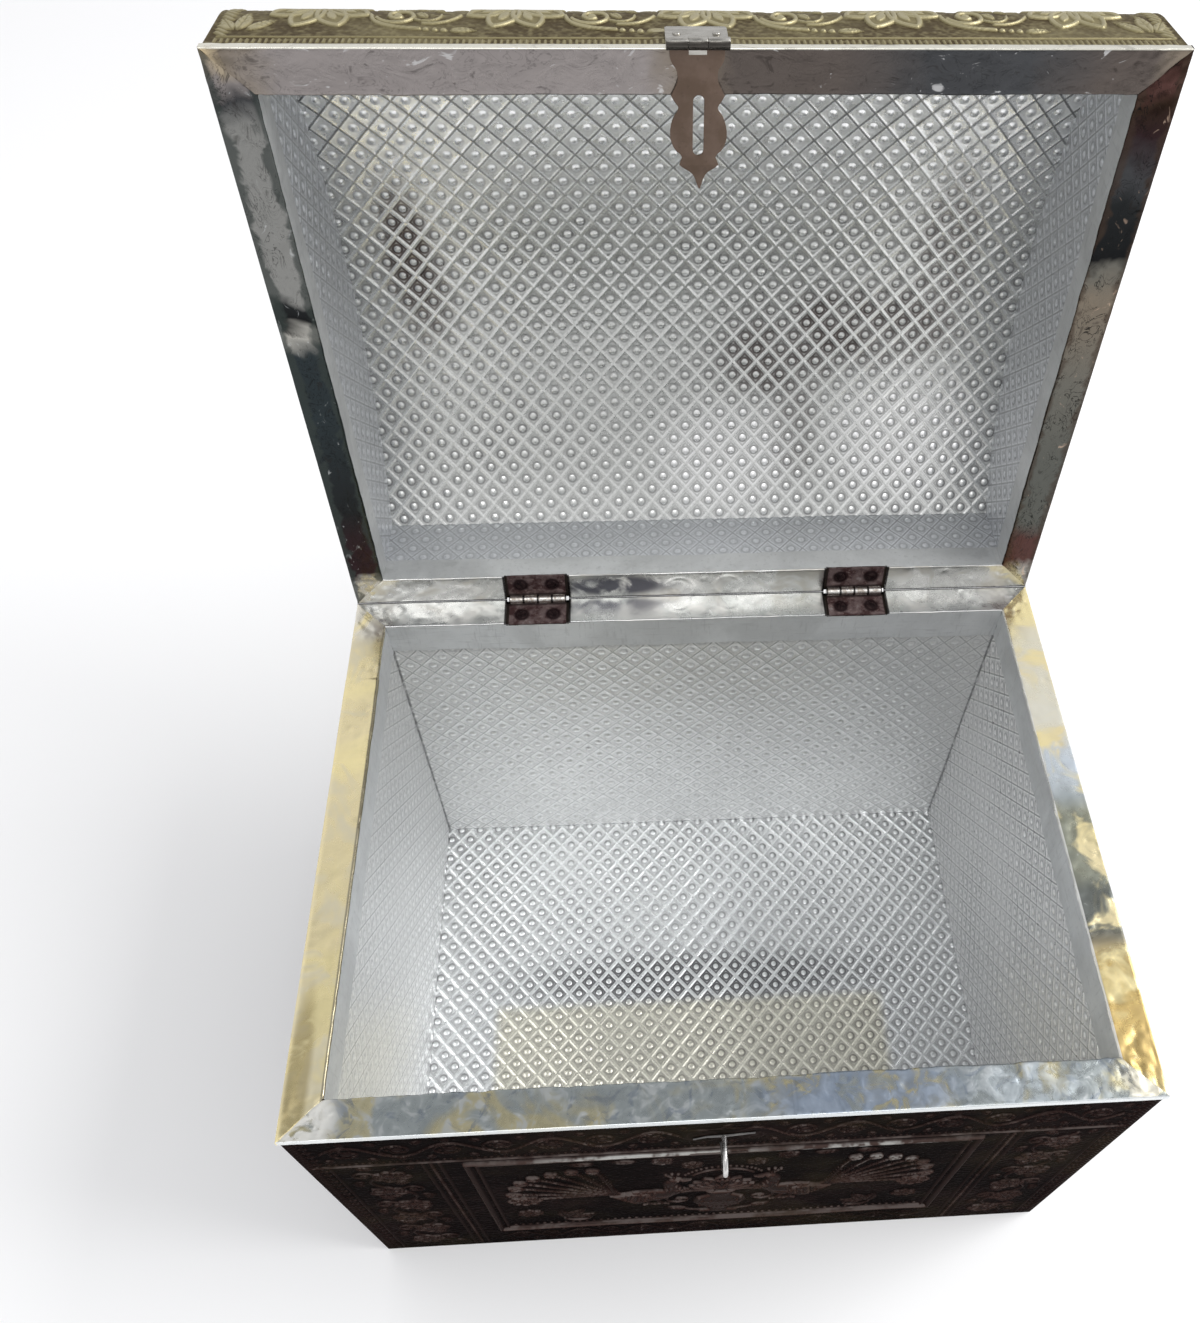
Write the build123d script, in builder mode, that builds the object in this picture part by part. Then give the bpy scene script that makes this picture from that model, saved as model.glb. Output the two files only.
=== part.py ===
from build123d import *
import os
from math import sqrt, sin, cos, tan, radians, degrees, atan2, pi

os.makedirs("parts", exist_ok=True)

# ------------------------------------------------------------------ driving dimensions (mm)
W = 305.0            # outside width, left to right
D = 232.4            # outside depth, front to back
H = 191.0            # height of the chest's rim above the surface it stands on
T = 13.9             # finished wall thickness at the rim, sheets and strips included

STRIP = 0.4          # folded rim strip, sheet thickness
SKIN = 1.0           # embossed outer sheet, over its relief
LINE = 0.5           # embossed lining sheet
BOARD_OUT = STRIP + SKIN                 # outer face of the boards, in from the outside
BOARD_IN = T - STRIP - LINE              # inner face of the boards, in from the outside
BOTTOM_T = 4.0       # bottom board
FOLD_OUT = 3.0       # strip's fold down the outside
FOLD_IN_BOX = 18.0   # strip's fold down the inside of the chest
FOLD_IN_LID = 12.0   # strip's fold up the inside of the lid

# lid, in its own frame: h is the height above the plane of the lid's rim
OPEN_DEG = 95.5      # how far the lid stands open at rest
STOP_DEG = 98.0      # where the back edges of lid and chest would meet
HINGE_UP = 0.7       # hinge axis above the chest's rim, half the gap of the closed lid
HINGE_IN = HINGE_UP / tan(radians(STOP_DEG / 2))   # hinge axis in from the back face
CROWN = 75.9         # height of the crown of the lid above its rim
R_CROWN = 236.5      # outside radius of the arch
R_SHOULDER = 30.0    # rounding between the arch and the front and back walls
R_SLAT = 223.1       # underside of the roof slats
SLATS = 5

# butt hinges
HINGE_X = 72.0       # hinge centres from the middle
LEAF_L = 25.4        # length of a leaf along the pin
LEAF_T = 0.8
LEAF_SINK = 0.3      # leaf below the face of the rim
KNUCKLE_R = HINGE_UP + LEAF_SINK + LEAF_T
PIN_R = 0.8
PIN_FIT = 0.05       # running clearance on the radius
MORTISE_L = 27.8     # length of the recess cut for a leaf
SCREW_X = 7.0        # screws, either side of the hinge's middle
SCREW_IN = 8.0       # screws, in from the hinge axis

# hasp and staple
HASP_X = -3.2        # middle of the hasp
HASP_OUT = 1.95      # hasp axis, out from the lid's front face
HASP_DOWN = 1.95     # hasp axis, beyond the plane of the lid's rim
HASP_R = 1.8         # barrel
HASP_T = 0.9         # plate
HASP_LEAF_T = 0.95   # short leaf on the lid
HASP_LEAF_H = 13.0
HASP_PIN_R = 0.75
HASP_BARREL = 19.5
STAPLE_X = -2.0
STAPLE_R = 0.95      # wire
STAPLE_TOP = 21.2    # upper leg below the rim
STAPLE_DROP = 11.6   # between the legs
STAPLE_OUT = 12.4    # how far the eye stands out of the front

# nails
NAIL_R = 0.8
NAIL_HEAD_R = 1.6
NAIL_HEAD_T = 0.5

# ------------------------------------------------------------------ frames
HX, HY = W / 2, D / 2
AXIS_Y, AXIS_Z = HY - HINGE_IN, H + HINGE_UP
RIM_Z = H + 2 * HINGE_UP                       # lid's rim plane when the lid is shut
LID = (
    Location((0, AXIS_Y, AXIS_Z))
    * Location((0, 0, 0), (-OPEN_DEG, 0, 0))
    * Location((0, -AXIS_Y, RIM_Z - AXIS_Z))
)                                              # lid frame (x, y, h) to the open lid

END_X = HX - (BOARD_OUT + BOARD_IN) / 2        # middle of the thickness of a side wall
C_Z = CROWN - R_CROWN                          # centre of the arch
SH_Y = HY - STRIP - R_SHOULDER                 # centre of the shoulder's rounding
SH_Z = sqrt((R_CROWN - R_SHOULDER) ** 2 - SH_Y ** 2) + C_Z
SH_A = atan2(SH_Z - C_Z, SH_Y)                 # direction of the tangent point


def in_frame(frame, plane):
    """A plane given in a frame, placed in the world."""
    return Plane(frame * plane.location)


def lid_yz(x):
    """Plane across the lid at x: local x runs front to back, local y runs up."""
    return in_frame(LID, Plane.YZ.offset(x))


def lid_xy(h):
    """Plane parallel to the lid's rim at height h."""
    return in_frame(LID, Plane.XY.offset(h))


def arch_points(off):
    """Half profile of the lid's outside, off millimetres inside it: edge, shoulder start, shoulder middle, tangent point, crown."""
    r = R_SHOULDER - off
    return (
        (HY - STRIP - off, SH_Z),
        (SH_Y + r * cos(SH_A / 2), SH_Z + r * sin(SH_A / 2)),
        ((R_CROWN - off) * cos(SH_A), C_Z + (R_CROWN - off) * sin(SH_A)),
        (0, CROWN - off),
    )


def arch_outline(off, foot):
    """Draws the lid's outside profile, off millimetres inside it, closed along h = foot."""
    a, b, c, d = arch_points(off)
    Line((-a[0], foot), (-a[0], a[1]))
    ThreePointArc((-a[0], a[1]), (-b[0], b[1]), (-c[0], c[1]))
    ThreePointArc((-c[0], c[1]), d, c)
    ThreePointArc(c, b, a)
    Line(a, (a[0], foot))
    Line((a[0], foot), (-a[0], foot))


def arc_h(r, y):
    return C_Z + sqrt(r * r - y * y)


def vault_outline(y0, r, foot):
    """Draws a walled vault: sides at y0, arch of radius r about the arch's centre, closed along h = foot."""
    Line((-y0, foot), (-y0, arc_h(r, y0)))
    ThreePointArc((-y0, arc_h(r, y0)), (0, C_Z + r), (y0, arc_h(r, y0)))
    Line((y0, arc_h(r, y0)), (y0, foot))
    Line((y0, foot), (-y0, foot))


# ------------------------------------------------------------------ nails (inside the walls)
nail_len = 30.0
with BuildPart() as box_nails:
    # through the front and back boards into the ends of the side boards
    for y0, s in ((-HY + BOARD_OUT, 1), (HY - BOARD_OUT, -1)):
        with BuildSketch(Plane.XZ.offset(-y0)):
            with Locations(*[(sx * END_X, z) for sx in (-1, 1) for z in (32, 92, 152)]):
                Circle(NAIL_R)
        extrude(amount=-s * nail_len)
        with BuildSketch(Plane.XZ.offset(-y0)):
            with Locations(*[(sx * END_X, z) for sx in (-1, 1) for z in (32, 92, 152)]):
                Circle(NAIL_HEAD_R)
        extrude(amount=-s * NAIL_HEAD_T)
        # and through them into the edges of the bottom board
        with BuildSketch(Plane.XZ.offset(-y0)):
            with Locations((-95, BOTTOM_T / 2), (0, BOTTOM_T / 2), (95, BOTTOM_T / 2)):
                Circle(0.7)
        extrude(amount=-s * nail_len)
    for x0, s in ((-HX + BOARD_OUT, 1), (HX - BOARD_OUT, -1)):
        with BuildSketch(Plane.YZ.offset(x0)):
            with Locations((-55, BOTTOM_T / 2), (55, BOTTOM_T / 2)):
                Circle(0.7)
        extrude(amount=s * nail_len)
box_nails.part.label = "box_nails"

slat_step = 2 * degrees(atan2(112.7, arc_h(R_SLAT, 112.7) - C_Z)) / SLATS
with BuildPart() as lid_nails:
    for y0, s in ((-HY + BOARD_OUT, 1), (HY - BOARD_OUT, -1)):
        with BuildSketch(in_frame(LID, Plane.XZ.offset(-y0))):
            with Locations(*[(sx * END_X, z) for sx in (-1, 1) for z in (11, 24)]):
                Circle(NAIL_R)
        extrude(amount=-s * nail_len)
    # down through each slat into the arched end boards
    for k in range(SLATS):
        a = radians((k - (SLATS - 1) / 2) * slat_step * (0.87 if k in (0, SLATS - 1) else 1))
        r0 = R_CROWN - SKIN - 0.02
        p = (r0 * sin(a), C_Z + r0 * cos(a))
        for sx in (-1, 1):
            pl = in_frame(LID, Plane(origin=(sx * END_X, p[0], p[1]), x_dir=(1, 0, 0), z_dir=(0, -sin(a), -cos(a))))
            with BuildSketch(pl):
                Circle(NAIL_R)
            extrude(amount=26.0)
            with BuildSketch(pl):
                Circle(NAIL_HEAD_R)
            extrude(amount=NAIL_HEAD_T)
lid_nails.part.label = "lid_nails"

# ------------------------------------------------------------------ screws of the butt hinges
def screw_profile():
    """Draws half the section of a countersunk screw: head flush at y = 0, shank downwards."""
    Polyline((0, -0.05), (2.2, -0.05), (1.15, -LEAF_T), (1.15, -7.5), (0, -9.0), close=True)


with BuildPart() as box_hinge_screws:
    for hx in (-HINGE_X, HINGE_X):
        for sx in (-SCREW_X, SCREW_X):
            pl = Plane(origin=(hx + sx, AXIS_Y - SCREW_IN, H - LEAF_SINK), x_dir=(1, 0, 0), z_dir=(0, -1, 0))
            with BuildSketch(pl):
                with BuildLine():
                    screw_profile()
                make_face()
            revolve(axis=Axis(pl.origin, (0, 0, 1)))
box_hinge_screws.part.label = "box_hinge_screws"

up = lid_xy(0)
with BuildPart() as lid_hinge_screws:
    for hx in (-HINGE_X, HINGE_X):
        for sx in (-SCREW_X, SCREW_X):
            pl = in_frame(LID, Plane(origin=(hx + sx, AXIS_Y - SCREW_IN, LEAF_SINK), x_dir=(1, 0, 0), z_dir=(0, 1, 0)))
            with BuildSketch(pl):
                with BuildLine():
                    screw_profile()
                make_face()
            revolve(axis=Axis(pl.origin, up.z_dir))
lid_hinge_screws.part.label = "lid_hinge_screws"

# ------------------------------------------------------------------ staple and its keeper
st_z = H - STAPLE_TOP
st_in = HY - BOARD_OUT - 8.0                   # how deep the legs go, from the middle
bow_r = STAPLE_DROP / 2
with BuildPart() as staple:
    with BuildLine() as staple_path:
        l1 = Line((STAPLE_X, -st_in, st_z), (STAPLE_X, -HY - STAPLE_OUT + STAPLE_R + bow_r, st_z))
        l2 = ThreePointArc(
            l1 @ 1,
            (STAPLE_X, -HY - STAPLE_OUT + STAPLE_R, st_z - bow_r),
            (STAPLE_X, -HY - STAPLE_OUT + STAPLE_R + bow_r, st_z - STAPLE_DROP),
        )
        l3 = Line(l2 @ 1, (STAPLE_X, -st_in, st_z - STAPLE_DROP))
    with BuildSketch(Plane(origin=l1 @ 0, z_dir=l1 % 0)):
        Circle(STAPLE_R)
    sweep()
staple.part.label = "staple"

keep_out = HY - STRIP                          # face of the outer sheet
with BuildPart() as staple_keeper:
    with BuildSketch(Plane.XZ.offset(keep_out)):
        with BuildLine():
            Spline((STAPLE_X - 11.0, st_z - 1.6), (STAPLE_X - 6.5, st_z + 1.3), (STAPLE_X, st_z + 1.5),
                   (STAPLE_X + 6.5, st_z + 2.6), (STAPLE_X + 11.0, st_z + 3.4))
            Line((STAPLE_X + 11.0, st_z + 3.4), (STAPLE_X + 11.0, st_z + 1.6))
            Spline((STAPLE_X + 11.0, st_z + 1.6), (STAPLE_X + 6.5, st_z + 0.4), (STAPLE_X, st_z - 1.5),
                   (STAPLE_X - 6.5, st_z - 0.9), (STAPLE_X - 11.0, st_z - 3.2))
            Line((STAPLE_X - 11.0, st_z - 3.2), (STAPLE_X - 11.0, st_z - 1.6))
        make_face()
    extrude(amount=STRIP + 0.05)
    add(staple.part, mode=Mode.SUBTRACT)
staple_keeper.part.label = "staple_keeper"

# ------------------------------------------------------------------ chest boards
leaf_floor = H - LEAF_SINK - LEAF_T


# recesses for the fixed leaves and the barrels, cut from every piece of the back wall
with BuildPart() as box_mortises:
    with BuildSketch(Plane.XY.offset(leaf_floor)):
        with Locations((-HINGE_X, HY), (HINGE_X, HY)):
            Rectangle(MORTISE_L, 2 * (T + 1))
    extrude(amount=20)
    with BuildSketch(Plane.XY.offset(leaf_floor - 0.15)):
        with Locations((-HINGE_X, HY), (HINGE_X, HY)):
            Rectangle(MORTISE_L, 2 * (HINGE_IN + KNUCKLE_R + 0.2))
    extrude(amount=20)

# the same recesses in the lid, opening at its rim
with BuildPart() as lid_mortises:
    with BuildSketch(lid_xy(LEAF_SINK + LEAF_T)):
        with Locations((-HINGE_X, HY), (HINGE_X, HY)):
            Rectangle(MORTISE_L, 2 * (T + 1))
    extrude(amount=-20)
    with BuildSketch(lid_xy(LEAF_SINK + LEAF_T + 0.15)):
        with Locations((-HINGE_X, HY), (HINGE_X, HY)):
            Rectangle(MORTISE_L, 2 * (HINGE_IN + KNUCKLE_R + 0.2))
    extrude(amount=-20)


board_top = H - STRIP
with BuildPart() as box_front_board:
    with BuildSketch(Plane.XY):
        with Locations((0, -HY + (BOARD_OUT + BOARD_IN) / 2)):
            Rectangle(W - 2 * BOARD_OUT, BOARD_IN - BOARD_OUT)
    extrude(amount=board_top)
    add(box_nails.part, mode=Mode.SUBTRACT)
    add(staple.part, mode=Mode.SUBTRACT)
box_front_board.part.label = "box_front_board"

with BuildPart() as box_back_board:
    with BuildSketch(Plane.XY):
        with Locations((0, HY - (BOARD_OUT + BOARD_IN) / 2)):
            Rectangle(W - 2 * BOARD_OUT, BOARD_IN - BOARD_OUT)
    extrude(amount=board_top)
    add(box_mortises.part, mode=Mode.SUBTRACT)
    add(box_nails.part, mode=Mode.SUBTRACT)
    add(box_hinge_screws.part, mode=Mode.SUBTRACT)
box_back_board.part.label = "box_back_board"

with BuildPart() as box_left_board:
    with BuildSketch(Plane.XY):
        with Locations((-END_X, 0)):
            Rectangle(BOARD_IN - BOARD_OUT, D - 2 * BOARD_IN)
    extrude(amount=board_top)
    add(box_nails.part, mode=Mode.SUBTRACT)
box_left_board.part.label = "box_left_board"

with BuildPart() as box_right_board:
    with BuildSketch(Plane.XY):
        with Locations((END_X, 0)):
            Rectangle(BOARD_IN - BOARD_OUT, D - 2 * BOARD_IN)
    extrude(amount=board_top)
    add(box_nails.part, mode=Mode.SUBTRACT)
box_right_board.part.label = "box_right_board"

with BuildPart() as box_bottom_board:
    with BuildSketch(Plane.XY):
        Rectangle(W - 2 * BOARD_IN, D - 2 * BOARD_IN)
    extrude(amount=BOTTOM_T)
    add(box_nails.part, mode=Mode.SUBTRACT)
box_bottom_board.part.label = "box_bottom_board"

# ------------------------------------------------------------------ outer sheets of the chest
skin_foot = 0.3
skin_mid = STRIP + SKIN / 2
with BuildPart() as box_sheet_front:
    with BuildSketch(Plane.XY.offset(skin_foot)):
        with Locations((0, -HY + skin_mid)):
            Rectangle(W - 2 * STRIP, SKIN)
    extrude(amount=board_top - skin_foot)
    add(staple.part, mode=Mode.SUBTRACT)
box_sheet_front.part.label = "box_sheet_front"

with BuildPart() as box_sheet_back:
    with BuildSketch(Plane.XY.offset(skin_foot)):
        with Locations((0, HY - skin_mid)):
            Rectangle(W - 2 * STRIP, SKIN)
    extrude(amount=board_top - skin_foot)
    add(box_mortises.part, mode=Mode.SUBTRACT)
box_sheet_back.part.label = "box_sheet_back"

with BuildPart() as box_sheet_left:
    with BuildSketch(Plane.XY.offset(skin_foot)):
        with Locations((-HX + skin_mid, 0)):
            Rectangle(SKIN, D - 2 * BOARD_OUT)
    extrude(amount=board_top - skin_foot)
box_sheet_left.part.label = "box_sheet_left"

with BuildPart() as box_sheet_right:
    with BuildSketch(Plane.XY.offset(skin_foot)):
        with Locations((HX - skin_mid, 0)):
            Rectangle(SKIN, D - 2 * BOARD_OUT)
    extrude(amount=board_top - skin_foot)
box_sheet_right.part.label = "box_sheet_right"

# ------------------------------------------------------------------ linings of the chest
floor_z = BOTTOM_T + LINE
line_mid = BOARD_IN + LINE / 2
with BuildPart() as box_lining_floor:
    with BuildSketch(Plane.XY.offset(BOTTOM_T)):
        Rectangle(W - 2 * BOARD_IN, D - 2 * BOARD_IN)
    extrude(amount=LINE)
box_lining_floor.part.label = "box_lining_floor"

with BuildPart() as box_lining_front:
    with BuildSketch(Plane.XY.offset(floor_z)):
        with Locations((0, -HY + line_mid)):
            Rectangle(W - 2 * BOARD_IN, LINE)
    extrude(amount=board_top - floor_z)
box_lining_front.part.label = "box_lining_front"

with BuildPart() as box_lining_back:
    with BuildSketch(Plane.XY.offset(floor_z)):
        with Locations((0, HY - line_mid)):
            Rectangle(W - 2 * BOARD_IN, LINE)
    extrude(amount=board_top - floor_z)
    add(box_mortises.part, mode=Mode.SUBTRACT)
box_lining_back.part.label = "box_lining_back"

with BuildPart() as box_lining_left:
    with BuildSketch(Plane.XY.offset(floor_z)):
        with Locations((-HX + line_mid, 0)):
            Rectangle(LINE, D - 2 * (BOARD_IN + LINE))
    extrude(amount=board_top - floor_z)
box_lining_left.part.label = "box_lining_left"

with BuildPart() as box_lining_right:
    with BuildSketch(Plane.XY.offset(floor_z)):
        with Locations((HX - line_mid, 0)):
            Rectangle(LINE, D - 2 * (BOARD_IN + LINE))
    extrude(amount=board_top - floor_z)
box_lining_right.part.label = "box_lining_right"

# ------------------------------------------------------------------ folded rim strips
def strip_profile(fold_in):
    """Draws the section of a folded strip: x runs inwards from the outside face, y = 0 is the rim's face, folds go to -y."""
    Polyline(
        (0, 0), (T, 0), (T, -fold_in), (T - STRIP, -fold_in), (T - STRIP, -STRIP),
        (STRIP, -STRIP), (STRIP, -FOLD_OUT), (0, -FOLD_OUT), close=True,
    )


def mitre_long(sgn):
    """Draws the plan of a front (sgn -1) or back (sgn +1) strip between its mitres."""
    Polyline((-HX, sgn * HY), (HX, sgn * HY), (HX - T, sgn * (HY - T)), (-HX + T, sgn * (HY - T)), close=True)


def mitre_short(sgn):
    """Draws the plan of a left (sgn -1) or right (sgn +1) strip between its mitres."""
    Polyline((sgn * HX, -HY), (sgn * HX, HY), (sgn * (HX - T), HY - T), (sgn * (HX - T), -HY + T), close=True)


with BuildPart() as box_strip_front:
    with BuildSketch(Plane(origin=(-HX, -HY, H), x_dir=(0, 1, 0), z_dir=(1, 0, 0))):
        with BuildLine():
            strip_profile(FOLD_IN_BOX)
        make_face()
    extrude(amount=W)
    with BuildSketch(Plane.XY.offset(H - 25)):
        with BuildLine():
            mitre_long(-1)
        make_face()
    extrude(amount=40, mode=Mode.INTERSECT)
box_strip_front.part.label = "box_strip_front"

with BuildPart() as box_strip_back:
    with BuildSketch(Plane(origin=(HX, HY, H), x_dir=(0, -1, 0), z_dir=(-1, 0, 0))):
        with BuildLine():
            strip_profile(FOLD_IN_BOX)
        make_face()
    extrude(amount=W)
    with BuildSketch(Plane.XY.offset(H - 25)):
        with BuildLine():
            mitre_long(1)
        make_face()
    extrude(amount=40, mode=Mode.INTERSECT)
    add(box_mortises.part, mode=Mode.SUBTRACT)
box_strip_back.part.label = "box_strip_back"

with BuildPart() as box_strip_left:
    with BuildSketch(Plane(origin=(-HX, HY, H), x_dir=(1, 0, 0), z_dir=(0, -1, 0))):
        with BuildLine():
            strip_profile(FOLD_IN_BOX)
        make_face()
    extrude(amount=D)
    with BuildSketch(Plane.XY.offset(H - 25)):
        with BuildLine():
            mitre_short(-1)
        make_face()
    extrude(amount=40, mode=Mode.INTERSECT)
box_strip_left.part.label = "box_strip_left"

with BuildPart() as box_strip_right:
    with BuildSketch(Plane(origin=(HX, -HY, H), x_dir=(-1, 0, 0), z_dir=(0, 1, 0))):
        with BuildLine():
            strip_profile(FOLD_IN_BOX)
        make_face()
    extrude(amount=D)
    with BuildSketch(Plane.XY.offset(H - 25)):
        with BuildLine():
            mitre_short(1)
        make_face()
    extrude(amount=40, mode=Mode.INTERSECT)
box_strip_right.part.label = "box_strip_right"


def lid_strip_plane(origin, inward, along):
    """Section plane of a lid strip: x inwards, y = 0 at the lid's rim, -y up into the lid."""
    return in_frame(LID, Plane(origin=origin, x_dir=inward, z_dir=along))


with BuildPart() as lid_strip_front:
    with BuildSketch(lid_strip_plane((HX, -HY, 0), (0, 1, 0), (-1, 0, 0))):
        with BuildLine():
            strip_profile(FOLD_IN_LID)
        make_face()
    extrude(amount=W)
    with BuildSketch(lid_xy(-15)):
        with BuildLine():
            mitre_long(-1)
        make_face()
    extrude(amount=40, mode=Mode.INTERSECT)
lid_strip_front.part.label = "lid_strip_front"

with BuildPart() as lid_strip_back:
    with BuildSketch(lid_strip_plane((-HX, HY, 0), (0, -1, 0), (1, 0, 0))):
        with BuildLine():
            strip_profile(FOLD_IN_LID)
        make_face()
    extrude(amount=W)
    with BuildSketch(lid_xy(-15)):
        with BuildLine():
            mitre_long(1)
        make_face()
    extrude(amount=40, mode=Mode.INTERSECT)
    add(lid_mortises.part, mode=Mode.SUBTRACT)
lid_strip_back.part.label = "lid_strip_back"

with BuildPart() as lid_strip_left:
    with BuildSketch(lid_strip_plane((-HX, -HY, 0), (1, 0, 0), (0, 1, 0))):
        with BuildLine():
            strip_profile(FOLD_IN_LID)
        make_face()
    extrude(amount=D)
    with BuildSketch(lid_xy(-15)):
        with BuildLine():
            mitre_short(-1)
        make_face()
    extrude(amount=40, mode=Mode.INTERSECT)
lid_strip_left.part.label = "lid_strip_left"

with BuildPart() as lid_strip_right:
    with BuildSketch(lid_strip_plane((HX, HY, 0), (-1, 0, 0), (0, -1, 0))):
        with BuildLine():
            strip_profile(FOLD_IN_LID)
        make_face()
    extrude(amount=D)
    with BuildSketch(lid_xy(-15)):
        with BuildLine():
            mitre_short(1)
        make_face()
    extrude(amount=40, mode=Mode.INTERSECT)
lid_strip_right.part.label = "lid_strip_right"

# ------------------------------------------------------------------ round-headed pins of the hasp's leaf
pin_spots = [(HASP_X - 6.2, 8.6), (HASP_X + 6.2, 8.6)]
with BuildPart() as hasp_leaf_pins:
    face = in_frame(LID, Plane(origin=(0, -HY - HASP_LEAF_T, 0), x_dir=(1, 0, 0), z_dir=(0, -1, 0)))
    with BuildSketch(face):
        with Locations(*pin_spots):
            Circle(0.6)
    extrude(amount=-9.0)
    with BuildSketch(face):
        with Locations(*pin_spots):
            Circle(1.25)
    extrude(amount=0.6)
    fillet(hasp_leaf_pins.edges().filter_by(GeomType.CIRCLE).group_by(Axis(face.origin, face.z_dir))[-1], 0.45)
hasp_leaf_pins.part.label = "hasp_leaf_pins"

# ------------------------------------------------------------------ lid boards
with BuildPart() as lid_front_rail:
    with BuildSketch(lid_yz(-HX + BOARD_OUT)):
        with BuildLine():
            arch_outline(SKIN, STRIP)
        make_face()
        with BuildLine():
            vault_outline(HY - BOARD_OUT + 5, R_SLAT, STRIP)
        make_face(mode=Mode.INTERSECT)
        with Locations((-HY + (BOARD_OUT + BOARD_IN) / 2, 50)):
            Rectangle(BOARD_IN - BOARD_OUT, 100, mode=Mode.INTERSECT)
    extrude(amount=W - 2 * BOARD_OUT)
    add(lid_nails.part, mode=Mode.SUBTRACT)
    add(hasp_leaf_pins.part, mode=Mode.SUBTRACT)
lid_front_rail.part.label = "lid_front_rail"

with BuildPart() as lid_back_rail:
    with BuildSketch(lid_yz(-HX + BOARD_OUT)):
        with BuildLine():
            arch_outline(SKIN, STRIP)
        make_face()
        with BuildLine():
            vault_outline(HY - BOARD_OUT + 5, R_SLAT, STRIP)
        make_face(mode=Mode.INTERSECT)
        with Locations((HY - (BOARD_OUT + BOARD_IN) / 2, 50)):
            Rectangle(BOARD_IN - BOARD_OUT, 100, mode=Mode.INTERSECT)
    extrude(amount=W - 2 * BOARD_OUT)
    add(lid_mortises.part, mode=Mode.SUBTRACT)
    add(lid_nails.part, mode=Mode.SUBTRACT)
    add(lid_hinge_screws.part, mode=Mode.SUBTRACT)
lid_back_rail.part.label = "lid_back_rail"

with BuildPart() as lid_left_end:
    with BuildSketch(lid_yz(-HX + BOARD_OUT)):
        with BuildLine():
            vault_outline(HY - BOARD_IN, R_SLAT, STRIP)
        make_face()
    extrude(amount=BOARD_IN - BOARD_OUT)
    add(lid_nails.part, mode=Mode.SUBTRACT)
lid_left_end.part.label = "lid_left_end"

with BuildPart() as lid_right_end:
    with BuildSketch(lid_yz(HX - BOARD_IN)):
        with BuildLine():
            vault_outline(HY - BOARD_IN, R_SLAT, STRIP)
        make_face()
    extrude(amount=BOARD_IN - BOARD_OUT)
    add(lid_nails.part, mode=Mode.SUBTRACT)
lid_right_end.part.label = "lid_right_end"


def slat_wedge(k):
    """Draws the wedge about the arch's centre that holds slat k."""
    a0 = radians((k - SLATS / 2) * slat_step) if k > 0 else radians(-40)
    a1 = radians((k + 1 - SLATS / 2) * slat_step) if k < SLATS - 1 else radians(40)
    r = 330
    Polyline((0, C_Z), (r * sin(a0), C_Z + r * cos(a0)), (r * sin(a1), C_Z + r * cos(a1)), close=True)


with BuildPart() as lid_slat_1:
    with BuildSketch(lid_yz(-HX + BOARD_OUT)):
        with BuildLine():
            arch_outline(SKIN, STRIP)
        make_face()
        with Locations((0, C_Z)):
            Circle(R_SLAT, mode=Mode.SUBTRACT)
        with BuildLine():
            slat_wedge(0)
        make_face(mode=Mode.INTERSECT)
    extrude(amount=W - 2 * BOARD_OUT)
    add(lid_nails.part, mode=Mode.SUBTRACT)
lid_slat_1.part.label = "lid_slat_1"

with BuildPart() as lid_slat_2:
    with BuildSketch(lid_yz(-HX + BOARD_OUT)):
        with BuildLine():
            arch_outline(SKIN, STRIP)
        make_face()
        with Locations((0, C_Z)):
            Circle(R_SLAT, mode=Mode.SUBTRACT)
        with BuildLine():
            slat_wedge(1)
        make_face(mode=Mode.INTERSECT)
    extrude(amount=W - 2 * BOARD_OUT)
    add(lid_nails.part, mode=Mode.SUBTRACT)
lid_slat_2.part.label = "lid_slat_2"

with BuildPart() as lid_slat_3:
    with BuildSketch(lid_yz(-HX + BOARD_OUT)):
        with BuildLine():
            arch_outline(SKIN, STRIP)
        make_face()
        with Locations((0, C_Z)):
            Circle(R_SLAT, mode=Mode.SUBTRACT)
        with BuildLine():
            slat_wedge(2)
        make_face(mode=Mode.INTERSECT)
    extrude(amount=W - 2 * BOARD_OUT)
    add(lid_nails.part, mode=Mode.SUBTRACT)
lid_slat_3.part.label = "lid_slat_3"

with BuildPart() as lid_slat_4:
    with BuildSketch(lid_yz(-HX + BOARD_OUT)):
        with BuildLine():
            arch_outline(SKIN, STRIP)
        make_face()
        with Locations((0, C_Z)):
            Circle(R_SLAT, mode=Mode.SUBTRACT)
        with BuildLine():
            slat_wedge(3)
        make_face(mode=Mode.INTERSECT)
    extrude(amount=W - 2 * BOARD_OUT)
    add(lid_nails.part, mode=Mode.SUBTRACT)
lid_slat_4.part.label = "lid_slat_4"

with BuildPart() as lid_slat_5:
    with BuildSketch(lid_yz(-HX + BOARD_OUT)):
        with BuildLine():
            arch_outline(SKIN, STRIP)
        make_face()
        with Locations((0, C_Z)):
            Circle(R_SLAT, mode=Mode.SUBTRACT)
        with BuildLine():
            slat_wedge(4)
        make_face(mode=Mode.INTERSECT)
    extrude(amount=W - 2 * BOARD_OUT)
    add(lid_nails.part, mode=Mode.SUBTRACT)
lid_slat_5.part.label = "lid_slat_5"

# ------------------------------------------------------------------ outer sheets of the lid
with BuildPart() as lid_cover_sheet:
    with BuildSketch(lid_yz(-HX + STRIP)):
        with BuildLine():
            arch_outline(0, STRIP)
        make_face()
        with BuildLine():
            arch_outline(SKIN, STRIP)
        make_face(mode=Mode.SUBTRACT)
    extrude(amount=W - 2 * STRIP)
    add(lid_mortises.part, mode=Mode.SUBTRACT)
    add(hasp_leaf_pins.part, mode=Mode.SUBTRACT)
lid_cover_sheet.part.label = "lid_cover_sheet"

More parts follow.
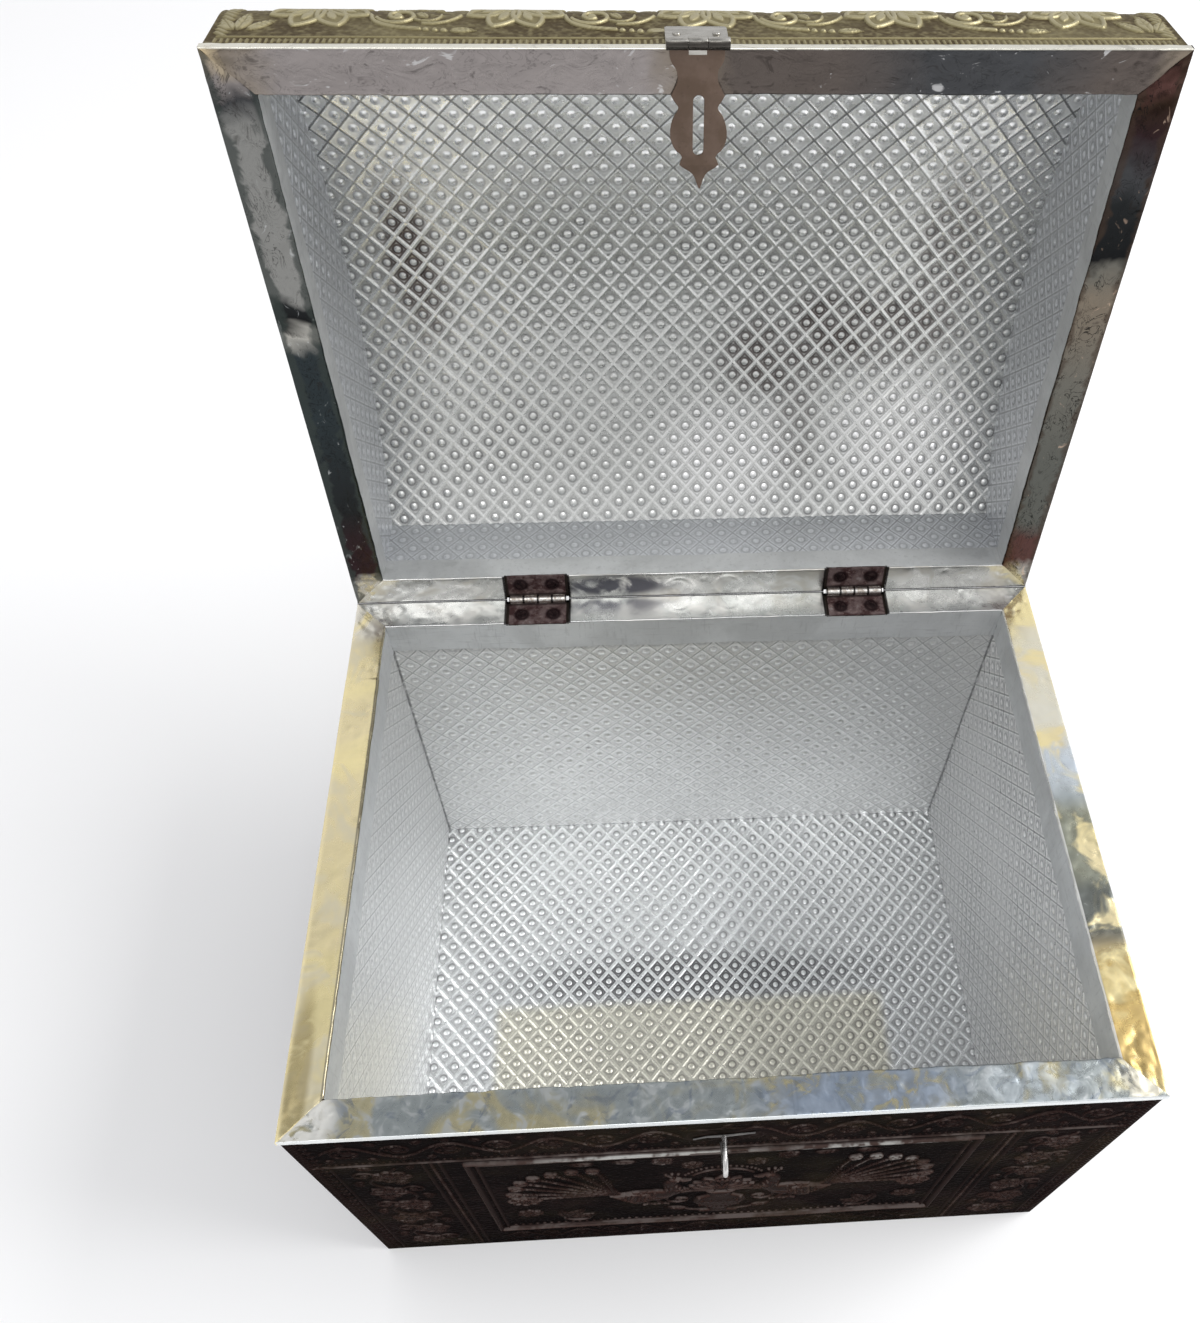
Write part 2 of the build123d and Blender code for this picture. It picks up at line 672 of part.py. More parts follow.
with BuildPart() as lid_end_sheet_left:
    with BuildSketch(lid_yz(-HX + STRIP)):
        with BuildLine():
            arch_outline(SKIN, STRIP)
        make_face()
    extrude(amount=SKIN)
lid_end_sheet_left.part.label = "lid_end_sheet_left"

with BuildPart() as lid_end_sheet_right:
    with BuildSketch(lid_yz(HX - BOARD_OUT)):
        with BuildLine():
            arch_outline(SKIN, STRIP)
        make_face()
    extrude(amount=SKIN)
lid_end_sheet_right.part.label = "lid_end_sheet_right"

# ------------------------------------------------------------------ linings of the lid
line_y = HY - BOARD_IN                          # inner faces of the rails
line_x = HX - BOARD_IN
with BuildPart() as lid_lining_ceiling:
    with BuildSketch(lid_yz(-line_x)):
        with BuildLine():
            vault_outline(line_y, R_SLAT, 20)
        make_face()
        with Locations((0, C_Z)):
            Circle(R_SLAT - LINE, mode=Mode.SUBTRACT)
    extrude(amount=2 * line_x)
lid_lining_ceiling.part.label = "lid_lining_ceiling"

with BuildPart() as lid_lining_front:
    with BuildSketch(lid_yz(-line_x)):
        with BuildLine():
            vault_outline(line_y, R_SLAT - LINE, STRIP)
        make_face()
        with Locations((-line_y + LINE / 2, 50)):
            Rectangle(LINE, 110, mode=Mode.INTERSECT)
    extrude(amount=2 * line_x)
lid_lining_front.part.label = "lid_lining_front"

with BuildPart() as lid_lining_back:
    with BuildSketch(lid_yz(-line_x)):
        with BuildLine():
            vault_outline(line_y, R_SLAT - LINE, STRIP)
        make_face()
        with Locations((line_y - LINE / 2, 50)):
            Rectangle(LINE, 110, mode=Mode.INTERSECT)
    extrude(amount=2 * line_x)
    add(lid_mortises.part, mode=Mode.SUBTRACT)
lid_lining_back.part.label = "lid_lining_back"

with BuildPart() as lid_lining_left:
    with BuildSketch(lid_yz(-line_x)):
        with BuildLine():
            vault_outline(line_y - LINE, R_SLAT - LINE, STRIP)
        make_face()
    extrude(amount=LINE)
lid_lining_left.part.label = "lid_lining_left"

with BuildPart() as lid_lining_right:
    with BuildSketch(lid_yz(line_x - LINE)):
        with BuildLine():
            vault_outline(line_y - LINE, R_SLAT - LINE, STRIP)
        make_face()
    extrude(amount=LINE)
lid_lining_right.part.label = "lid_lining_right"

# ------------------------------------------------------------------ butt hinges
seg = LEAF_L / 4
gap = 0.06                                      # half the play between two knuckles
leaf_in = AXIS_Y - (HY - T) - 0.1               # from the axis to the free edge of a leaf


# a leaf in its own frame: hinge axis along x through the origin, plate below it towards -y
with BuildPart() as leaf_blank:
    with BuildSketch(Plane.YZ.offset(-LEAF_L / 2)):
        with Locations((-leaf_in / 2, -KNUCKLE_R + LEAF_T / 2)):
            Rectangle(leaf_in, LEAF_T)
    extrude(amount=LEAF_L)
    for k in (1, 3):
        with BuildSketch(Plane.YZ.offset(-LEAF_L / 2 + k * seg - gap)):
            Circle(KNUCKLE_R + 0.12)
        extrude(amount=seg + 2 * gap, mode=Mode.SUBTRACT)
    with BuildSketch(Plane.YZ.offset(-LEAF_L / 2)):
        Circle(KNUCKLE_R)
    extrude(amount=seg - gap)
    with BuildSketch(Plane.YZ.offset(-LEAF_L / 2 + 2 * seg + gap)):
        Circle(KNUCKLE_R)
    extrude(amount=seg - 2 * gap)

with BuildPart() as hinge_pin_left:
    with BuildSketch(Plane(origin=(-HINGE_X - LEAF_L / 2, AXIS_Y, AXIS_Z), x_dir=(0, 1, 0), z_dir=(1, 0, 0))):
        Circle(PIN_R)
    extrude(amount=LEAF_L)
hinge_pin_left.part.label = "hinge_pin_left"

with BuildPart() as hinge_pin_right:
    with BuildSketch(Plane(origin=(HINGE_X - LEAF_L / 2, AXIS_Y, AXIS_Z), x_dir=(0, 1, 0), z_dir=(1, 0, 0))):
        Circle(PIN_R)
    extrude(amount=LEAF_L)
hinge_pin_right.part.label = "hinge_pin_right"

# turns the shut lid about the hinge axis to where it stands open
lid_turn = Location((0, AXIS_Y, AXIS_Z)) * Location((0, 0, 0), (-OPEN_DEG, 0, 0)) * Location((0, -AXIS_Y, -AXIS_Z))

with BuildPart() as hinge_box_leaf_left:
    add(leaf_blank.part.moved(Location((-HINGE_X, AXIS_Y, AXIS_Z))))
    add(hinge_pin_left.part, mode=Mode.SUBTRACT)
    add(box_hinge_screws.part, mode=Mode.SUBTRACT)
hinge_box_leaf_left.part.label = "hinge_box_leaf_left"

with BuildPart() as hinge_box_leaf_right:
    add(leaf_blank.part.moved(Location((HINGE_X, AXIS_Y, AXIS_Z))))
    add(hinge_pin_right.part, mode=Mode.SUBTRACT)
    add(box_hinge_screws.part, mode=Mode.SUBTRACT)
hinge_box_leaf_right.part.label = "hinge_box_leaf_right"

with BuildPart() as hinge_lid_leaf_left:
    add(leaf_blank.part.moved(lid_turn * Location((-HINGE_X, AXIS_Y, AXIS_Z), (0, 180, 0))))
    with BuildSketch(Plane(origin=(-HINGE_X - LEAF_L / 2 - 1, AXIS_Y, AXIS_Z), x_dir=(0, 1, 0), z_dir=(1, 0, 0))):
        Circle(PIN_R + PIN_FIT)
    extrude(amount=LEAF_L + 2, mode=Mode.SUBTRACT)
    add(lid_hinge_screws.part, mode=Mode.SUBTRACT)
hinge_lid_leaf_left.part.label = "hinge_lid_leaf_left"

with BuildPart() as hinge_lid_leaf_right:
    add(leaf_blank.part.moved(lid_turn * Location((HINGE_X, AXIS_Y, AXIS_Z), (0, 180, 0))))
    with BuildSketch(Plane(origin=(HINGE_X - LEAF_L / 2 - 1, AXIS_Y, AXIS_Z), x_dir=(0, 1, 0), z_dir=(1, 0, 0))):
        Circle(PIN_R + PIN_FIT)
    extrude(amount=LEAF_L + 2, mode=Mode.SUBTRACT)
    add(lid_hinge_screws.part, mode=Mode.SUBTRACT)
hinge_lid_leaf_right.part.label = "hinge_lid_leaf_right"

# ------------------------------------------------------------------ hasp
HAX = LID * Location((HASP_X, -HY - HASP_OUT, -HASP_DOWN))      # hasp axis, in the lid's frame
mid_half = 2.95                                 # half length of the plate's own knuckle

with BuildPart() as hasp_pin:
    with BuildSketch(in_frame(HAX, Plane.YZ.offset(-HASP_BARREL / 2))):
        Circle(HASP_PIN_R)
    extrude(amount=HASP_BARREL)
hasp_pin.part.label = "hasp_pin"

with BuildPart() as hasp_leaf:
    # plate on the lid's front
    with BuildSketch(in_frame(HAX, Plane(origin=(0, HASP_OUT, 0), x_dir=(1, 0, 0), z_dir=(0, -1, 0)))):
        with Locations((0, HASP_DOWN + HASP_LEAF_H / 2)):
            Rectangle(HASP_BARREL, HASP_LEAF_H)
    extrude(amount=HASP_LEAF_T)
    fillet(hasp_leaf.edges().filter_by(lambda e: abs(e.length - HASP_LEAF_T) < 1e-3).group_by(Axis(HAX.position, up.z_dir))[-1], 1.2)
    # its two outer knuckles, wrapped round from the plate
    outer = HASP_BARREL / 2 - mid_half - 0.08
    for sx in (-1, 1):
        with BuildSketch(in_frame(HAX, Plane(origin=(0, HASP_R, 0), x_dir=(1, 0, 0), z_dir=(0, -1, 0)))):
            with Locations((sx * (HASP_BARREL - outer) / 2, HASP_DOWN / 2)):
                Rectangle(outer, HASP_DOWN)
        extrude(amount=HASP_R - (HASP_OUT - HASP_LEAF_T))
        with BuildSketch(in_frame(HAX, Plane.YZ.offset(sx * (HASP_BARREL - outer) / 2 - outer / 2))):
            Circle(HASP_R)
        extrude(amount=outer)
    add(hasp_pin.part, mode=Mode.SUBTRACT)
    add(hasp_leaf_pins.part, mode=Mode.SUBTRACT)
hasp_leaf.part.label = "hasp_leaf"

# outline of the plate: half width at distances from the axis
hasp_half = [
    (2.05, 8.5), (4.6, 8.35), (6.4, 7.6), (7.8, 6.6), (9.9, 6.2), (11.7, 6.5), (13.8, 7.5), (15.6, 8.45),
    (17.4, 7.4), (18.9, 6.35), (20.1, 6.5), (21.8, 7.7), (24.2, 8.65), (26.6, 9.1), (29.0, 9.0), (31.4, 8.2),
    (32.8, 7.2), (33.7, 6.1), (34.9, 5.45), (36.2, 6.0), (37.3, 6.4), (38.5, 4.8), (39.8, 2.7), (41.7, 1.45),
    (43.7, 0.75), (45.1, 0.2),
]
slot_v0, slot_v1, slot_half = 15.4, 34.2, 1.75
lean, lean_0 = 0.0295, -0.25                   # the plate was cut a little askew
slot_x = lean_0 + lean * (slot_v0 + slot_v1) / 2
with BuildPart() as hasp_plate:
    # the plate lies along the lid's rim: local x is the chest's x, local y runs away from the axis
    with BuildSketch(in_frame(HAX, Plane(origin=(0, 0, HASP_R), x_dir=(1, 0, 0), z_dir=(0, 0, 1)))):
        with BuildLine():
            Polyline(
                *[(lean_0 + lean * v + w, v) for v, w in hasp_half],
                *[(lean_0 + lean * v - w, v) for v, w in reversed(hasp_half)],
                close=True,
            )
        make_face()
        with Locations((0, 1.3)):
            Rectangle(2 * mid_half, 2.6)
        with Locations((slot_x, (slot_v0 + slot_v1) / 2)):
            SlotOverall(slot_v1 - slot_v0, 2 * slot_half, rotation=90, mode=Mode.SUBTRACT)
    extrude(amount=-HASP_T)
    with BuildSketch(in_frame(HAX, Plane.YZ.offset(-mid_half))):
        Circle(HASP_R)
    extrude(amount=2 * mid_half)
    with BuildSketch(in_frame(HAX, Plane.YZ.offset(-mid_half - 1))):
        Circle(HASP_PIN_R + PIN_FIT)
    extrude(amount=2 * mid_half + 2, mode=Mode.SUBTRACT)
hasp_plate.part.label = "hasp_plate"

# ------------------------------------------------------------------ write every piece
pieces = [
    box_front_board, box_back_board, box_left_board, box_right_board, box_bottom_board,
    box_sheet_front, box_sheet_back, box_sheet_left, box_sheet_right,
    box_lining_front, box_lining_back, box_lining_left, box_lining_right, box_lining_floor,
    box_strip_front, box_strip_back, box_strip_left, box_strip_right,
    staple, staple_keeper, hinge_box_leaf_left, hinge_box_leaf_right, hinge_pin_left, hinge_pin_right,
    box_hinge_screws, box_nails,
    lid_front_rail, lid_back_rail, lid_left_end, lid_right_end,
    lid_slat_1, lid_slat_2, lid_slat_3, lid_slat_4, lid_slat_5,
    lid_cover_sheet, lid_end_sheet_left, lid_end_sheet_right,
    lid_lining_front, lid_lining_back, lid_lining_left, lid_lining_right, lid_lining_ceiling,
    lid_strip_front, lid_strip_back, lid_strip_left, lid_strip_right,
    hinge_lid_leaf_left, hinge_lid_leaf_right, lid_hinge_screws, lid_nails,
    hasp_leaf, hasp_leaf_pins, hasp_pin, hasp_plate,
]
for piece in pieces:
    export_step(piece.part, "parts/" + piece.part.label + ".step")
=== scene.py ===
import math

import bmesh
import bpy
import numpy as np
from mathutils import Matrix, Vector


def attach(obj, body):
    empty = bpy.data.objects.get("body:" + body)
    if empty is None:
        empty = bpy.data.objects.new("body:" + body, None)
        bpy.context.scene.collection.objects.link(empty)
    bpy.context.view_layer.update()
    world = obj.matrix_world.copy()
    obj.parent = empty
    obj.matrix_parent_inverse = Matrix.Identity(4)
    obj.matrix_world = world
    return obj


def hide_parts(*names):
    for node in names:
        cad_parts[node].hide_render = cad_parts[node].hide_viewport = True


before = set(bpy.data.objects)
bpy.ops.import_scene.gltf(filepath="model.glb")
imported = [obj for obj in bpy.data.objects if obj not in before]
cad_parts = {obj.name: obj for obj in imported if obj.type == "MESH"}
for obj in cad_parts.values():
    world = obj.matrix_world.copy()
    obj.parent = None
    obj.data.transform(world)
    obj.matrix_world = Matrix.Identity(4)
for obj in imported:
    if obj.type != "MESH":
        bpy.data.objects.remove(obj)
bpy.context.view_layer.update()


COARSE = 1.0

# ------------------------------------------------------------------ the chest's own dimensions, in millimetres
W, D, H, T = 305.0, 232.4, 191.0, 13.9
STRIP, SKIN, LINE = 0.4, 1.0, 0.5
BOARD_OUT, BOARD_IN, BOTTOM_T = 1.4, 13.0, 4.0
FOLD_OUT, FOLD_IN_BOX, FOLD_IN_LID = 3.0, 18.0, 12.0
OPEN_DEG, HINGE_UP = 95.5, 0.7
HINGE_IN = HINGE_UP / math.tan(math.radians(49.0))
CROWN, R_CROWN, R_SHOULDER, R_SLAT = 75.9, 236.5, 30.0, 223.1
HX, HY = W / 2, D / 2
AXIS_Y, AXIS_Z = HY - HINGE_IN, H + HINGE_UP
C_Z = CROWN - R_CROWN
SH_Y = HY - STRIP - R_SHOULDER
SH_Z = math.sqrt((R_CROWN - R_SHOULDER) ** 2 - SH_Y ** 2) + C_Z
SH_A = math.atan2(SH_Z - C_Z, SH_Y)
HINGE_X, LEAF_L, MORTISE_L = 72.0, 25.4, 27.8
HASP_X, HASP_OUT, HASP_DOWN, HASP_R = -3.2, 1.95, 1.95, 1.8
STAPLE_X, STAPLE_R, STAPLE_TOP, STAPLE_DROP, STAPLE_OUT = -2.0, 0.95, 21.2, 11.6, 12.4
COS, SIN = math.cos(math.radians(OPEN_DEG)), math.sin(math.radians(OPEN_DEG))


def lid_world(p):
    """Points (x, y, h) of the shut lid's frame, taken to where the lid stands open."""
    y = p[..., 1] - AXIS_Y
    h = p[..., 2] + HINGE_UP
    return np.stack([p[..., 0], AXIS_Y + COS * y + SIN * h, AXIS_Z - SIN * y + COS * h], -1)


def same(p):
    return p


# ------------------------------------------------------------------ numbers
def frac(v):
    return v - np.floor(v)


def smooth(e0, e1, v):
    t = np.clip((v - e0) / (e1 - e0), 0, 1)
    return t * t * (3 - 2 * t)


def noise(x, y, size, seed):
    """Smooth value noise from -1 to 1 with features about size millimetres wide."""
    g = np.random.default_rng(seed).uniform(-1, 1, (61, 61))
    u, v = np.broadcast_arrays(np.asarray(x, float) / size + 30.37, np.asarray(y, float) / size + 17.11)
    i, j = np.floor(u).astype(int), np.floor(v).astype(int)
    fu, fv = u - i, v - j
    fu, fv = fu * fu * fu * (fu * (fu * 6 - 15) + 10), fv * fv * fv * (fv * (fv * 6 - 15) + 10)
    i0, i1, j0, j1 = i % 61, (i + 1) % 61, j % 61, (j + 1) % 61
    a = g[j0, i0] * (1 - fu) + g[j0, i1] * fu
    b = g[j1, i0] * (1 - fu) + g[j1, i1] * fu
    return a * (1 - fv) + b * fv


def ticks(breaks, step):
    """Positions from the first break to the last, about step apart, with every break among them."""
    out = [np.array([breaks[0]], float)]
    for a, b in zip(breaks[:-1], breaks[1:]):
        n = max(1, int(round(abs(b - a) / step)))
        out.append(np.linspace(a, b, n + 1)[1:])
    return np.concatenate(out)


# ------------------------------------------------------------------ meshes
MATERIALS = {}


def make_mesh(name, co, faces, material, body, nodes=(), pat=None, cav=None, sharp=55.0, border=None):
    """A piece from vertices in millimetres and lists of faces of equal length. border marks vertices whose joining edges stay crisp."""
    co = np.asarray(co, float)
    used = np.zeros(len(co), bool)
    for f in faces:
        used[f.ravel()] = True
    renum = np.cumsum(used) - 1
    co = co[used] / 1000.0
    loops = np.concatenate([renum[f].ravel() for f in faces]).astype(np.int32)
    totals = np.concatenate([np.full(len(f), f.shape[1], np.int32) for f in faces])
    starts = np.concatenate([[0], np.cumsum(totals)[:-1]]).astype(np.int32)
    me = bpy.data.meshes.new(name)
    me.vertices.add(len(co))
    me.vertices.foreach_set("co", co.astype(np.float32).ravel())
    me.loops.add(len(loops))
    me.loops.foreach_set("vertex_index", loops)
    me.polygons.add(len(totals))
    me.polygons.foreach_set("loop_start", starts)
    me.polygons.foreach_set("use_smooth", np.ones(len(totals), bool))
    if pat is not None:
        a = me.attributes.new("pat", "FLOAT_VECTOR", "POINT")
        a.data.foreach_set("vector", np.asarray(pat, np.float32)[used].ravel())
    if cav is not None:
        a = me.attributes.new("cav", "FLOAT", "POINT")
        a.data.foreach_set("value", np.asarray(cav, np.float32)[used].ravel())
    me.update(calc_edges=True)
    me.validate()
    me.set_sharp_from_angle(angle=math.radians(sharp))
    if border is not None:
        ev = np.empty(2 * len(me.edges), np.int32)
        me.edges.foreach_get("vertices", ev)
        flag = np.asarray(border)[used][ev.reshape(-1, 2)].all(1)
        hard = np.empty(len(me.edges), bool)
        se = me.attributes.get("sharp_edge") or me.attributes.new("sharp_edge", "BOOLEAN", "EDGE")
        se.data.foreach_get("value", hard)
        se.data.foreach_set("value", hard | flag)
    ob = bpy.data.objects.new(name, me)
    bpy.context.scene.collection.objects.link(ob)
    me.materials.append(MATERIALS[material])
    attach(ob, body)
    if nodes:
        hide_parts(*nodes)
    return ob


def grid_index(ny, nx):
    return np.arange((ny + 1) * (nx + 1)).reshape(ny + 1, nx + 1)


def split_quads(idx, height):
    """Two triangles a cell, cut along the diagonal that follows a ridge."""
    a, b, c, d = idx[:-1, :-1], idx[:-1, 1:], idx[1:, 1:], idx[1:, :-1]
    hh = height
    ac = hh[:-1, :-1] + hh[1:, 1:] >= hh[:-1, 1:] + hh[1:, :-1]
    one = np.where(ac[..., None], np.stack([a, b, c], -1), np.stack([a, b, d], -1))
    two = np.where(ac[..., None], np.stack([a, c, d], -1), np.stack([b, c, d], -1))
    return np.concatenate([one.reshape(-1, 3), two.reshape(-1, 3)])


def slab(P, B, height=None):
    """Vertices and faces of a closed sheet: fine front P, and a back that uses only the border of B."""
    ny, nx = P.shape[0] - 1, P.shape[1] - 1
    idx = grid_index(ny, nx)
    n = idx.size
    co = np.concatenate([P.reshape(-1, 3), B.reshape(-1, 3)])
    if height is None:
        front = np.stack([idx[:-1, :-1], idx[:-1, 1:], idx[1:, 1:], idx[1:, :-1]], -1).reshape(-1, 4)
    else:
        front = split_quads(idx, height)
    walls = np.concatenate([
        np.stack([idx[0, 1:], idx[0, :-1], idx[0, :-1] + n, idx[0, 1:] + n], -1),
        np.stack([idx[1:, -1], idx[:-1, -1], idx[:-1, -1] + n, idx[1:, -1] + n], -1),
        np.stack([idx[-1, :-1], idx[-1, 1:], idx[-1, 1:] + n, idx[-1, :-1] + n], -1),
        np.stack([idx[:-1, 0], idx[1:, 0], idx[1:, 0] + n, idx[:-1, 0] + n], -1),
    ])
    mid = np.stack([idx[1:-2, 0], idx[2:-1, 0], idx[2:-1, -1], idx[1:-2, -1]], -1) + n
    low = np.concatenate([idx[0, ::-1], [idx[1, 0], idx[1, -1]]])[None, :] + n
    top = np.concatenate([idx[-1, :], [idx[-2, -1], idx[-2, 0]]])[None, :] + n
    return co, [front, walls, mid, low, top]


def shell(P, B, keep=None):
    """Vertices and faces of a closed sheet with both faces fine, made only of the cells in keep."""
    ny, nx = P.shape[0] - 1, P.shape[1] - 1
    idx = grid_index(ny, nx)
    n = idx.size
    if keep is None:
        keep = np.ones((ny, nx), bool)
    q = np.stack([idx[:-1, :-1], idx[:-1, 1:], idx[1:, 1:], idx[1:, :-1]], -1)
    front = q[keep]
    back = front[:, ::-1] + n
    pad = np.pad(keep, 1)
    here = pad[1:-1, 1:-1]
    walls = []
    for open_side, e0, e1 in (
        (here & ~pad[:-2, 1:-1], 0, 1), (here & ~pad[1:-1, 2:], 1, 2),
        (here & ~pad[2:, 1:-1], 2, 3), (here & ~pad[1:-1, :-2], 3, 0),
    ):
        c = q[open_side]
        walls.append(np.stack([c[:, e1], c[:, e0], c[:, e0] + n, c[:, e1] + n], -1))
    co = np.concatenate([P.reshape(-1, 3), B.reshape(-1, 3)])
    return co, [front, back, np.concatenate(walls)]


def rim_of(shape):
    """The border vertices of a slab's two faces."""
    b = np.zeros(shape, bool)
    b[0], b[-1], b[:, 0], b[:, -1] = True, True, True, True
    return both(b)


def both(a):
    """A per-vertex quantity of the front, repeated for the back."""
    a = a.reshape(-1, a.shape[-1]) if a.ndim == 3 else a.ravel()
    return np.concatenate([a, a])


# ------------------------------------------------------------------ embossing
class Field:
    """Heights in millimetres over a flat pattern, raised and cut with strokes, beads and filled shapes."""

    def __init__(self, xs, ys):
        self.xs, self.ys = np.asarray(xs, float), np.asarray(ys, float)
        self.h = np.zeros((len(ys), len(xs)))
        self.cut = np.zeros_like(self.h)

    def window(self, xa, xb, ya, yb):
        i0, i1 = np.searchsorted(self.xs, [xa, xb])
        j0, j1 = np.searchsorted(self.ys, [ya, yb])
        if i0 >= i1 or j0 >= j1:
            return None
        return (slice(j0, j1), slice(i0, i1)), self.xs[None, i0:i1], self.ys[j0:j1, None]

    def stroke(self, pts, w, h, cut=False):
        pts = np.asarray(pts, float)
        w = np.broadcast_to(np.asarray(w, float), (len(pts),))
        h = np.broadcast_to(np.asarray(h, float), (len(pts),))
        to = self.cut if cut else self.h
        for k in range(len(pts) - 1):
            (xa, ya), (xb, yb) = pts[k], pts[k + 1]
            r = max(w[k], w[k + 1])
            got = self.window(min(xa, xb) - r, max(xa, xb) + r, min(ya, yb) - r, max(ya, yb) + r)
            if got is None:
                continue
            s, x, y = got
            ux, uy = xb - xa, yb - ya
            q = ux * ux + uy * uy
            t = np.clip(((x - xa) * ux + (y - ya) * uy) / (q if q > 1e-12 else 1), 0, 1)
            ww = w[k] + (w[k + 1] - w[k]) * t
            d2 = ((x - xa - t * ux) ** 2 + (y - ya - t * uy) ** 2) / np.maximum(ww, 1e-3) ** 2
            v = (h[k] + (h[k + 1] - h[k]) * t) * np.clip(1 - d2, 0, 1) ** 0.75
            np.maximum(to[s], v, out=to[s])

    def bead(self, cx, cy, r, h, base=0.0):
        got = self.window(cx - r, cx + r, cy - r, cy + r)
        if got is None:
            return
        s, x, y = got
        d2 = ((x - cx) ** 2 + (y - cy) ** 2) / (r * r)
        v = np.where(d2 < 1, base + h * np.sqrt(np.clip(1 - d2, 0, 1)), 0)
        np.maximum(self.h[s], v, out=self.h[s])

    def fill(self, poly, h, edge, dome=0.0):
        """An island of height h that rises within edge of its outline."""
        poly = np.asarray(poly, float)
        lo, hi = poly.min(0), poly.max(0)
        got = self.window(lo[0], hi[0], lo[1], hi[1])
        if got is None:
            return
        s, x, y = got
        inside = np.zeros(self.h[s].shape, bool)
        d = np.full(self.h[s].shape, 1e9)
        for (xa, ya), (xb, yb) in zip(poly, np.roll(poly, -1, 0)):
            ux, uy = xb - xa, yb - ya
            q = ux * ux + uy * uy
            if q < 1e-12:
                continue
            t = np.clip(((x - xa) * ux + (y - ya) * uy) / q, 0, 1)
            d = np.minimum(d, (x - xa - t * ux) ** 2 + (y - ya - t * uy) ** 2)
            if ya != yb:
                inside ^= ((ya > y) != (yb > y)) & (x < (xb - xa) * (y - ya) / (yb - ya) + xa)
        d = np.sqrt(d)
        v = np.where(inside, h * np.sqrt(np.clip(1 - (1 - np.clip(d / edge, 0, 1)) ** 2, 0, 1)) + dome * np.clip(d / (4 * edge), 0, 1), 0)
        np.maximum(self.h[s], v, out=self.h[s])


class Pen:
    """Draws on a field in turned, scaled or mirrored coordinates."""

    def __init__(self, field, m=None, s=1.0):
        self.f, self.m, self.s = field, (np.eye(3) if m is None else m), s

    def at(self, x, y, rot=0.0, s=1.0, flip=False):
        c, n = math.cos(math.radians(rot)), math.sin(math.radians(rot))
        k = -1.0 if flip else 1.0
        return Pen(self.f, self.m @ np.array([[c * s * k, -n * s, x], [n * s * k, c * s, y], [0, 0, 1]]), self.s * s)

    def to(self, pts):
        pts = np.atleast_2d(np.asarray(pts, float))
        return pts @ self.m[:2, :2].T + self.m[:2, 2]

    def line(self, pts, w, h):
        self.f.stroke(self.to(pts), np.asarray(w, float) * self.s, h)

    def cut(self, pts, w, h):
        self.f.stroke(self.to(pts), np.asarray(w, float) * self.s, h, cut=True)

    def bead(self, x, y, r, h, base=0.0):
        (cx, cy), = self.to((x, y))
        self.f.bead(cx, cy, r * self.s, h, base)

    def fill(self, poly, h, edge, dome=0.0):
        self.f.fill(self.to(poly), h, edge * self.s, dome)


def arc(cx, cy, r, a0, a1, n=14, ry=None):
    t = np.radians(np.linspace(a0, a1, n))
    return np.stack([cx + r * np.cos(t), cy + (r if ry is None else ry) * np.sin(t)], -1)


def bez(p0, p1, p2, p3, n=18):
    t = np.linspace(0, 1, n)[:, None]
    p0, p1, p2, p3 = map(np.array, (p0, p1, p2, p3))
    return (1 - t) ** 3 * p0 + 3 * (1 - t) ** 2 * t * p1 + 3 * (1 - t) * t * t * p2 + t ** 3 * p3


def curl(cx, cy, r0, r1, a0, deg, n=34):
    """A spiral from radius r0 at angle a0, turning deg degrees while it winds in to r1."""
    t = np.linspace(0, 1, n)
    r = r0 + (r1 - r0) * t ** 0.85
    a = np.radians(a0 + deg * t)
    return np.stack([cx + r * np.cos(a), cy + r * np.sin(a)], -1)


def drop(length, width, n=16, blunt=0.62):
    """A petal from the origin up +y: pointed at its root, round at its tip."""
    t = np.linspace(0, 1, n)
    w = width / 2 * np.sin(np.pi * t ** (1 / blunt * 0.75)) ** 0.8
    right = np.stack([w, length * t], -1)
    left = np.stack([-w, length * t], -1)[::-1]
    return np.concatenate([right, left[1:-1]])


def leafy(length, width, n=14, bend=0.0):
    """A pointed leaf up +y, its tip bent sideways."""
    t = np.linspace(0, 1, n)
    w = width / 2 * np.sin(np.pi * t ** 0.8) ** 1.1
    mid = bend * t * t
    return np.concatenate([np.stack([mid + w, length * t], -1), np.stack([mid - w, length * t], -1)[::-1][1:-1]])


def petal(pen, length, width, h=0.7, core=True):
    out = drop(length, width)
    pen.fill(out, h * 0.2, 0.12 * width)
    pen.line(np.concatenate([out, out[:1]]), 0.085 * width + 0.2, h)
    if core:
        pen.at(0, length * 0.32).fill(drop(length * 0.44, width * 0.36), h * 0.85, 0.1 * width)


def leaf(pen, length, width, h=0.7, bend=0.0):
    out = leafy(length, width, bend=bend)
    pen.fill(out, h, 0.28 * width)
    t = np.linspace(0.05, 0.9, 9)
    pen.cut(np.stack([bend * t * t, length * t], -1), 0.07 * width + 0.1, h * 0.55)
    for k in (0.3, 0.48, 0.66):
        for sx in (-1, 1):
            w = width * 0.33 * math.sin(math.pi * k ** 0.8)
            pen.cut([(bend * k * k, length * k), (bend * k * k + sx * w, length * (k + 0.14))], 0.1 + 0.03 * width, h * 0.4)


def bloom(pen, r, petals=8, h=0.9, a0=0.0):
    """A round flower of outlined petals with a beaded eye."""
    for k in range(petals):
        petal(pen.at(*(r * 0.22 * np.array([-math.sin(math.radians(a0 + 360 * k / petals)), math.cos(math.radians(a0 + 360 * k / petals))])),
                     a0 + 360.0 * k / petals), r * 0.78, 2 * math.pi * r * 0.66 / petals, h)
    pen.bead(0, 0, r * 0.2, h * 0.55, h * 0.6)
    for k in range(8):
        a = 2 * math.pi * k / 8
        pen.bead(r * 0.27 * math.cos(a), r * 0.27 * math.sin(a), r * 0.065, h * 0.25, h * 0.7)


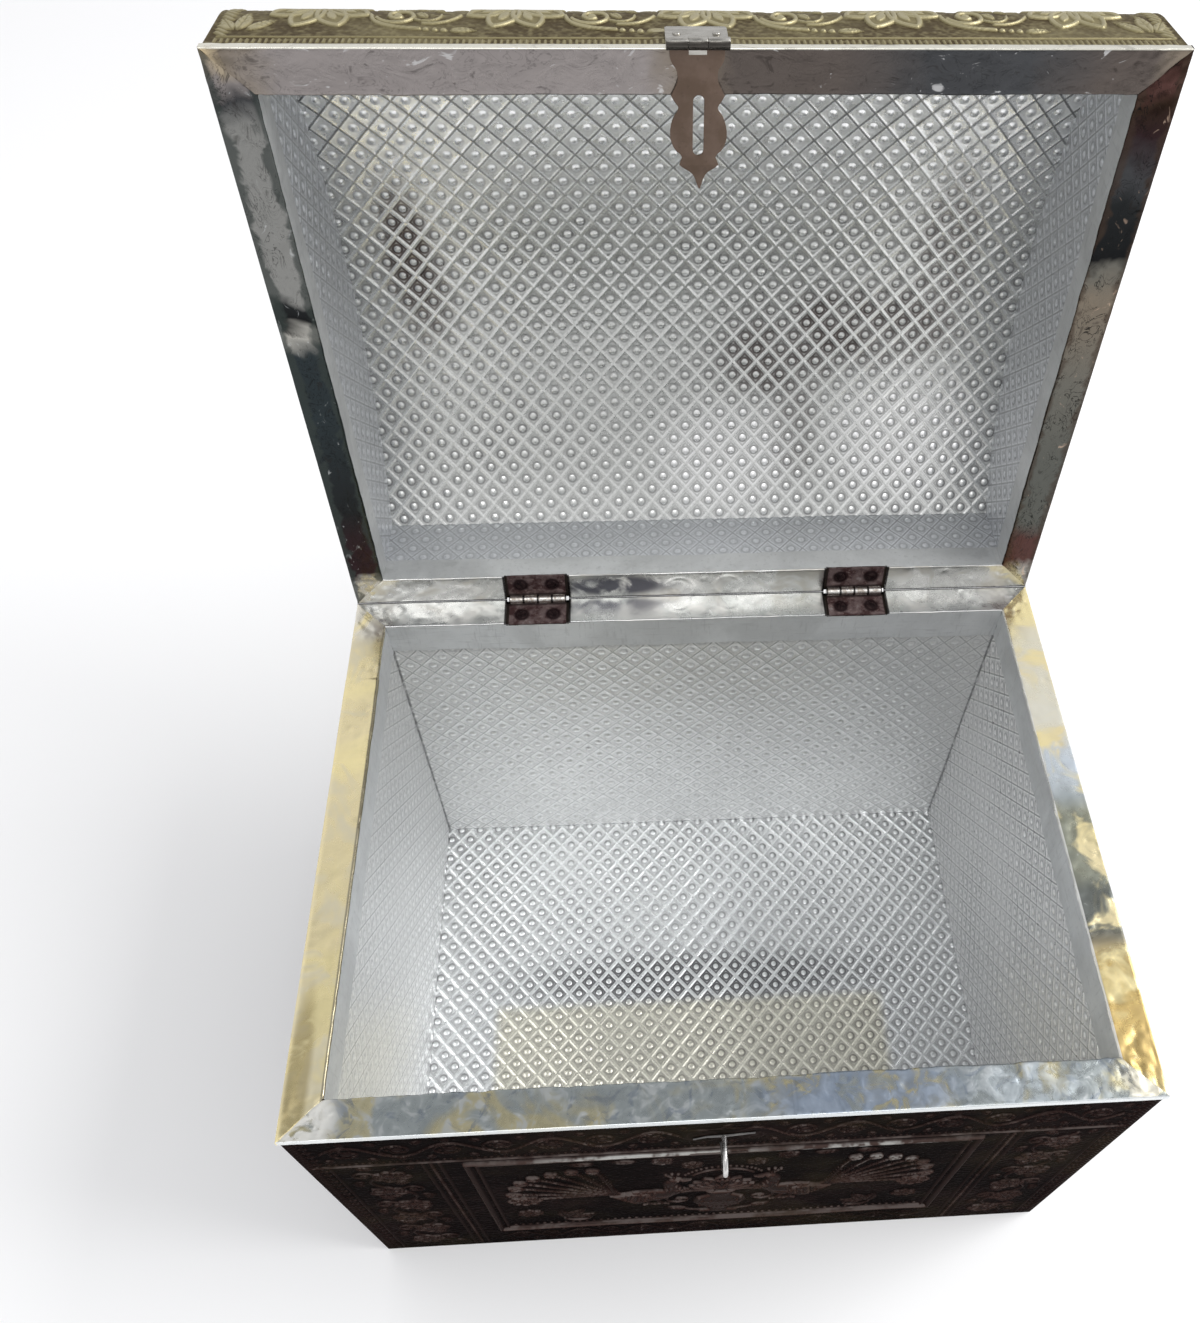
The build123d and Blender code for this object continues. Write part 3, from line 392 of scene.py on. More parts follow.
def beads(pen, pts, pitch, r, h):
    """Beads evenly along a polyline."""
    pts = np.asarray(pts, float)
    seg = np.hypot(*np.diff(pts, axis=0).T)
    run = np.concatenate([[0], np.cumsum(seg)])
    n = max(1, int(round(run[-1] / pitch)))
    for s in np.linspace(0, run[-1], n + 1):
        pen.bead(np.interp(s, run, pts[:, 0]), np.interp(s, run, pts[:, 1]), r, h)


def rope(pen, p0, p1, width, h, pitch=2.6):
    """A twisted border between two points."""
    p0, p1 = np.array(p0, float), np.array(p1, float)
    u = (p1 - p0) / np.hypot(*(p1 - p0))
    v = np.array([-u[1], u[0]])
    n = int(np.hypot(*(p1 - p0)) / pitch)
    for k in range(n + 1):
        c = p0 + (p1 - p0) * k / n
        pen.line([c - v * width / 2 - u * pitch * 0.45, c + v * width / 2 + u * pitch * 0.45], pitch * 0.42, h)


def leaf_border(pen, p0, p1, width, h, pitch=5.2):
    """Small leaves, two abreast, along a stem between two points."""
    p0, p1 = np.array(p0, float), np.array(p1, float)
    run = np.hypot(*(p1 - p0))
    u = (p1 - p0) / run
    rot = math.degrees(math.atan2(u[1], u[0])) - 90
    pen.line([p0, p1], 0.45, h * 0.75)
    n = int(run / pitch)
    for k in range(n):
        c = p0 + u * run * (k + 0.3) / n
        for sx in (-1, 1):
            pen.at(c[0], c[1], rot - 42 * sx).fill(leafy(width * 0.62, width * 0.3), h, width * 0.1)


def vine(pen, x0, x1, y, amp, wave, h=0.7, dense=True):
    """A running scroll: a wavy stem with a curled tendril, a flower and leaves in every bend."""
    n = max(1, int(round((x1 - x0) / wave)))
    wave = (x1 - x0) / n
    xs = np.linspace(x0, x1, 24 * n + 1)
    pen.line(np.stack([xs, y + amp * 0.62 * np.sin(2 * math.pi * (xs - x0) / wave)], -1), 0.5, h)
    for k in range(2 * n):
        up = -1 if k % 2 == 0 else 1
        cx = x0 + wave * (0.25 + 0.5 * k)
        p = pen.at(cx, y, 0, 1, False)
        p.line(curl(0, up * amp * 0.12, amp * 0.62, amp * 0.2, 90 * up + 155, -up * 400), 0.42, h * 0.9)
        p.bead(0, up * amp * 0.12, amp * 0.19, h * 0.9)
        for j in range(6):
            a = math.radians(60 * j)
            p.bead(0.3 * amp * math.cos(a), up * amp * 0.12 + 0.3 * amp * math.sin(a), amp * 0.085, h * 0.75)
        for sx in (-1, 1):
            leaf(p.at(sx * wave * 0.17, up * amp * 0.66, (-up * sx * 38) + (0 if up > 0 else 180)), amp * 0.52, amp * 0.3, h * 0.9, 0.5 * sx)
        if dense:
            leaf(p.at(0, -up * amp * 0.72, 0 if up < 0 else 180, 1), amp * 0.42, amp * 0.26, h * 0.8)
            for sx in (-1, 1):
                p.bead(sx * wave * 0.09, -up * amp * 0.98, 0.55, h * 0.6)


def matting(f, h, size, seed):
    """Fine punched ground between the raised work."""
    x, y = f.xs[None, :], f.ys[:, None]
    n = np.clip(noise(x, y, size, seed) * 1.6, -1, 1) * 0.6 + np.clip(noise(x, y, size * 0.55, seed + 1) * 1.6, -1, 1) * 0.4
    low = smooth(0.28, 0.05, f.h)
    f.h += h * (0.5 + 0.5 * n) * low


def finish_field(f):
    f.h = np.maximum(f.h - f.cut, 0)
    return f


# ------------------------------------------------------------------ node helper
class Nodes:
    """Short calls for building a material's node tree."""

    def __init__(self, tree):
        self.t = tree

    def put(self, kind, **props):
        n = self.t.nodes.new(kind)
        for k, v in props.items():
            setattr(n, k, v)
        return n

    def wire(self, value, socket):
        if hasattr(value, "is_output"):
            self.t.links.new(value, socket)
        else:
            socket.default_value = value

    def m(self, op, a, b=0.0, c=None, clamp=False):
        n = self.put("ShaderNodeMath", operation=op, use_clamp=clamp)
        self.wire(a, n.inputs[0])
        if len(n.inputs) > 1:
            self.wire(b, n.inputs[1])
        if c is not None:
            self.wire(c, n.inputs[2])
        return n.outputs[0]

    def mix(self, f, a, b, blend="MIX"):
        n = self.put("ShaderNodeMix", data_type="RGBA", blend_type=blend, clamp_factor=True)
        self.wire(f, n.inputs[0])
        for v, s in ((a, n.inputs[6]), (b, n.inputs[7])):
            self.wire((*v, 1.0) if isinstance(v, tuple) and len(v) == 3 else v, s)
        return n.outputs[2]

    def ramp(self, v, lo, hi, a=0.0, b=1.0, smoothed=True):
        n = self.put("ShaderNodeMapRange", interpolation_type="SMOOTHSTEP" if smoothed else "LINEAR", clamp=True) if smoothed else self.put("ShaderNodeMapRange", clamp=True)
        self.wire(v, n.inputs["Value"])
        for s, x in zip(("From Min", "From Max", "To Min", "To Max"), (lo, hi, a, b)):
            n.inputs[s].default_value = x
        return n.outputs["Result"]

    def noise(self, vec, scale, detail=3.0, rough=0.55, offset=0.0, distortion=0.0):
        if offset:
            s = self.put("ShaderNodeVectorMath", operation="ADD")
            self.wire(vec, s.inputs[0])
            s.inputs[1].default_value = (offset, offset * 0.7, -offset * 0.4)
            vec = s.outputs[0]
        n = self.put("ShaderNodeTexNoise")
        self.wire(vec, n.inputs["Vector"])
        n.inputs["Scale"].default_value = scale
        n.inputs["Detail"].default_value = detail
        n.inputs["Roughness"].default_value = rough
        n.inputs["Distortion"].default_value = distortion
        return n.outputs["Fac"]

    def stretch(self, vec, scale):
        s = self.put("ShaderNodeVectorMath", operation="MULTIPLY")
        self.wire(vec, s.inputs[0])
        s.inputs[1].default_value = scale
        return s.outputs[0]

    def blob(self, xyz, centre, radius, soft=0.5):
        """1 within radius of a point in the row frame (metres), 0 beyond it; radius may differ by axis."""
        s = self.put("ShaderNodeVectorMath", operation="SUBTRACT")
        self.wire(xyz, s.inputs[0])
        s.inputs[1].default_value = centre
        q = self.put("ShaderNodeVectorMath", operation="DIVIDE")
        self.wire(s.outputs[0], q.inputs[0])
        q.inputs[1].default_value = radius
        d = self.put("ShaderNodeVectorMath", operation="LENGTH")
        self.wire(q.outputs[0], d.inputs[0])
        return self.ramp(d.outputs["Value"], 1.0 - soft, 1.0 + soft, 1.0, 0.0)


def material(name, metallic=1.0, spec=0.5):
    mat = bpy.data.materials.new(name)
    mat.use_nodes = True
    tree = mat.node_tree
    tree.nodes.clear()
    out = tree.nodes.new("ShaderNodeOutputMaterial")
    bsdf = tree.nodes.new("ShaderNodeBsdfPrincipled")
    tree.links.new(bsdf.outputs[0], out.inputs[0])
    bsdf.inputs["Metallic"].default_value = metallic
    bsdf.inputs["Specular IOR Level"].default_value = spec
    n = Nodes(tree)
    xyz = tree.nodes.new("ShaderNodeTexCoord").outputs["Object"]
    MATERIALS[name] = mat
    return mat, n, bsdf, xyz


def bump(n, bsdf, height, strength, distance):
    b = n.put("ShaderNodeBump")
    b.inputs["Strength"].default_value = strength
    b.inputs["Distance"].default_value = distance
    n.wire(height, b.inputs["Height"])
    n.t.links.new(b.outputs[0], bsdf.inputs["Normal"])


def axes(n, vec):
    s = n.put("ShaderNodeSeparateXYZ")
    n.wire(vec, s.inputs[0])
    return s.outputs[0], s.outputs[1], s.outputs[2]


CELL_A, CELL_B = 10.4, 11.75
BX, BY = HX - BOARD_IN - LINE, HY - BOARD_IN - LINE       # inner faces of the linings
FLOOR = BOTTOM_T + LINE


def lining_material(name, light, dark, rough, shade=None, painted_reflection=None, rings=1.0, painted_ring_shade=None, corners=False, lines=0.0, metallic=0.92):
    """Embossed tin: light ridges and beads, with grey painted shade in the hollows round the beads."""
    mat, n, bsdf, xyz = material(name, metallic)
    at = n.put("ShaderNodeAttribute", attribute_name="pat").outputs["Vector"]
    a, b, _ = axes(n, at)
    u, v = n.m("DIVIDE", a, CELL_A), n.m("DIVIDE", b, CELL_B)
    p, q = n.m("ADD", u, v), n.m("SUBTRACT", u, v)
    pr, qr = n.m("ROUND", p), n.m("ROUND", q)
    du = n.m("SUBTRACT", u, n.m("MULTIPLY", n.m("ADD", pr, qr), 0.5))
    dv = n.m("SUBTRACT", v, n.m("MULTIPLY", n.m("SUBTRACT", pr, qr), 0.5))
    dx, dy = n.m("MULTIPLY", du, CELL_A), n.m("MULTIPLY", dv, CELL_B)
    r = n.m("SQRT", n.m("ADD", n.m("MULTIPLY", dx, dx), n.m("MULTIPLY", dy, dy)))
    ring = n.m("MULTIPLY", n.ramp(r, 1.1, 1.7), n.ramp(r, 1.9, 2.9, 1.0, 0.0))
    dp = n.m("MULTIPLY", n.m("ABSOLUTE", n.m("SUBTRACT", n.m("FRACT", p), 0.5)), 7.79)
    dq = n.m("MULTIPLY", n.m("ABSOLUTE", n.m("SUBTRACT", n.m("FRACT", q), 0.5)), 7.79)
    ridge = n.ramp(n.m("MINIMUM", dp, dq), 0.35, 1.15, 1.0, 0.0)
    foot = n.m("MULTIPLY", n.ramp(n.m("MINIMUM", dp, dq), 0.75, 1.25), n.ramp(n.m("MINIMUM", dp, dq), 1.5, 2.4, 1.0, 0.0))
    big = n.noise(xyz, 16.0, 3.0, 0.6)
    fine = n.noise(xyz, 260.0, 4.0, 0.6)
    grain = n.noise(xyz, 900.0, 2.0, 0.6, 5.0)
    base = n.mix(n.ramp(big, 0.35, 0.7), tuple(0.93 * c for c in light), light)
    base = n.mix(n.ramp(grain, 0.46, 0.66, 0.0, 0.4), base, tuple(0.6 * c for c in light))
    # painted shade: the hollows round the beads (ring) and at the feet of the ridges (foot) darkened towards dark, by
    # rings
    base = n.mix(n.m("MULTIPLY", n.m("MAXIMUM", ring, n.m("MULTIPLY", foot, 0.55)), n.ramp(big, 0.3, 0.75, 0.55 * rings, 0.95 * rings)), base, dark)
    # painted shade: the cores of the ridge lines darkened, by lines
    if lines:
        base = n.mix(n.m("MULTIPLY", n.ramp(n.m("MINIMUM", dp, dq), 0.10, 0.55, 1.0, 0.0), n.ramp(big, 0.3, 0.7, 0.6 * lines, lines)), base, tuple(0.45 * c for c in dark))
    # painted reflection on the upper ceiling: the flats lightened, the ridge cores and bead middles darkened, then the
    # painted dark reflections of ceiling_shade
    if shade is not None:
        upper = n.ramp(axes(n, xyz)[2], 0.318, 0.380)
        core = n.ramp(n.m("MINIMUM", dp, dq), 0.12, 0.62, 1.0, 0.0)
        base = n.mix(n.m("MULTIPLY", upper, 0.8), base, (0.90, 0.91, 0.91))
        base = n.mix(n.m("MULTIPLY", n.m("MULTIPLY", upper, n.m("MAXIMUM", core, n.m("MULTIPLY", n.ramp(r, 0.35, 1.0, 1.0, 0.0), 0.7))), 0.85), base, (0.12, 0.125, 0.13))
        base = n.mix(shade(n, xyz, ring, foot, ridge), base, (0.085, 0.070, 0.066))
    # painted highlights: near-white patches where lamps would glare, kept darker on the rings, feet and ridges
    if shade is not None:
        rim = n.m("MAXIMUM", ring, n.m("MAXIMUM", foot, n.m("MULTIPLY", ridge, 0.8)))
        base = n.mix(n.m("MULTIPLY", ceiling_painted_highlight(n, xyz), n.m("SUBTRACT", 1.0, n.m("MULTIPLY", rim, 0.9))), base, (0.97, 0.97, 0.97))
    # painted shade: the rings and feet darkened further in one patch of the floor
    if painted_ring_shade is not None:
        base = n.mix(n.m("MULTIPLY", n.m("MAXIMUM", ring, foot), n.blob(xyz, *painted_ring_shade)), base, tuple(0.5 * c for c in dark))
    # painted shade: darker along the corners where the walls meet and along the foot of the walls
    if corners:
        x, y, z = axes(n, xyz)
        f = n.m("MULTIPLY", n.ramp(n.m("ABSOLUTE", x), (BX - 1.0) / 1000, (BX - 0.7) / 1000), n.ramp(n.m("ABSOLUTE", y), (BY - 1.0) / 1000, (BY - 0.7) / 1000))
        f = n.m("MAXIMUM", f, n.ramp(z, (FLOOR + 0.4) / 1000, (FLOOR + 1.0) / 1000, 1.0, 0.0))
        base = n.mix(n.m("MULTIPLY", f, n.ramp(fine, 0.35, 0.55, 0.25, 0.65)), base, (0.20, 0.20, 0.21))
    # painted reflection: a yellow patch multiplied into the lining's colour
    if painted_reflection is not None:
        f, colour = painted_reflection(n, xyz)
        base = n.mix(f, base, colour, "MULTIPLY")
    n.wire(base, bsdf.inputs["Base Color"])
    n.wire(n.m("ADD", n.ramp(fine, 0.3, 0.7, rough - 0.05, rough + 0.07), n.m("MULTIPLY", ridge, -0.05)), bsdf.inputs["Roughness"])
    bump(n, bsdf, n.m("ADD", n.m("MULTIPLY", fine, 0.5), n.m("MULTIPLY", ring, -0.6)), 0.25, 0.0004)
    return mat


def ceiling_shade(n, xyz, ring, foot, ridge):
    """Where the lid's lining gets painted dark reflections, strongest in its hollows."""
    spots = [
        ((-0.114, 0.19, 0.316), (0.010, 0.2, 0.034), 1.0), ((-0.108, 0.19, 0.300), (0.010, 0.2, 0.020), 0.8),
        ((0.104, 0.19, 0.318), (0.012, 0.2, 0.036), 0.75), ((0.037, 0.2, 0.270), (0.027, 0.2, 0.018), 0.9),
        ((0.072, 0.2, 0.284), (0.042, 0.2, 0.018), 0.95), ((0.046, 0.2, 0.240), (0.010, 0.2, 0.022), 0.5),
        ((0.062, 0.2, 0.289), (0.042, 0.2, 0.014), 0.6),
    ]
    total = 0.0
    for c, r, k in spots:
        total = n.m("MAXIMUM", total, n.m("MULTIPLY", n.blob(xyz, c, r, 0.5), k))
    patchy = n.ramp(n.noise(xyz, 60.0, 2.0, 0.5, 7.0), 0.3, 0.6, 0.55, 1.0)
    hollow = n.m("ADD", 0.12, n.m("MULTIPLY", n.m("MAXIMUM", ring, foot), 0.88))
    return n.m("MULTIPLY", n.m("MULTIPLY", n.m("MULTIPLY", total, patchy), hollow), n.m("SUBTRACT", 1.0, n.m("MULTIPLY", ridge, 0.85)))


# painted highlights on the lid's lining: bright patches where lamps would glare
def ceiling_painted_highlight(n, xyz):
    spots = [((0.014, 0.2, 0.227), (0.028, 0.2, 0.022), 0.9), ((0.098, 0.2, 0.234), (0.034, 0.2, 0.026), 1.0), ((0.0, 0.19, 0.40), (0.13, 0.2, 0.03), 0.5)]
    total = 0.0
    for c, r, k in spots:
        total = n.m("MAXIMUM", total, n.m("MULTIPLY", n.blob(xyz, c, r, 0.55), k))
    return total


# painted reflection: a yellowish patch at the front of the floor
def floor_painted_reflection(n, xyz):
    x, y, _ = axes(n, xyz)
    f = n.m("MULTIPLY", n.ramp(n.m("ABSOLUTE", n.m("ADD", x, 0.006)), 0.097, 0.104, 1.0, 0.0), n.ramp(y, -0.008, -0.001, 1.0, 0.0))
    return n.m("MULTIPLY", f, 0.85), (0.98, 0.93, 0.78)


def antique_material(name, ridge, ground, deep, shine=0.3, warm=(0.5, 0.42, 0.28), edge=(1, 1, 1), worn=(), glint=None):
    """Embossed sheet with an old finish: dark in the hollows, rubbed bright on what stands proud; glint and worn add
    painted highlights on the raised work.
    """
    mat, n, bsdf, xyz = material(name, 0.9)
    bsdf.inputs["Specular Tint"].default_value = (*edge, 1.0)
    cav = n.put("ShaderNodeAttribute", attribute_name="cav").outputs["Fac"]
    big = n.noise(xyz, 22.0, 4.0, 0.6)
    mid = n.noise(xyz, 120.0, 3.0, 0.6, 3.1)
    fine = n.noise(xyz, 900.0, 3.0, 0.6, 1.7)
    lift = n.m("ADD", cav, n.m("MULTIPLY", n.m("SUBTRACT", mid, 0.5), 0.22))
    base = n.mix(n.ramp(lift, 0.02, 0.24), deep, ground)
    base = n.mix(n.ramp(lift, 0.3, 0.72), base, ridge)
    base = n.mix(n.m("MULTIPLY", n.ramp(big, 0.46, 0.7), 0.4), base, warm)
    base = n.mix(n.m("MULTIPLY", n.ramp(fine, 0.55, 0.8), 0.3), base, deep)
    # painted highlight: slopes of the relief that face up get a lighter colour
    if glint is not None:
        up = axes(n, n.put("ShaderNodeNewGeometry").outputs["Normal"])[2]
        base = n.mix(n.m("MULTIPLY", n.ramp(up, 0.22, 0.62), n.ramp(mid, 0.38, 0.62, 0.15, 0.9)), base, glint)
    # painted highlights: worn holds silver-grey patches on the raised work where light glances off it, not wear
    for centre, radius, k in worn:
        f = n.m("MULTIPLY", n.m("MULTIPLY", n.blob(xyz, centre, radius, 0.5), n.ramp(lift, 0.3, 0.75)), k)
        base = n.mix(n.m("MULTIPLY", f, n.ramp(mid, 0.4, 0.56)), base, (0.44, 0.44, 0.42))
    n.wire(base, bsdf.inputs["Base Color"])
    n.wire(n.m("ADD", n.ramp(lift, 0.05, 0.8, shine + 0.25, shine), n.ramp(fine, 0.3, 0.7, -0.05, 0.06)), bsdf.inputs["Roughness"])
    bump(n, bsdf, n.m("ADD", mid, n.m("MULTIPLY", fine, 0.4)), 0.3, 0.0003)
    return mat


def strip_material(name, base_a, base_b, base_c, rough, dark=None, spots=(), scale=1.0, speckle=0.15, third=(0.50, 0.66), seam=False, wild=1.0, lip=None, inner=None):
    """Thin bright sheet, beaten over an edge: its cloudy colours and patches are painted reflections, with painted
    highlight and shade at the inner edge, lip and seam.
    """
    mat, n, bsdf, xyz = material(name, 1.0)
    big = n.noise(xyz, 22.0 * scale, 3.0, 0.55, 0.3, 0.8 * wild)
    mid = n.noise(xyz, 60.0 * scale, 3.0, 0.55, 5.2, wild)
    fine = n.noise(xyz, 420.0, 3.0, 0.65, 2.2)
    base = n.mix(n.ramp(big, 0.40, 0.58), base_a, base_b)
    base = n.mix(n.m("MULTIPLY", n.ramp(mid, *third), 0.8), base, base_c)
    # painted dark reflections in patches
    if dark is not None:
        base = n.mix(n.m("MULTIPLY", n.ramp(n.noise(xyz, 38.0 * scale, 3.0, 0.6, 9.4, 1.5), 0.56, 0.64), dark[1]), base, dark[0])
    # painted reflections and highlights in the given spots
    for centre, radius, colour, k in spots:
        f = n.m("MULTIPLY", n.blob(xyz, centre, radius, 0.35), k)
        f = n.m("MULTIPLY", f, n.ramp(mid, 0.36, 0.52))
        base = n.mix(f, base, colour)
    base = n.mix(n.m("MULTIPLY", n.ramp(fine, 0.66, 0.74), speckle), base, (0.9, 0.9, 0.9))
    # painted shade along the inner edge on the left, painted highlight along it on the right
    if inner is not None:
        e = n.ramp(n.m("ABSOLUTE", n.m("SUBTRACT", n.m("ABSOLUTE", axes(n, xyz)[0]), (HX - T + 0.1) / 1000)), 0.0005, 0.0009, 1.0, 0.0)
        left = n.m("LESS_THAN", axes(n, xyz)[0], 0.0)
        base = n.mix(n.m("MULTIPLY", n.m("MULTIPLY", e, 0.8), left), base, inner)
        base = n.mix(n.m("MULTIPLY", n.m("MULTIPLY", e, 0.8), n.m("SUBTRACT", 1.0, left)), base, (0.93, 0.93, 0.90))
    # painted highlight along the strip's outer fold at the front
    if lip is not None:
        base = n.mix(n.m("MULTIPLY", n.ramp(axes(n, xyz)[1], 0.0002 - HY / 1000, 0.00045 - HY / 1000, 1.0, 0.0), 0.8), base, lip)
    # painted shade: a dark line in the gap along the hinge line, and dark at the ends of the hinge mortises
    if seam:
        _, yy, zz = axes(n, xyz)
        dy, dz = n.m("SUBTRACT", yy, HY / 1000), n.m("SUBTRACT", zz, H / 1000)
        d = n.m("SQRT", n.m("ADD", n.m("MULTIPLY", dy, dy), n.m("MULTIPLY", dz, dz)))
        base = n.mix(n.m("MULTIPLY", n.ramp(d, 0.00035, 0.0008, 1.0, 0.0), 0.92), base, (0.03, 0.03, 0.035))
        e = n.m("ABSOLUTE", n.m("SUBTRACT", n.m("ABSOLUTE", n.m("SUBTRACT", n.m("ABSOLUTE", axes(n, xyz)[0]), HINGE_X / 1000)), 0.0139))
        base = n.mix(n.m("MULTIPLY", n.ramp(e, 0.0006, 0.0012, 1.0, 0.0), n.ramp(mid, 0.3, 0.45, 0.6, 0.95)), base, (0.015, 0.012, 0.012))
    n.wire(base, bsdf.inputs["Base Color"])
    n.wire(n.m("ADD", n.ramp(mid, 0.35, 0.7, rough, rough + 0.12), n.ramp(fine, 0.4, 0.75, 0.0, 0.06)), bsdf.inputs["Roughness"])
    bump(n, bsdf, n.m("ADD", mid, n.m("MULTIPLY", fine, 0.15)), 0.2, 0.0006)
    return mat


def lin(r, g, b, k=1.0):
    """A colour read (0-255) as a base colour; k makes up for how dim the studio looks in it."""
    return tuple(min(0.97, k * ((v / 255 + 0.055) / 1.055) ** 2.4) for v in (r, g, b))


TONES = {                           # tones of the bright sheet's painted reflections, from near white to black
    "cream": (200, 182, 148), "bright": (195, 193, 187), "silver": (174, 172, 165), "ash": (139, 139, 136), "rose": (139, 133, 131),
    "tan": (124, 114, 101), "dull": (107, 105, 98), "olive": (93, 94, 89), "umber": (86, 79, 75), "rust": (87, 61, 57), "slate": (66, 67, 69),
    "brown": (49, 37, 30), "plum": (50, 37, 39), "steel": (49, 56, 59), "ink": (39, 41, 42), "black": (29, 30, 31)}


def run_material(name, axis, stops, rough, k=1.3, fleck_highlights=(0.3, (0.8, 0.8, 0.8)), crease_shade=0.6, edge_dark=None, lip=None):
    """Bright sheet whose tone of painted reflection changes along its run: stops are (position in metres, name of the
    tone).
    """
    mat, n, bsdf, xyz = material(name, 1.0)
    along = axes(n, xyz)[axis]
    warp = n.noise(xyz, 48.0, 3.0, 0.6, 1.3, 0.6)
    crumple = n.noise(n.stretch(xyz, (1.0, 1.0, 1.6) if axis == 0 else (1.7, 1.0, 1.0)), 105.0, 3.0, 0.62, 6.1, 1.6)
    fine = n.noise(xyz, 430.0, 3.0, 0.65, 2.2)
    lo, hi = stops[0][0], stops[-1][0]
    t = n.m("ADD", along, n.m("MULTIPLY", n.m("SUBTRACT", warp, 0.5), 0.022))
    t = n.ramp(t, lo, hi, 0.0, 1.0, smoothed=False)
    cr = n.put("ShaderNodeValToRGB")
    n.wire(t, cr.inputs[0])
    els = cr.color_ramp.elements
    while len(els) < len(stops):
        els.new(0.5)
    for e, (pos, colour) in zip(sorted(els, key=lambda e: e.position), stops):
        e.position = (pos - lo) / (hi - lo)
    for e, (pos, colour) in zip(els, stops):
        e.position = (pos - lo) / (hi - lo)
        e.color = (*lin(*TONES[colour], k), 1.0)
    base = cr.outputs[0]
    # painted shade in thin creases of the crumple
    thin = n.ramp(n.m("ABSOLUTE", n.m("SUBTRACT", crumple, 0.47)), 0.004, 0.022, 1.0, 0.0)
    near = n.ramp(warp, 0.42, 0.6)
    base = n.mix(n.m("MULTIPLY", n.m("MULTIPLY", thin, near), crease_shade), base, lin(24, 24, 24, k))
    # painted highlights on the crumple's high places and painted shade in its low places
    base = n.mix(n.m("MULTIPLY", n.ramp(crumple, 0.64, 0.72), fleck_highlights[0]), base, fleck_highlights[1])
    base = n.mix(n.m("MULTIPLY", n.ramp(crumple, 0.40, 0.30), 0.45), base, lin(40, 36, 34, k))
    # painted dark reflections along the strip's edges
    if edge_dark is not None:
        side, at, wide, colour, amount = edge_dark
        d = n.m("ADD", axes(n, xyz)[side], n.m("MULTIPLY", n.m("SUBTRACT", n.noise(xyz, 75.0, 3.0, 0.65, 8.0, 1.0), 0.5), 0.010))
        f = n.ramp(n.m("ABSOLUTE", n.m("SUBTRACT", d, at)), wide * 0.8, wide * 1.2)
        base = n.mix(n.m("MULTIPLY", f, amount), base, colour)
    # painted highlight along the fold at the top of the strip
    if lip is not None:
        base = n.mix(n.m("MULTIPLY", n.ramp(axes(n, xyz)[2], lip[0], lip[0] + 0.0005), n.ramp(crumple, 0.34, 0.46, 0.7, 0.95)), base, lip[1])
    n.wire(base, bsdf.inputs["Base Color"])
    n.wire(n.m("ADD", n.ramp(warp, 0.35, 0.7, rough, rough + 0.1), n.ramp(fine, 0.4, 0.75, 0.0, 0.06)), bsdf.inputs["Roughness"])
    bump(n, bsdf, n.m("ADD", crumple, n.m("MULTIPLY", fine, 0.15)), 0.3, 0.0006)
    return mat


# one embossed tin in five copies, each made lighter or darker for where it lies: painted light and shade; lining_right
# is a lit copy, lining_lid and lining_ceiling are shaded copies
lining_material("lining_plain", (0.96, 0.965, 0.96), (0.46, 0.47, 0.48), 0.38, rings=0.5, corners=True, lines=0.6, metallic=0.88)
lining_material("lining_lid", (0.70, 0.715, 0.74), (0.30, 0.31, 0.32), 0.38, rings=0.8, lines=0.6, metallic=0.75)
lining_material("lining_right", (0.97, 0.97, 0.97), (0.38, 0.39, 0.40), 0.36, rings=0.9, lines=0.9, corners=True, metallic=0.62)
lining_material("lining_ceiling", (0.71, 0.72, 0.70), (0.20, 0.20, 0.20), 0.29, shade=ceiling_shade, rings=1.0)
lining_material("lining_floor", (0.83, 0.85, 0.85), (0.29, 0.29, 0.30), 0.34, painted_reflection=floor_painted_reflection, painted_ring_shade=((0.0, 0.008, 0.005), (0.09, 0.014, 0.02)))
# sheet_box is a much darker copy of the lid's finish, with a dark specular tint: painted shade on the chest's walls
antique_material("sheet_box", (0.060, 0.037, 0.032), (0.022, 0.0125, 0.0115), (0.006, 0.0032, 0.0032), 0.36, glint=(0.115, 0.095, 0.088), warm=(0.046, 0.039, 0.021), edge=(0.20, 0.14, 0.12), worn=[
    ((-0.030, -0.116, 0.1477), (0.036, 0.02, 0.0022), 1.0), ((0.053, -0.116, 0.1455), (0.026, 0.02, 0.0045), 1.0), ((0.044, -0.116, 0.118), (0.013, 0.02, 0.005), 0.7),
    ((-0.045, -0.116, 0.132), (0.02, 0.02, 0.006), 0.35), ((0.070, -0.116, 0.128), (0.02, 0.02, 0.008), 0.4)])
antique_material("sheet_lid", (0.43, 0.385, 0.235), (0.25, 0.215, 0.115), (0.085, 0.062, 0.030), 0.42, warm=(0.29, 0.255, 0.14))
# the cloudy colours, spots and tones of the rim strips below are painted reflections
strip_material("strip_box_side", (0.92, 0.80, 0.44), (0.85, 0.74, 0.45), (0.76, 0.70, 0.52), 0.20, inner=(0.30, 0.27, 0.20), scale=0.8, spots=[
    ((0.145, 0.016, 0.191), (0.02, 0.018, 0.02), (0.52, 0.60, 0.70), 0.85), ((0.145, -0.028, 0.191), (0.02, 0.034, 0.02), (0.20, 0.22, 0.19), 0.9),
    ((0.145, -0.048, 0.191), (0.02, 0.014, 0.02), (0.11, 0.12, 0.12), 0.8), ((0.145, -0.088, 0.191), (0.02, 0.027, 0.02), (0.44, 0.31, 0.11), 0.9),
    ((0.148, 0.06, 0.191), (0.02, 0.03, 0.02), (0.72, 0.72, 0.66), 0.7),
    ((-0.145, 0.108, 0.191), (0.02, 0.012, 0.02), (0.80, 0.78, 0.72), 0.8), ((-0.148, -0.095, 0.191), (0.004, 0.03, 0.02), (0.42, 0.34, 0.16), 0.7)])
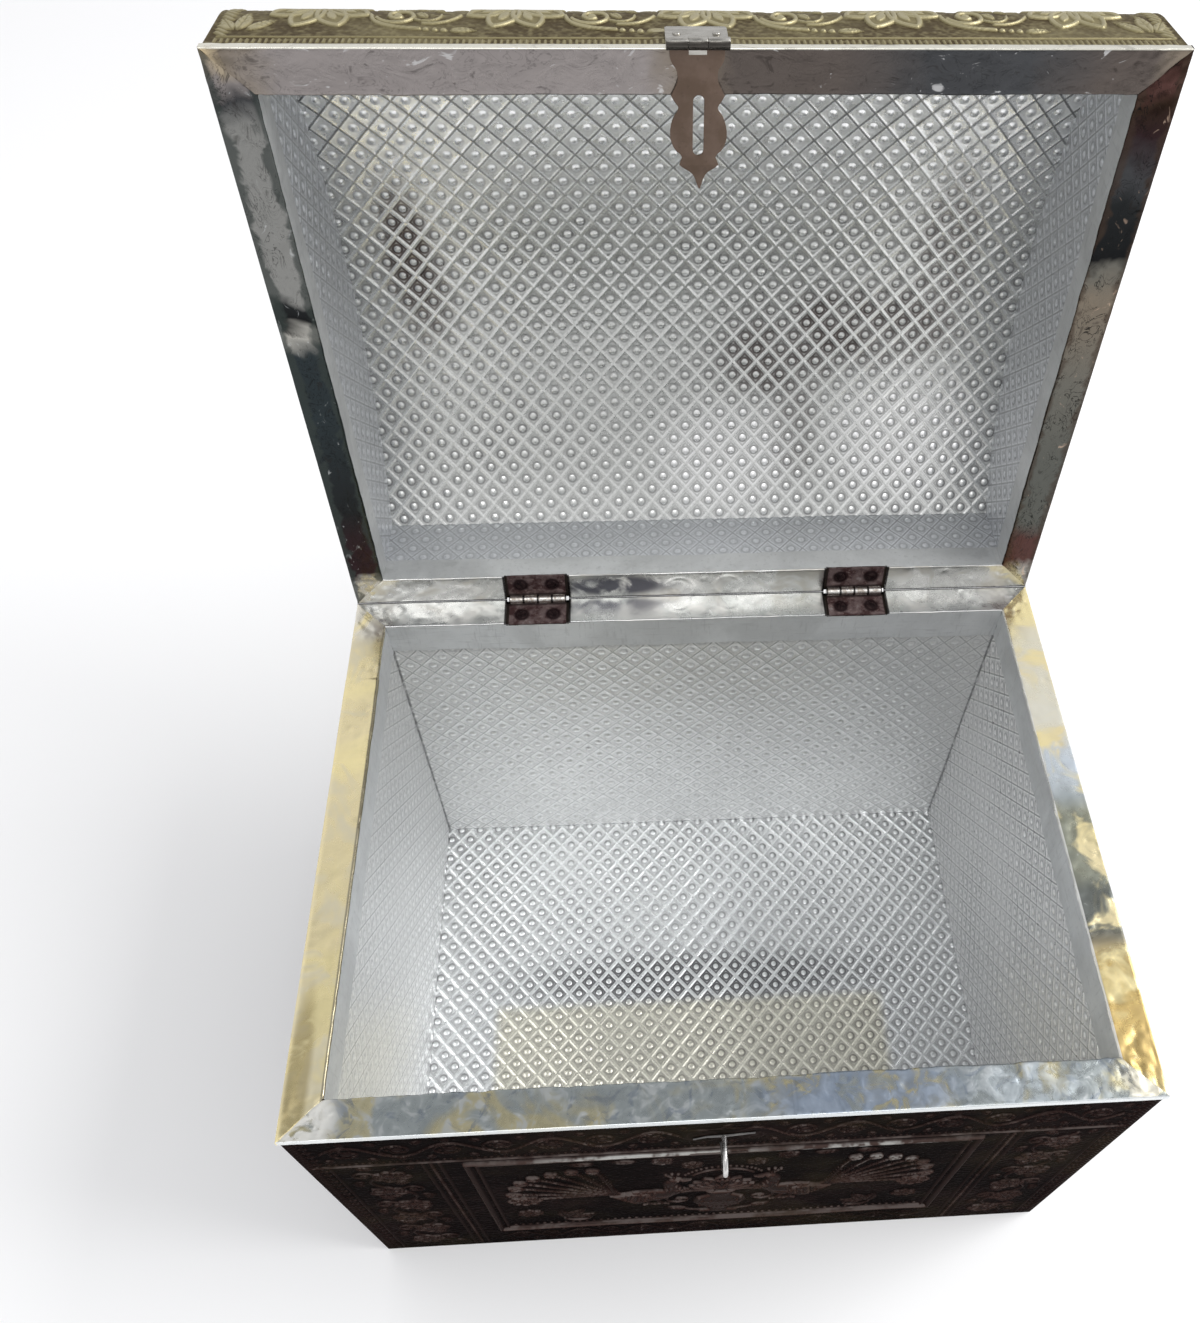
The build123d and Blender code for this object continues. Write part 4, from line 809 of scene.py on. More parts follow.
strip_material("strip_box_front", (0.47, 0.43, 0.28), (0.33, 0.36, 0.36), (0.44, 0.46, 0.46), 0.24, dark=((0.19, 0.22, 0.26), 0.6), scale=2.2, third=(0.52, 0.64), wild=1.1, lip=(0.80, 0.83, 0.84), spots=[
    ((0.045, -0.109, 0.191), (0.035, 0.012, 0.02), (0.25, 0.30, 0.38), 0.85), ((-0.144, -0.110, 0.191), (0.010, 0.012, 0.02), (0.86, 0.85, 0.80), 0.9),
    ((0.146, -0.110, 0.191), (0.008, 0.012, 0.02), (0.70, 0.66, 0.54), 0.8), ((0.105, -0.110, 0.191), (0.016, 0.012, 0.02), (0.45, 0.50, 0.54), 0.5)])
strip_material("strip_box_back", (0.62, 0.62, 0.61), (0.50, 0.51, 0.50), (0.70, 0.69, 0.67), 0.22, scale=1.0, speckle=0.3, seam=True)
run_material("strip_lid_front", 0, [
    (-0.152, "cream"), (-0.144, "tan"), (-0.130, "rose"), (-0.022, "rose"), (-0.006, "tan"), (0.008, "umber"), (0.040, "umber"),
    (0.070, "slate"), (0.100, "slate"), (0.125, "umber"), (0.140, "umber"), (0.152, "tan")],
    0.22, k=1.05, fleck_highlights=(0.6, (0.62, 0.62, 0.62)), crease_shade=0.3, lip=(0.4217, (0.84, 0.82, 0.72)))
run_material("strip_lid_left", 2, [
    (0.191, "bright"), (0.203, "silver"), (0.209, "plum"), (0.225, "plum"), (0.245, "ink"), (0.290, "steel"), (0.318, "steel"), (0.3245, "silver"),
    (0.3295, "black"), (0.3365, "ink"), (0.3400, "ash"), (0.399, "ash"), (0.408, "slate"), (0.415, "rose"), (0.422, "cream")],
    0.2, k=0.86, fleck_highlights=(0.5, (0.5, 0.52, 0.52)), crease_shade=0.6, edge_dark=(0, -0.1452, 0.0045, lin(56, 62, 60, 0.95), 0.75))
run_material("strip_lid_right", 2, [
    (0.191, "bright"), (0.203, "silver"), (0.209, "rust"), (0.222, "rust"), (0.232, "olive"), (0.262, "olive"), (0.300, "dull"), (0.336, "tan"),
    (0.348, "dull"), (0.3525, "black"), (0.372, "ink"), (0.382, "slate"), (0.395, "plum"), (0.405, "brown"), (0.413, "rust"), (0.422, "brown")],
    0.2, k=0.8, fleck_highlights=(0.5, (0.50, 0.36, 0.27)), crease_shade=0.9, edge_dark=(0, 0.1452, 0.0052, lin(66, 54, 46, 0.8), 0.6))
strip_material("strip_lid_back", (0.66, 0.66, 0.64), (0.54, 0.54, 0.52), (0.50, 0.48, 0.43), 0.22, scale=1.0, speckle=0.3, seam=True, spots=[((-0.037, 0.117, 0.198), (0.024, 0.02, 0.006), (0.10, 0.10, 0.115), 1.0)])


def fold_material(name, light, rough):
    mat, n, bsdf, xyz = material(name, 0.7)
    a = n.noise(xyz, 30.0, 4.0, 0.6, 1.0, 0.6)
    f = n.noise(xyz, 380.0, 3.0, 0.65, 2.2)
    base = n.mix(n.ramp(a, 0.35, 0.65), tuple(0.84 * c for c in light), light)
    base = n.mix(n.m("MULTIPLY", n.ramp(f, 0.6, 0.75), 0.3), base, tuple(0.6 * c for c in light))
    for stretch, seed in (((1.0, 1.0, 9.0), 4.0), ((9.0, 9.0, 1.0), 6.0)):
        g = n.noise(n.stretch(xyz, stretch), 70.0, 4.0, 0.65, seed)
        base = n.mix(n.m("MULTIPLY", n.ramp(g, 0.56, 0.70), 0.4), base, tuple(0.62 * c for c in light))
    n.wire(base, bsdf.inputs["Base Color"])
    n.wire(n.ramp(f, 0.35, 0.7, rough, rough + 0.12), bsdf.inputs["Roughness"])
    bump(n, bsdf, n.m("ADD", a, n.m("MULTIPLY", f, 0.2)), 0.2, 0.0008)
    return mat


fold_material("fold_box", (0.70, 0.715, 0.72), 0.40)
# fold_lid is a darker copy of fold_box: painted shade
fold_material("fold_lid", (0.60, 0.61, 0.61), 0.40)


def hinge_material(name, lid_side):
    """Rusty leaf, worn bright on the barrel."""
    mat, n, bsdf, xyz = material(name, 0.55, 0.2)
    x, y, z = axes(n, xyz)
    ry, rz = n.m("SUBTRACT", y, AXIS_Y / 1000), n.m("SUBTRACT", z, AXIS_Z / 1000)
    r = n.m("SQRT", n.m("ADD", n.m("MULTIPLY", ry, ry), n.m("MULTIPLY", rz, rz)))
    worn = n.ramp(r, 0.00183, 0.00200, 1.0, 0.0)
    # painted shade on the leaf along the barrel
    leaf_shade_band = n.m("MULTIPLY", n.ramp(r, 0.00185, 0.0021), n.ramp(r, 0.0024, 0.0036, 1.0, 0.0))
    sx = n.m("ABSOLUTE", n.m("SUBTRACT", n.m("ABSOLUTE", n.m("SUBTRACT", n.m("ABSOLUTE", x), 0.072)), 0.007))
    sr = n.m("SUBTRACT", r, 0.0081)
    stain = n.ramp(n.m("SQRT", n.m("ADD", n.m("MULTIPLY", sx, sx), n.m("MULTIPLY", sr, sr))), 0.0027, 0.0042, 1.0, 0.0)
    a = n.noise(xyz, 170.0, 5.0, 0.65)
    b = n.noise(xyz, 620.0, 4.0, 0.6, 4.0)
    rust = n.mix(n.ramp(a, 0.40, 0.60), (0.052, 0.026, 0.026), (0.145, 0.105, 0.102))
    rust = n.mix(n.m("MULTIPLY", n.ramp(b, 0.54, 0.68), 0.55), rust, (0.26, 0.19, 0.175))
    rust = n.mix(n.m("MULTIPLY", n.ramp(a, 0.60, 0.70), 0.5), rust, (0.34, 0.31, 0.30))
    rust = n.mix(n.m("MULTIPLY", leaf_shade_band, 0.8), rust, (0.010, 0.006, 0.006))
    rust = n.mix(n.m("MULTIPLY", stain, 0.92), rust, (0.010, 0.003, 0.004))
    bright = n.mix(n.ramp(b, 0.42, 0.6), (0.60, 0.58, 0.55), (0.36, 0.32, 0.28))
    t = n.m("DIVIDE", n.m("SUBTRACT", n.m("ABSOLUTE", x), (HINGE_X - 12.7) / 1000), 0.00635)
    joint = n.ramp(n.m("ABSOLUTE", n.m("SUBTRACT", t, n.m("ROUND", t))), 0.05, 0.10, 1.0, 0.0)
    bright = n.mix(n.m("MULTIPLY", joint, 0.92), bright, (0.012, 0.010, 0.010))
    n.wire(n.mix(worn, rust, bright), bsdf.inputs["Base Color"])
    n.wire(n.m("ADD", 0.55, n.m("MULTIPLY", worn, 0.4)), bsdf.inputs["Metallic"])
    n.wire(n.m("SUBTRACT", n.ramp(b, 0.3, 0.7, 0.42, 0.62), n.m("MULTIPLY", worn, 0.18)), bsdf.inputs["Roughness"])
    bump(n, bsdf, n.m("ADD", a, n.m("MULTIPLY", b, 0.6)), 0.5, 0.0004)
    return mat


hinge_material("hinge_rust", False)


def metal_material(name, one, two, rough, metallic=1.0, scale=200.0, pits=0.25, brushed=None, underside_shade=None):
    mat, n, bsdf, xyz = material(name, metallic)
    v = n.stretch(xyz, brushed) if brushed else xyz
    a = n.noise(v, scale, 4.0, 0.6)
    b = n.noise(xyz, scale * 5, 3.0, 0.6, 3.0)
    base = n.mix(n.ramp(a, 0.36, 0.66), one, two)
    base = n.mix(n.m("MULTIPLY", n.ramp(b, 0.6, 0.72), 0.3), base, tuple(0.5 * c for c in one))
    if underside_shade is not None:
        # painted shade on the side of a barrel that faces the rim below it
        ay, az, r = underside_shade
        _, y, z = axes(n, xyz)
        dy, dz = n.m("SUBTRACT", y, ay), n.m("SUBTRACT", z, az)
        d = n.m("SQRT", n.m("ADD", n.m("MULTIPLY", dy, dy), n.m("MULTIPLY", dz, dz)))
        f = n.m("MULTIPLY", n.ramp(d, r + 0.0002, r + 0.0004, 1.0, 0.0), n.ramp(n.m("ADD", n.m("MULTIPLY", dy, -0.81), n.m("MULTIPLY", dz, -0.58)), -0.05 * r, 0.3 * r))
        base = n.mix(n.m("MULTIPLY", f, 0.92), base, (0.035, 0.030, 0.026))
    n.wire(base, bsdf.inputs["Base Color"])
    n.wire(n.ramp(a, 0.3, 0.7, rough, rough + 0.14), bsdf.inputs["Roughness"])
    bump(n, bsdf, n.m("ADD", a, n.m("MULTIPLY", b, 0.3)), pits, 0.0003)
    return mat


hasp_axis = lid_world(np.array([[HASP_X, -HY - HASP_OUT, -HASP_DOWN]]))[0] / 1000
metal_material("nickel", (0.36, 0.345, 0.31), (0.50, 0.485, 0.45), 0.22, brushed=(1, 6, 6), underside_shade=(hasp_axis[1], hasp_axis[2], HASP_R / 1000))
metal_material("wire_bright", (0.62, 0.61, 0.60), (0.42, 0.41, 0.40), 0.22, scale=300.0)
metal_material("wire_dull", (0.05, 0.046, 0.045), (0.12, 0.115, 0.11), 0.4, scale=140.0)
metal_material("hasp_brown", (0.100, 0.066, 0.046), (0.142, 0.098, 0.074), 0.42, metallic=0.55, scale=90.0, pits=0.2)
metal_material("screw_dark", (0.012, 0.006, 0.007), (0.045, 0.026, 0.026), 0.42, metallic=0.8, scale=500.0)
metal_material("nail", (0.28, 0.26, 0.24), (0.16, 0.13, 0.11), 0.45, metallic=0.9, scale=400.0)
metal_material("pin_steel", (0.55, 0.53, 0.50), (0.38, 0.34, 0.30), 0.3, scale=500.0)


def wood_material(name, along):
    """Plain sawn board; the grain runs along one axis."""
    mat, n, bsdf, xyz = material(name, 0.0, 0.3)
    s = {"x": (1.2, 14, 14), "y": (14, 1.2, 14)}[along]
    v = n.stretch(xyz, s)
    grain = n.noise(v, 22.0, 6.0, 0.65, 0.0, 0.8)
    pores = n.noise(v, 120.0, 3.0, 0.6, 2.0)
    base = n.mix(n.ramp(grain, 0.32, 0.68), (0.19, 0.115, 0.062), (0.31, 0.205, 0.120))
    base = n.mix(n.m("MULTIPLY", n.ramp(pores, 0.55, 0.72), 0.5), base, (0.12, 0.068, 0.036))
    # painted shade: the wood round the hinges' mortises darkened nearly black
    x, y, z = axes(n, xyz)
    near = n.m("MULTIPLY", n.ramp(n.m("ABSOLUTE", n.m("SUBTRACT", n.m("ABSOLUTE", x), HINGE_X / 1000)), 0.018, 0.022, 1.0, 0.0), n.ramp(y, 0.098, 0.100))
    near = n.m("MULTIPLY", near, n.ramp(n.m("ABSOLUTE", n.m("SUBTRACT", z, H / 1000)), 0.016, 0.020, 1.0, 0.0))
    base = n.mix(n.m("MULTIPLY", near, 0.95), base, (0.010, 0.007, 0.006))
    n.wire(base, bsdf.inputs["Base Color"])
    n.wire(n.ramp(grain, 0.3, 0.7, 0.62, 0.8), bsdf.inputs["Roughness"])
    bump(n, bsdf, n.m("ADD", grain, n.m("MULTIPLY", pores, 0.4)), 0.4, 0.0005)
    return mat


wood_material("board_x", "x")
wood_material("board_y", "y")

# carried-over pieces keep their shape and get a material
KEEP = {
    "box_front_board": "board_x", "box_back_board": "board_x", "box_left_board": "board_y", "box_right_board": "board_y",
    "box_bottom_board": "board_x", "lid_front_rail": "board_x", "lid_back_rail": "board_x", "lid_left_end": "board_y", "lid_right_end": "board_y",
    "lid_slat_1": "board_x", "lid_slat_2": "board_x", "lid_slat_3": "board_x", "lid_slat_4": "board_x", "lid_slat_5": "board_x",
    "box_nails": "nail", "lid_nails": "nail", "hinge_pin_left": "pin_steel", "hinge_pin_right": "pin_steel", "hasp_pin": "pin_steel",
    "hinge_box_leaf_left": "hinge_rust", "hinge_box_leaf_right": "hinge_rust", "hinge_lid_leaf_left": "hinge_rust", "hinge_lid_leaf_right": "hinge_rust",
    "hasp_leaf_pins": "nickel",
}
for node, mat in KEEP.items():
    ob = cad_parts[node]
    if not ob.material_slots:
        ob.data.materials.append(MATERIALS[mat])
    for s in ob.material_slots:
        s.link = "OBJECT"
        s.material = MATERIALS[mat]


# ------------------------------------------------------------------ linings
def lining_relief(a, b, flat, seed, cut=(0.42, 0.56, 1.35, 0.46)):
    """Height of the embossed lining at pattern position a, b. flat is 0 where something presses it down; cut gives
    the height and width of the ridges and the radius and height of the beads."""
    p, q = a / CELL_A + b / CELL_B, a / CELL_A - b / CELL_B
    dp, dq = np.abs(frac(p) - 0.5) * 7.79, np.abs(frac(q) - 0.5) * 7.79
    pr, qr = np.round(p), np.round(q)
    r = np.hypot(((p + q) / 2 - (pr + qr) / 2) * CELL_A, ((p - q) / 2 - (pr - qr) / 2) * CELL_B)
    d = np.minimum(dp, dq)
    ridge = cut[0] * np.exp(-((d / cut[1]) ** 2))
    bead = cut[3] * np.sqrt(np.clip(1 - (r / cut[2]) ** 2, 0, 1)) - 0.15 * np.exp(-(((r - 1.4 * cut[2]) / 0.5) ** 2))
    pillow = 0.13 * smooth(0.4, 3.6, d)
    worn = 0.84 + 0.16 * noise(a, b, 34.0, seed)
    wave = 0.16 * noise(a, b, 46.0, seed + 1) + 0.07 * noise(a, b, 17.0, seed + 2)
    return (np.maximum(ridge, bead + pillow) * worn + wave) * flat


def lining(name, us, vs, place, phase, node, material, body, seed, flat, u_dir, back, parts=1, world=same, cut=(0.42, 0.56, 1.35, 0.46)):
    """One lining sheet. place(u, v, h) gives points; the pattern sits on phase and the grid's lines pass through its ridges."""
    for k in range(parts):
        i0, i1 = round(k * (len(us) - 1) / parts), round((k + 1) * (len(us) - 1) / parts)
        U, V = np.meshgrid(us[i0:i1 + 1], vs)
        A, B = u_dir * U - phase[0], V - phase[1]
        h = lining_relief(A, B, flat(U, V), seed, cut)
        P = world(place(U, V, h))
        Q = world(place(U, V, np.full_like(h, back)))
        co, faces = slab(P, Q, h)
        make_mesh(name + ("" if parts == 1 else "_%d" % (k + 1)), co, faces, material, body, (node,),
                  pat=both(np.stack([A, B, np.zeros_like(A)], -1)), sharp=75.0, border=rim_of(h.shape))


def cells(lo, hi, cell, phase, per):
    """Positions from lo to hi on the pattern's grid of per lines a cell, ends included."""
    step = cell / per
    k0, k1 = math.ceil((lo - phase) / step + 0.3), math.floor((hi - phase) / step - 0.3)
    return np.concatenate([[lo], phase + step * np.arange(k0, k1 + 1), [hi]])


PER = 14
PER_FINE = 18


def strip_flat(edge, soft=1.6, least=-0.0):
    """Lets the pattern run out just above the line where the folded strip covers it."""
    return lambda U, V: 1 - smooth(edge - soft, edge - 0.2, V)


bead_x, bead_y = -95.6, BY - 124.2
lining("box_lining_floor", cells(-BX - 0.4, BX + 0.4, CELL_A, bead_x, PER_FINE), cells(-BY - 0.4, BY + 0.4, CELL_B, bead_y, PER_FINE),
       lambda u, v, h: np.stack([u, v, FLOOR - 0.1 + h], -1), (bead_x, bead_y), "box_lining_floor", "lining_floor", "box", 11,
       lambda U, V: np.ones_like(U), 1, -0.36, parts=2, cut=(0.48, 0.62, 1.5, 0.5))
wall_top = H - STRIP - 0.05
WALL_CUT = (0.26, 0.50, 1.2, 0.38)
fold_line = H - FOLD_IN_BOX
for side, node, y_face, s in (("front", "box_lining_front", -BY, 1), ("back", "box_lining_back", BY, -1)):
    lining(node, cells(-BX - 0.42, BX + 0.42, CELL_A, 2.1, PER) * 1.0, cells(FLOOR - 0.2, wall_top, CELL_B, 9.0, PER),
           (lambda s, y_face: lambda u, v, h: np.stack([-s * u, np.full_like(u, y_face) + s * (h - 0.02 - 0.35 * smooth(fold_line - 1.5, fold_line + 0.5, v)), v - 1.2 * (s < 0) * smooth(H - 3, H, v)], -1))(s, y_face),
           (2.1, 9.0), node, "lining_plain", "box", 21 if s > 0 else 25, strip_flat(fold_line), 1, -0.46, cut=WALL_CUT)
for side, node, x_face, s in (("left", "box_lining_left", -BX, 1), ("right", "box_lining_right", BX, -1)):
    lining(node, cells(-BY, BY, CELL_A, 1.0, PER), cells(FLOOR - 0.2, wall_top, CELL_B, 9.0, PER),
           (lambda s, x_face: lambda u, v, h: np.stack([np.full_like(u, x_face) + s * (h - 0.02 - 0.35 * smooth(fold_line - 1.5, fold_line + 0.5, v)), s * u, v], -1))(s, x_face),
           (1.0, 9.0), node, "lining_plain" if s > 0 else "lining_right", "box", 31 if s > 0 else 35, strip_flat(fold_line), 1, -0.46, cut=WALL_CUT if s > 0 else (0.36, 0.55, 1.3, 0.46))

R_CEIL = R_SLAT - LINE


def arc_h(r, y):
    return C_Z + np.sqrt(r * r - y * y)


arc_half = R_CEIL * math.asin((HY - BOARD_IN - 0.06) / R_CEIL)


def ceiling_place(u, v, h):
    a = v / R_CEIL
    r = R_CEIL - h
    return np.stack([-u, r * np.sin(a), C_Z + r * np.cos(a)], -1)


lining("lid_lining_ceiling", cells(-BX - 0.4, BX + 0.4, CELL_A, 3.3, PER_FINE), cells(-arc_half, arc_half, CELL_B, 4.0, PER_FINE),
       ceiling_place, (3.3, 4.0), "lid_lining_ceiling", "lining_ceiling", "lid", 41, lambda U, V: np.ones_like(U), 1, -0.45, parts=2, world=lid_world, cut=(0.36, 0.50, 1.25, 0.42))
lid_fold = FOLD_IN_LID
rail_top = float(arc_h(R_CEIL, BY)) + 0.2
for node, y_face, s in (("lid_lining_front", -BY, 1), ("lid_lining_back", BY, -1)):
    lining(node, cells(-BX - 0.42, BX + 0.42, CELL_A, 2.1, PER), cells(STRIP + 0.05, rail_top, CELL_B, 3.0, PER),
           (lambda s, y_face: lambda u, v, h: np.stack([-s * u, np.full_like(u, y_face) + s * (h - 0.02 - 0.35 * (1 - smooth(lid_fold - 0.5, lid_fold + 1.5, v))), v + 1.2 * (s < 0) * (1 - smooth(0.4, 3.4, v))], -1))(s, y_face),
           (2.1, 3.0), node, "lining_lid", "lid", 51 if s > 0 else 55, lambda U, V: smooth(lid_fold + 0.2, lid_fold + 1.6, V), 1, -0.46, world=lid_world, cut=(0.2, 0.5, 1.2, 0.26))
for node, x_face, s in (("lid_lining_left", -BX, 1), ("lid_lining_right", BX, -1)):
    def end_place(u, v, h, s=s, x_face=x_face):
        top = arc_h(R_CEIL, u)
        z = STRIP + 0.05 + v * (top + 0.15 - STRIP - 0.05)
        return np.stack([np.full_like(u, x_face) + s * (h - 0.02 - 0.35 * (1 - smooth(lid_fold - 0.5, lid_fold + 1.5, z))), s * u, z], -1)
    us, vs = ticks([-BY, BY], 0.72 * COARSE), np.linspace(0, 1, int(62 / 0.72 / COARSE))
    U, V = np.meshgrid(us, vs)
    Z = end_place(U, V, np.zeros_like(U))[..., 2]
    hh = lining_relief(U - 1.0, Z - 3.0, smooth(lid_fold + 0.2, lid_fold + 1.6, Z), 61 if s > 0 else 65)
    co, faces = slab(lid_world(end_place(U, V, hh)), lid_world(end_place(U, V, np.full_like(hh, -0.46))), hh)
    make_mesh(node, co, faces, "lining_lid", "lid", (node,), pat=both(np.stack([U - 1.0, Z - 3.0, 0 * Z], -1)), sharp=75.0)


# ------------------------------------------------------------------ embossed outer sheets of the chest
GROUND = 0.62                       # the ground of the relief, in from the sheet's outer face
SHEET_HX, SHEET_HY = HX - STRIP, HY - STRIP


def lotus_half(pen, r, h):
    """Half a lotus: petals fanned downwards from its middle, as on the lid's front."""
    for a, ln, w in ((92, 0.74, 0.36), (-92, 0.74, 0.36), (57, 0.88, 0.46), (-57, 0.88, 0.46), (20, 0.98, 0.44), (-20, 0.98, 0.44)):
        petal(pen.at(0, 0, 180 + a), r * ln, r * w, h)
    pen.line(arc(0, 0, r * 0.22, 180, 360), 0.6, h)
    pen.bead(0, -r * 0.06, r * 0.13, h * 0.8, h * 0.3)


def scroll_link(pen, h):
    """The scroll between two flowers: a curl, a long tail with three beads and a leaf's tip."""
    pen.line(curl(-6.0, 8.6, 6.8, 1.6, -165, 470), 0.78, h)
    pen.bead(-6.2, 8.8, 1.5, h)
    pen.line(bez((-14.5, 9.0), (-14.0, 2.0), (-8.0, -1.6), (1.5, -2.0)), [0.7] * 6 + [0.85] * 6 + [0.6] * 6, h)
    for k, r in ((3.4, 1.05), (6.3, 0.95), (9.0, 1.15)):
        pen.bead(k, -2.1 - 0.12 * k, r, h * 0.95)
    leaf(pen.at(10.5, -3.4, -82), 9.0, 3.2, h * 0.9, 0.6)
    pen.line(bez((2.0, 2.4), (7.0, 1.8), (11.0, 4.2), (13.5, 9.0)), 0.6, h * 0.85)
    pen.line(bez((-0.6, 5.6), (3.0, 3.2), (7.0, 4.8), (7.4, 9.4)), 0.5, h * 0.8)
    leaf(pen.at(3.0, 7.0, 30), 7.0, 3.0, h * 0.85, -0.6)
    leaf(pen.at(-1.6, 12.5, 64), 7.5, 2.8, h * 0.8, 0.5)


def peacock(pen, h):
    """A peacock in profile that faces +x, its train swept back and up."""
    # train: long feathers that fan to the rear top, each with an eye
    for k, (tx, ty) in enumerate([(-58, 24), (-55, 33), (-49, 40), (-41, 45), (-32, 48), (-23, 48), (-60, 13), (-57, 3)]):
        path = bez((-8, 0), (-20, 2 + 1.2 * k % 5), (tx * 0.66, ty * 0.55), (tx, ty), 16)
        pen.line(path, np.linspace(1.0, 0.5, 16), h * 0.62)
        for t in range(4, 15, 1):
            c, u = path[t], path[t] - path[t - 1]
            u = u / (np.hypot(*u) + 1e-9)
            nrm = np.array([-u[1], u[0]])
            for sx in (-1, 1):
                pen.line([c, c + u * 1.9 + nrm * sx * 1.9], 0.30, h * 0.42)
        a = math.degrees(math.atan2(ty - path[-3][1], tx - path[-3][0])) - 90
        e = pen.at(tx, ty, a)
        petal(e.at(0, -1.5), 7.2, 5.6, h * 0.85, core=False)
        e.bead(0, 2.6, 1.35, h * 0.5, h * 0.45)
    # body, breast and neck
    body = np.concatenate([bez((-17, -2), (-10, 9), (4, 10), (12, 4)), bez((12, 4), (17, -1), (12, -12), (2, -13)), bez((2, -13), (-7, -13), (-14, -9), (-17, -2))])
    pen.fill(body, h * 1.05, 4.2, 0.25)
    neck = bez((7, -1), (20, 6), (6, 15), (13, 25), 20)
    pen.line(neck, np.linspace(6.4, 2.5, 20), np.linspace(1.25 * h, 1.05 * h, 20))
    pen.line([(13, 25), (14.2, 26.4)], 3.1, h * 1.15)
    pen.fill([(15.6, 28.0), (21.5, 25.0), (16.0, 24.3)], h * 1.05, 0.9)
    pen.bead(14.6, 27.2, 0.62, h * 0.3, h * 1.15)
    for a in (-16, 4, 24):
        tip = np.array([12.4 - 8.4 * math.sin(math.radians(a)), 28.4 + 8.4 * math.cos(math.radians(a))])
        pen.line([(12.9, 28.4), tip], 0.34, h * 0.7)
        pen.bead(tip[0], tip[1], 1.0, h * 0.8)
    # neck rings and a scaled breast
    for t in (6, 9, 12):
        c, u = neck[t], neck[t] - neck[t - 1]
        u = u / np.hypot(*u)
        nrm = np.array([-u[1], u[0]]) * (5.2 - 0.22 * t)
        beads(pen, [c - nrm, c + nrm], 1.5, 0.62, h * 1.45)
    for row in range(5):
        for k in range(-3, 4):
            x, y = 3.5 - row * 3.3 + 0.3 * k, -1.5 + k * 2.7 + (1.35 if row % 2 else 0)
            if ((x + 1) / 13.5) ** 2 + ((y + 1.5) / 9.2) ** 2 < 0.8:
                pen.cut(arc(x, y, 1.5, 90, 270, 7), 0.34, h * 0.34)
    # wing: three tiers of feathers
    for k in range(7):
        pen.at(-2 + 0.6 * k, 3.5 - 1.9 * k, 96 + 4.0 * k).fill(leafy(17 - 0.8 * k, 4.0, bend=-1.5), h * 1.32, 1.0)
    for k in range(5):
        pen.at(2.5, 3.0 - 1.9 * k, 98 + 6 * k).fill(leafy(8.5, 3.6), h * 1.5, 0.9)
    # legs
    for x0, x1 in ((-1, 1), (4, 7)):
        pen.line([(x0, -12), (x1, -21)], 0.75, h * 0.8)
        for a in (-3.4, 0.2, 3.6):
            pen.line([(x1, -21), (x1 + a, -23.4)], 0.5, h * 0.7)


def vase(pen, h):
    """A footed vase with a lotus and leaves rising from it."""
    prof = [(0, -34), (8.5, -34), (8.8, -32), (4.4, -30), (3.4, -27), (8.4, -22), (11.4, -15), (10.2, -8), (5.0, -3), (4.6, 0), (7.2, 2.2), (0, 2.6)]
    right = np.array(prof, float)
    pen.fill(np.concatenate([right, (right * [-1, 1])[::-1]]), h, 2.6, 0.3)
    for y, r in ((-8, 9.6), (-20, 9.0)):
        beads(pen, arc(0, y + 14, 16.5, 270 - r * 3.3, 270 + r * 3.3, 9), 1.9, 0.72, h * 1.35)
    for k in range(-2, 3):
        pen.at(k * 3.6, -17.4, 0).fill(drop(7.2, 3.1), h * 1.4, 0.8)
    for a, ln, w in ((-66, 14, 6.0), (66, 14, 6.0), (-44, 16, 6.2), (44, 16, 6.2), (-22, 18, 6.4), (22, 18, 6.4), (0, 19.5, 6.8)):
        petal(pen.at(0, 8, -a), ln, w, h * 0.95)
    pen.bead(0, 9.0, 3.0, h * 0.7, h * 0.6)
    for sx in (-1, 1):
        q = pen.at(0, 0, 0, 1, sx < 0)
        q.line(bez((3, 3), (12, 8), (22, 4), (22, -8)), 0.7, h * 0.75)
        q.line(curl(16.6, -9.5, 5.4, 1.2, 10, -430), 0.6, h * 0.75)
        q.bead(16.6, -9.5, 1.3, h * 0.8)
        leaf(q.at(12, 6.0, -50), 9, 4, h * 0.85, 0.8)
        leaf(q.at(21.0, 0.5, -105), 8, 3.6, h * 0.8, 0.5)
        leaf(q.at(13.0, -27.0, -64), 11, 4.4, h * 0.8, 1.0)
        q.line(bez((4, -31), (10, -31), (13, -30), (15, -25)), 0.6, h * 0.7)


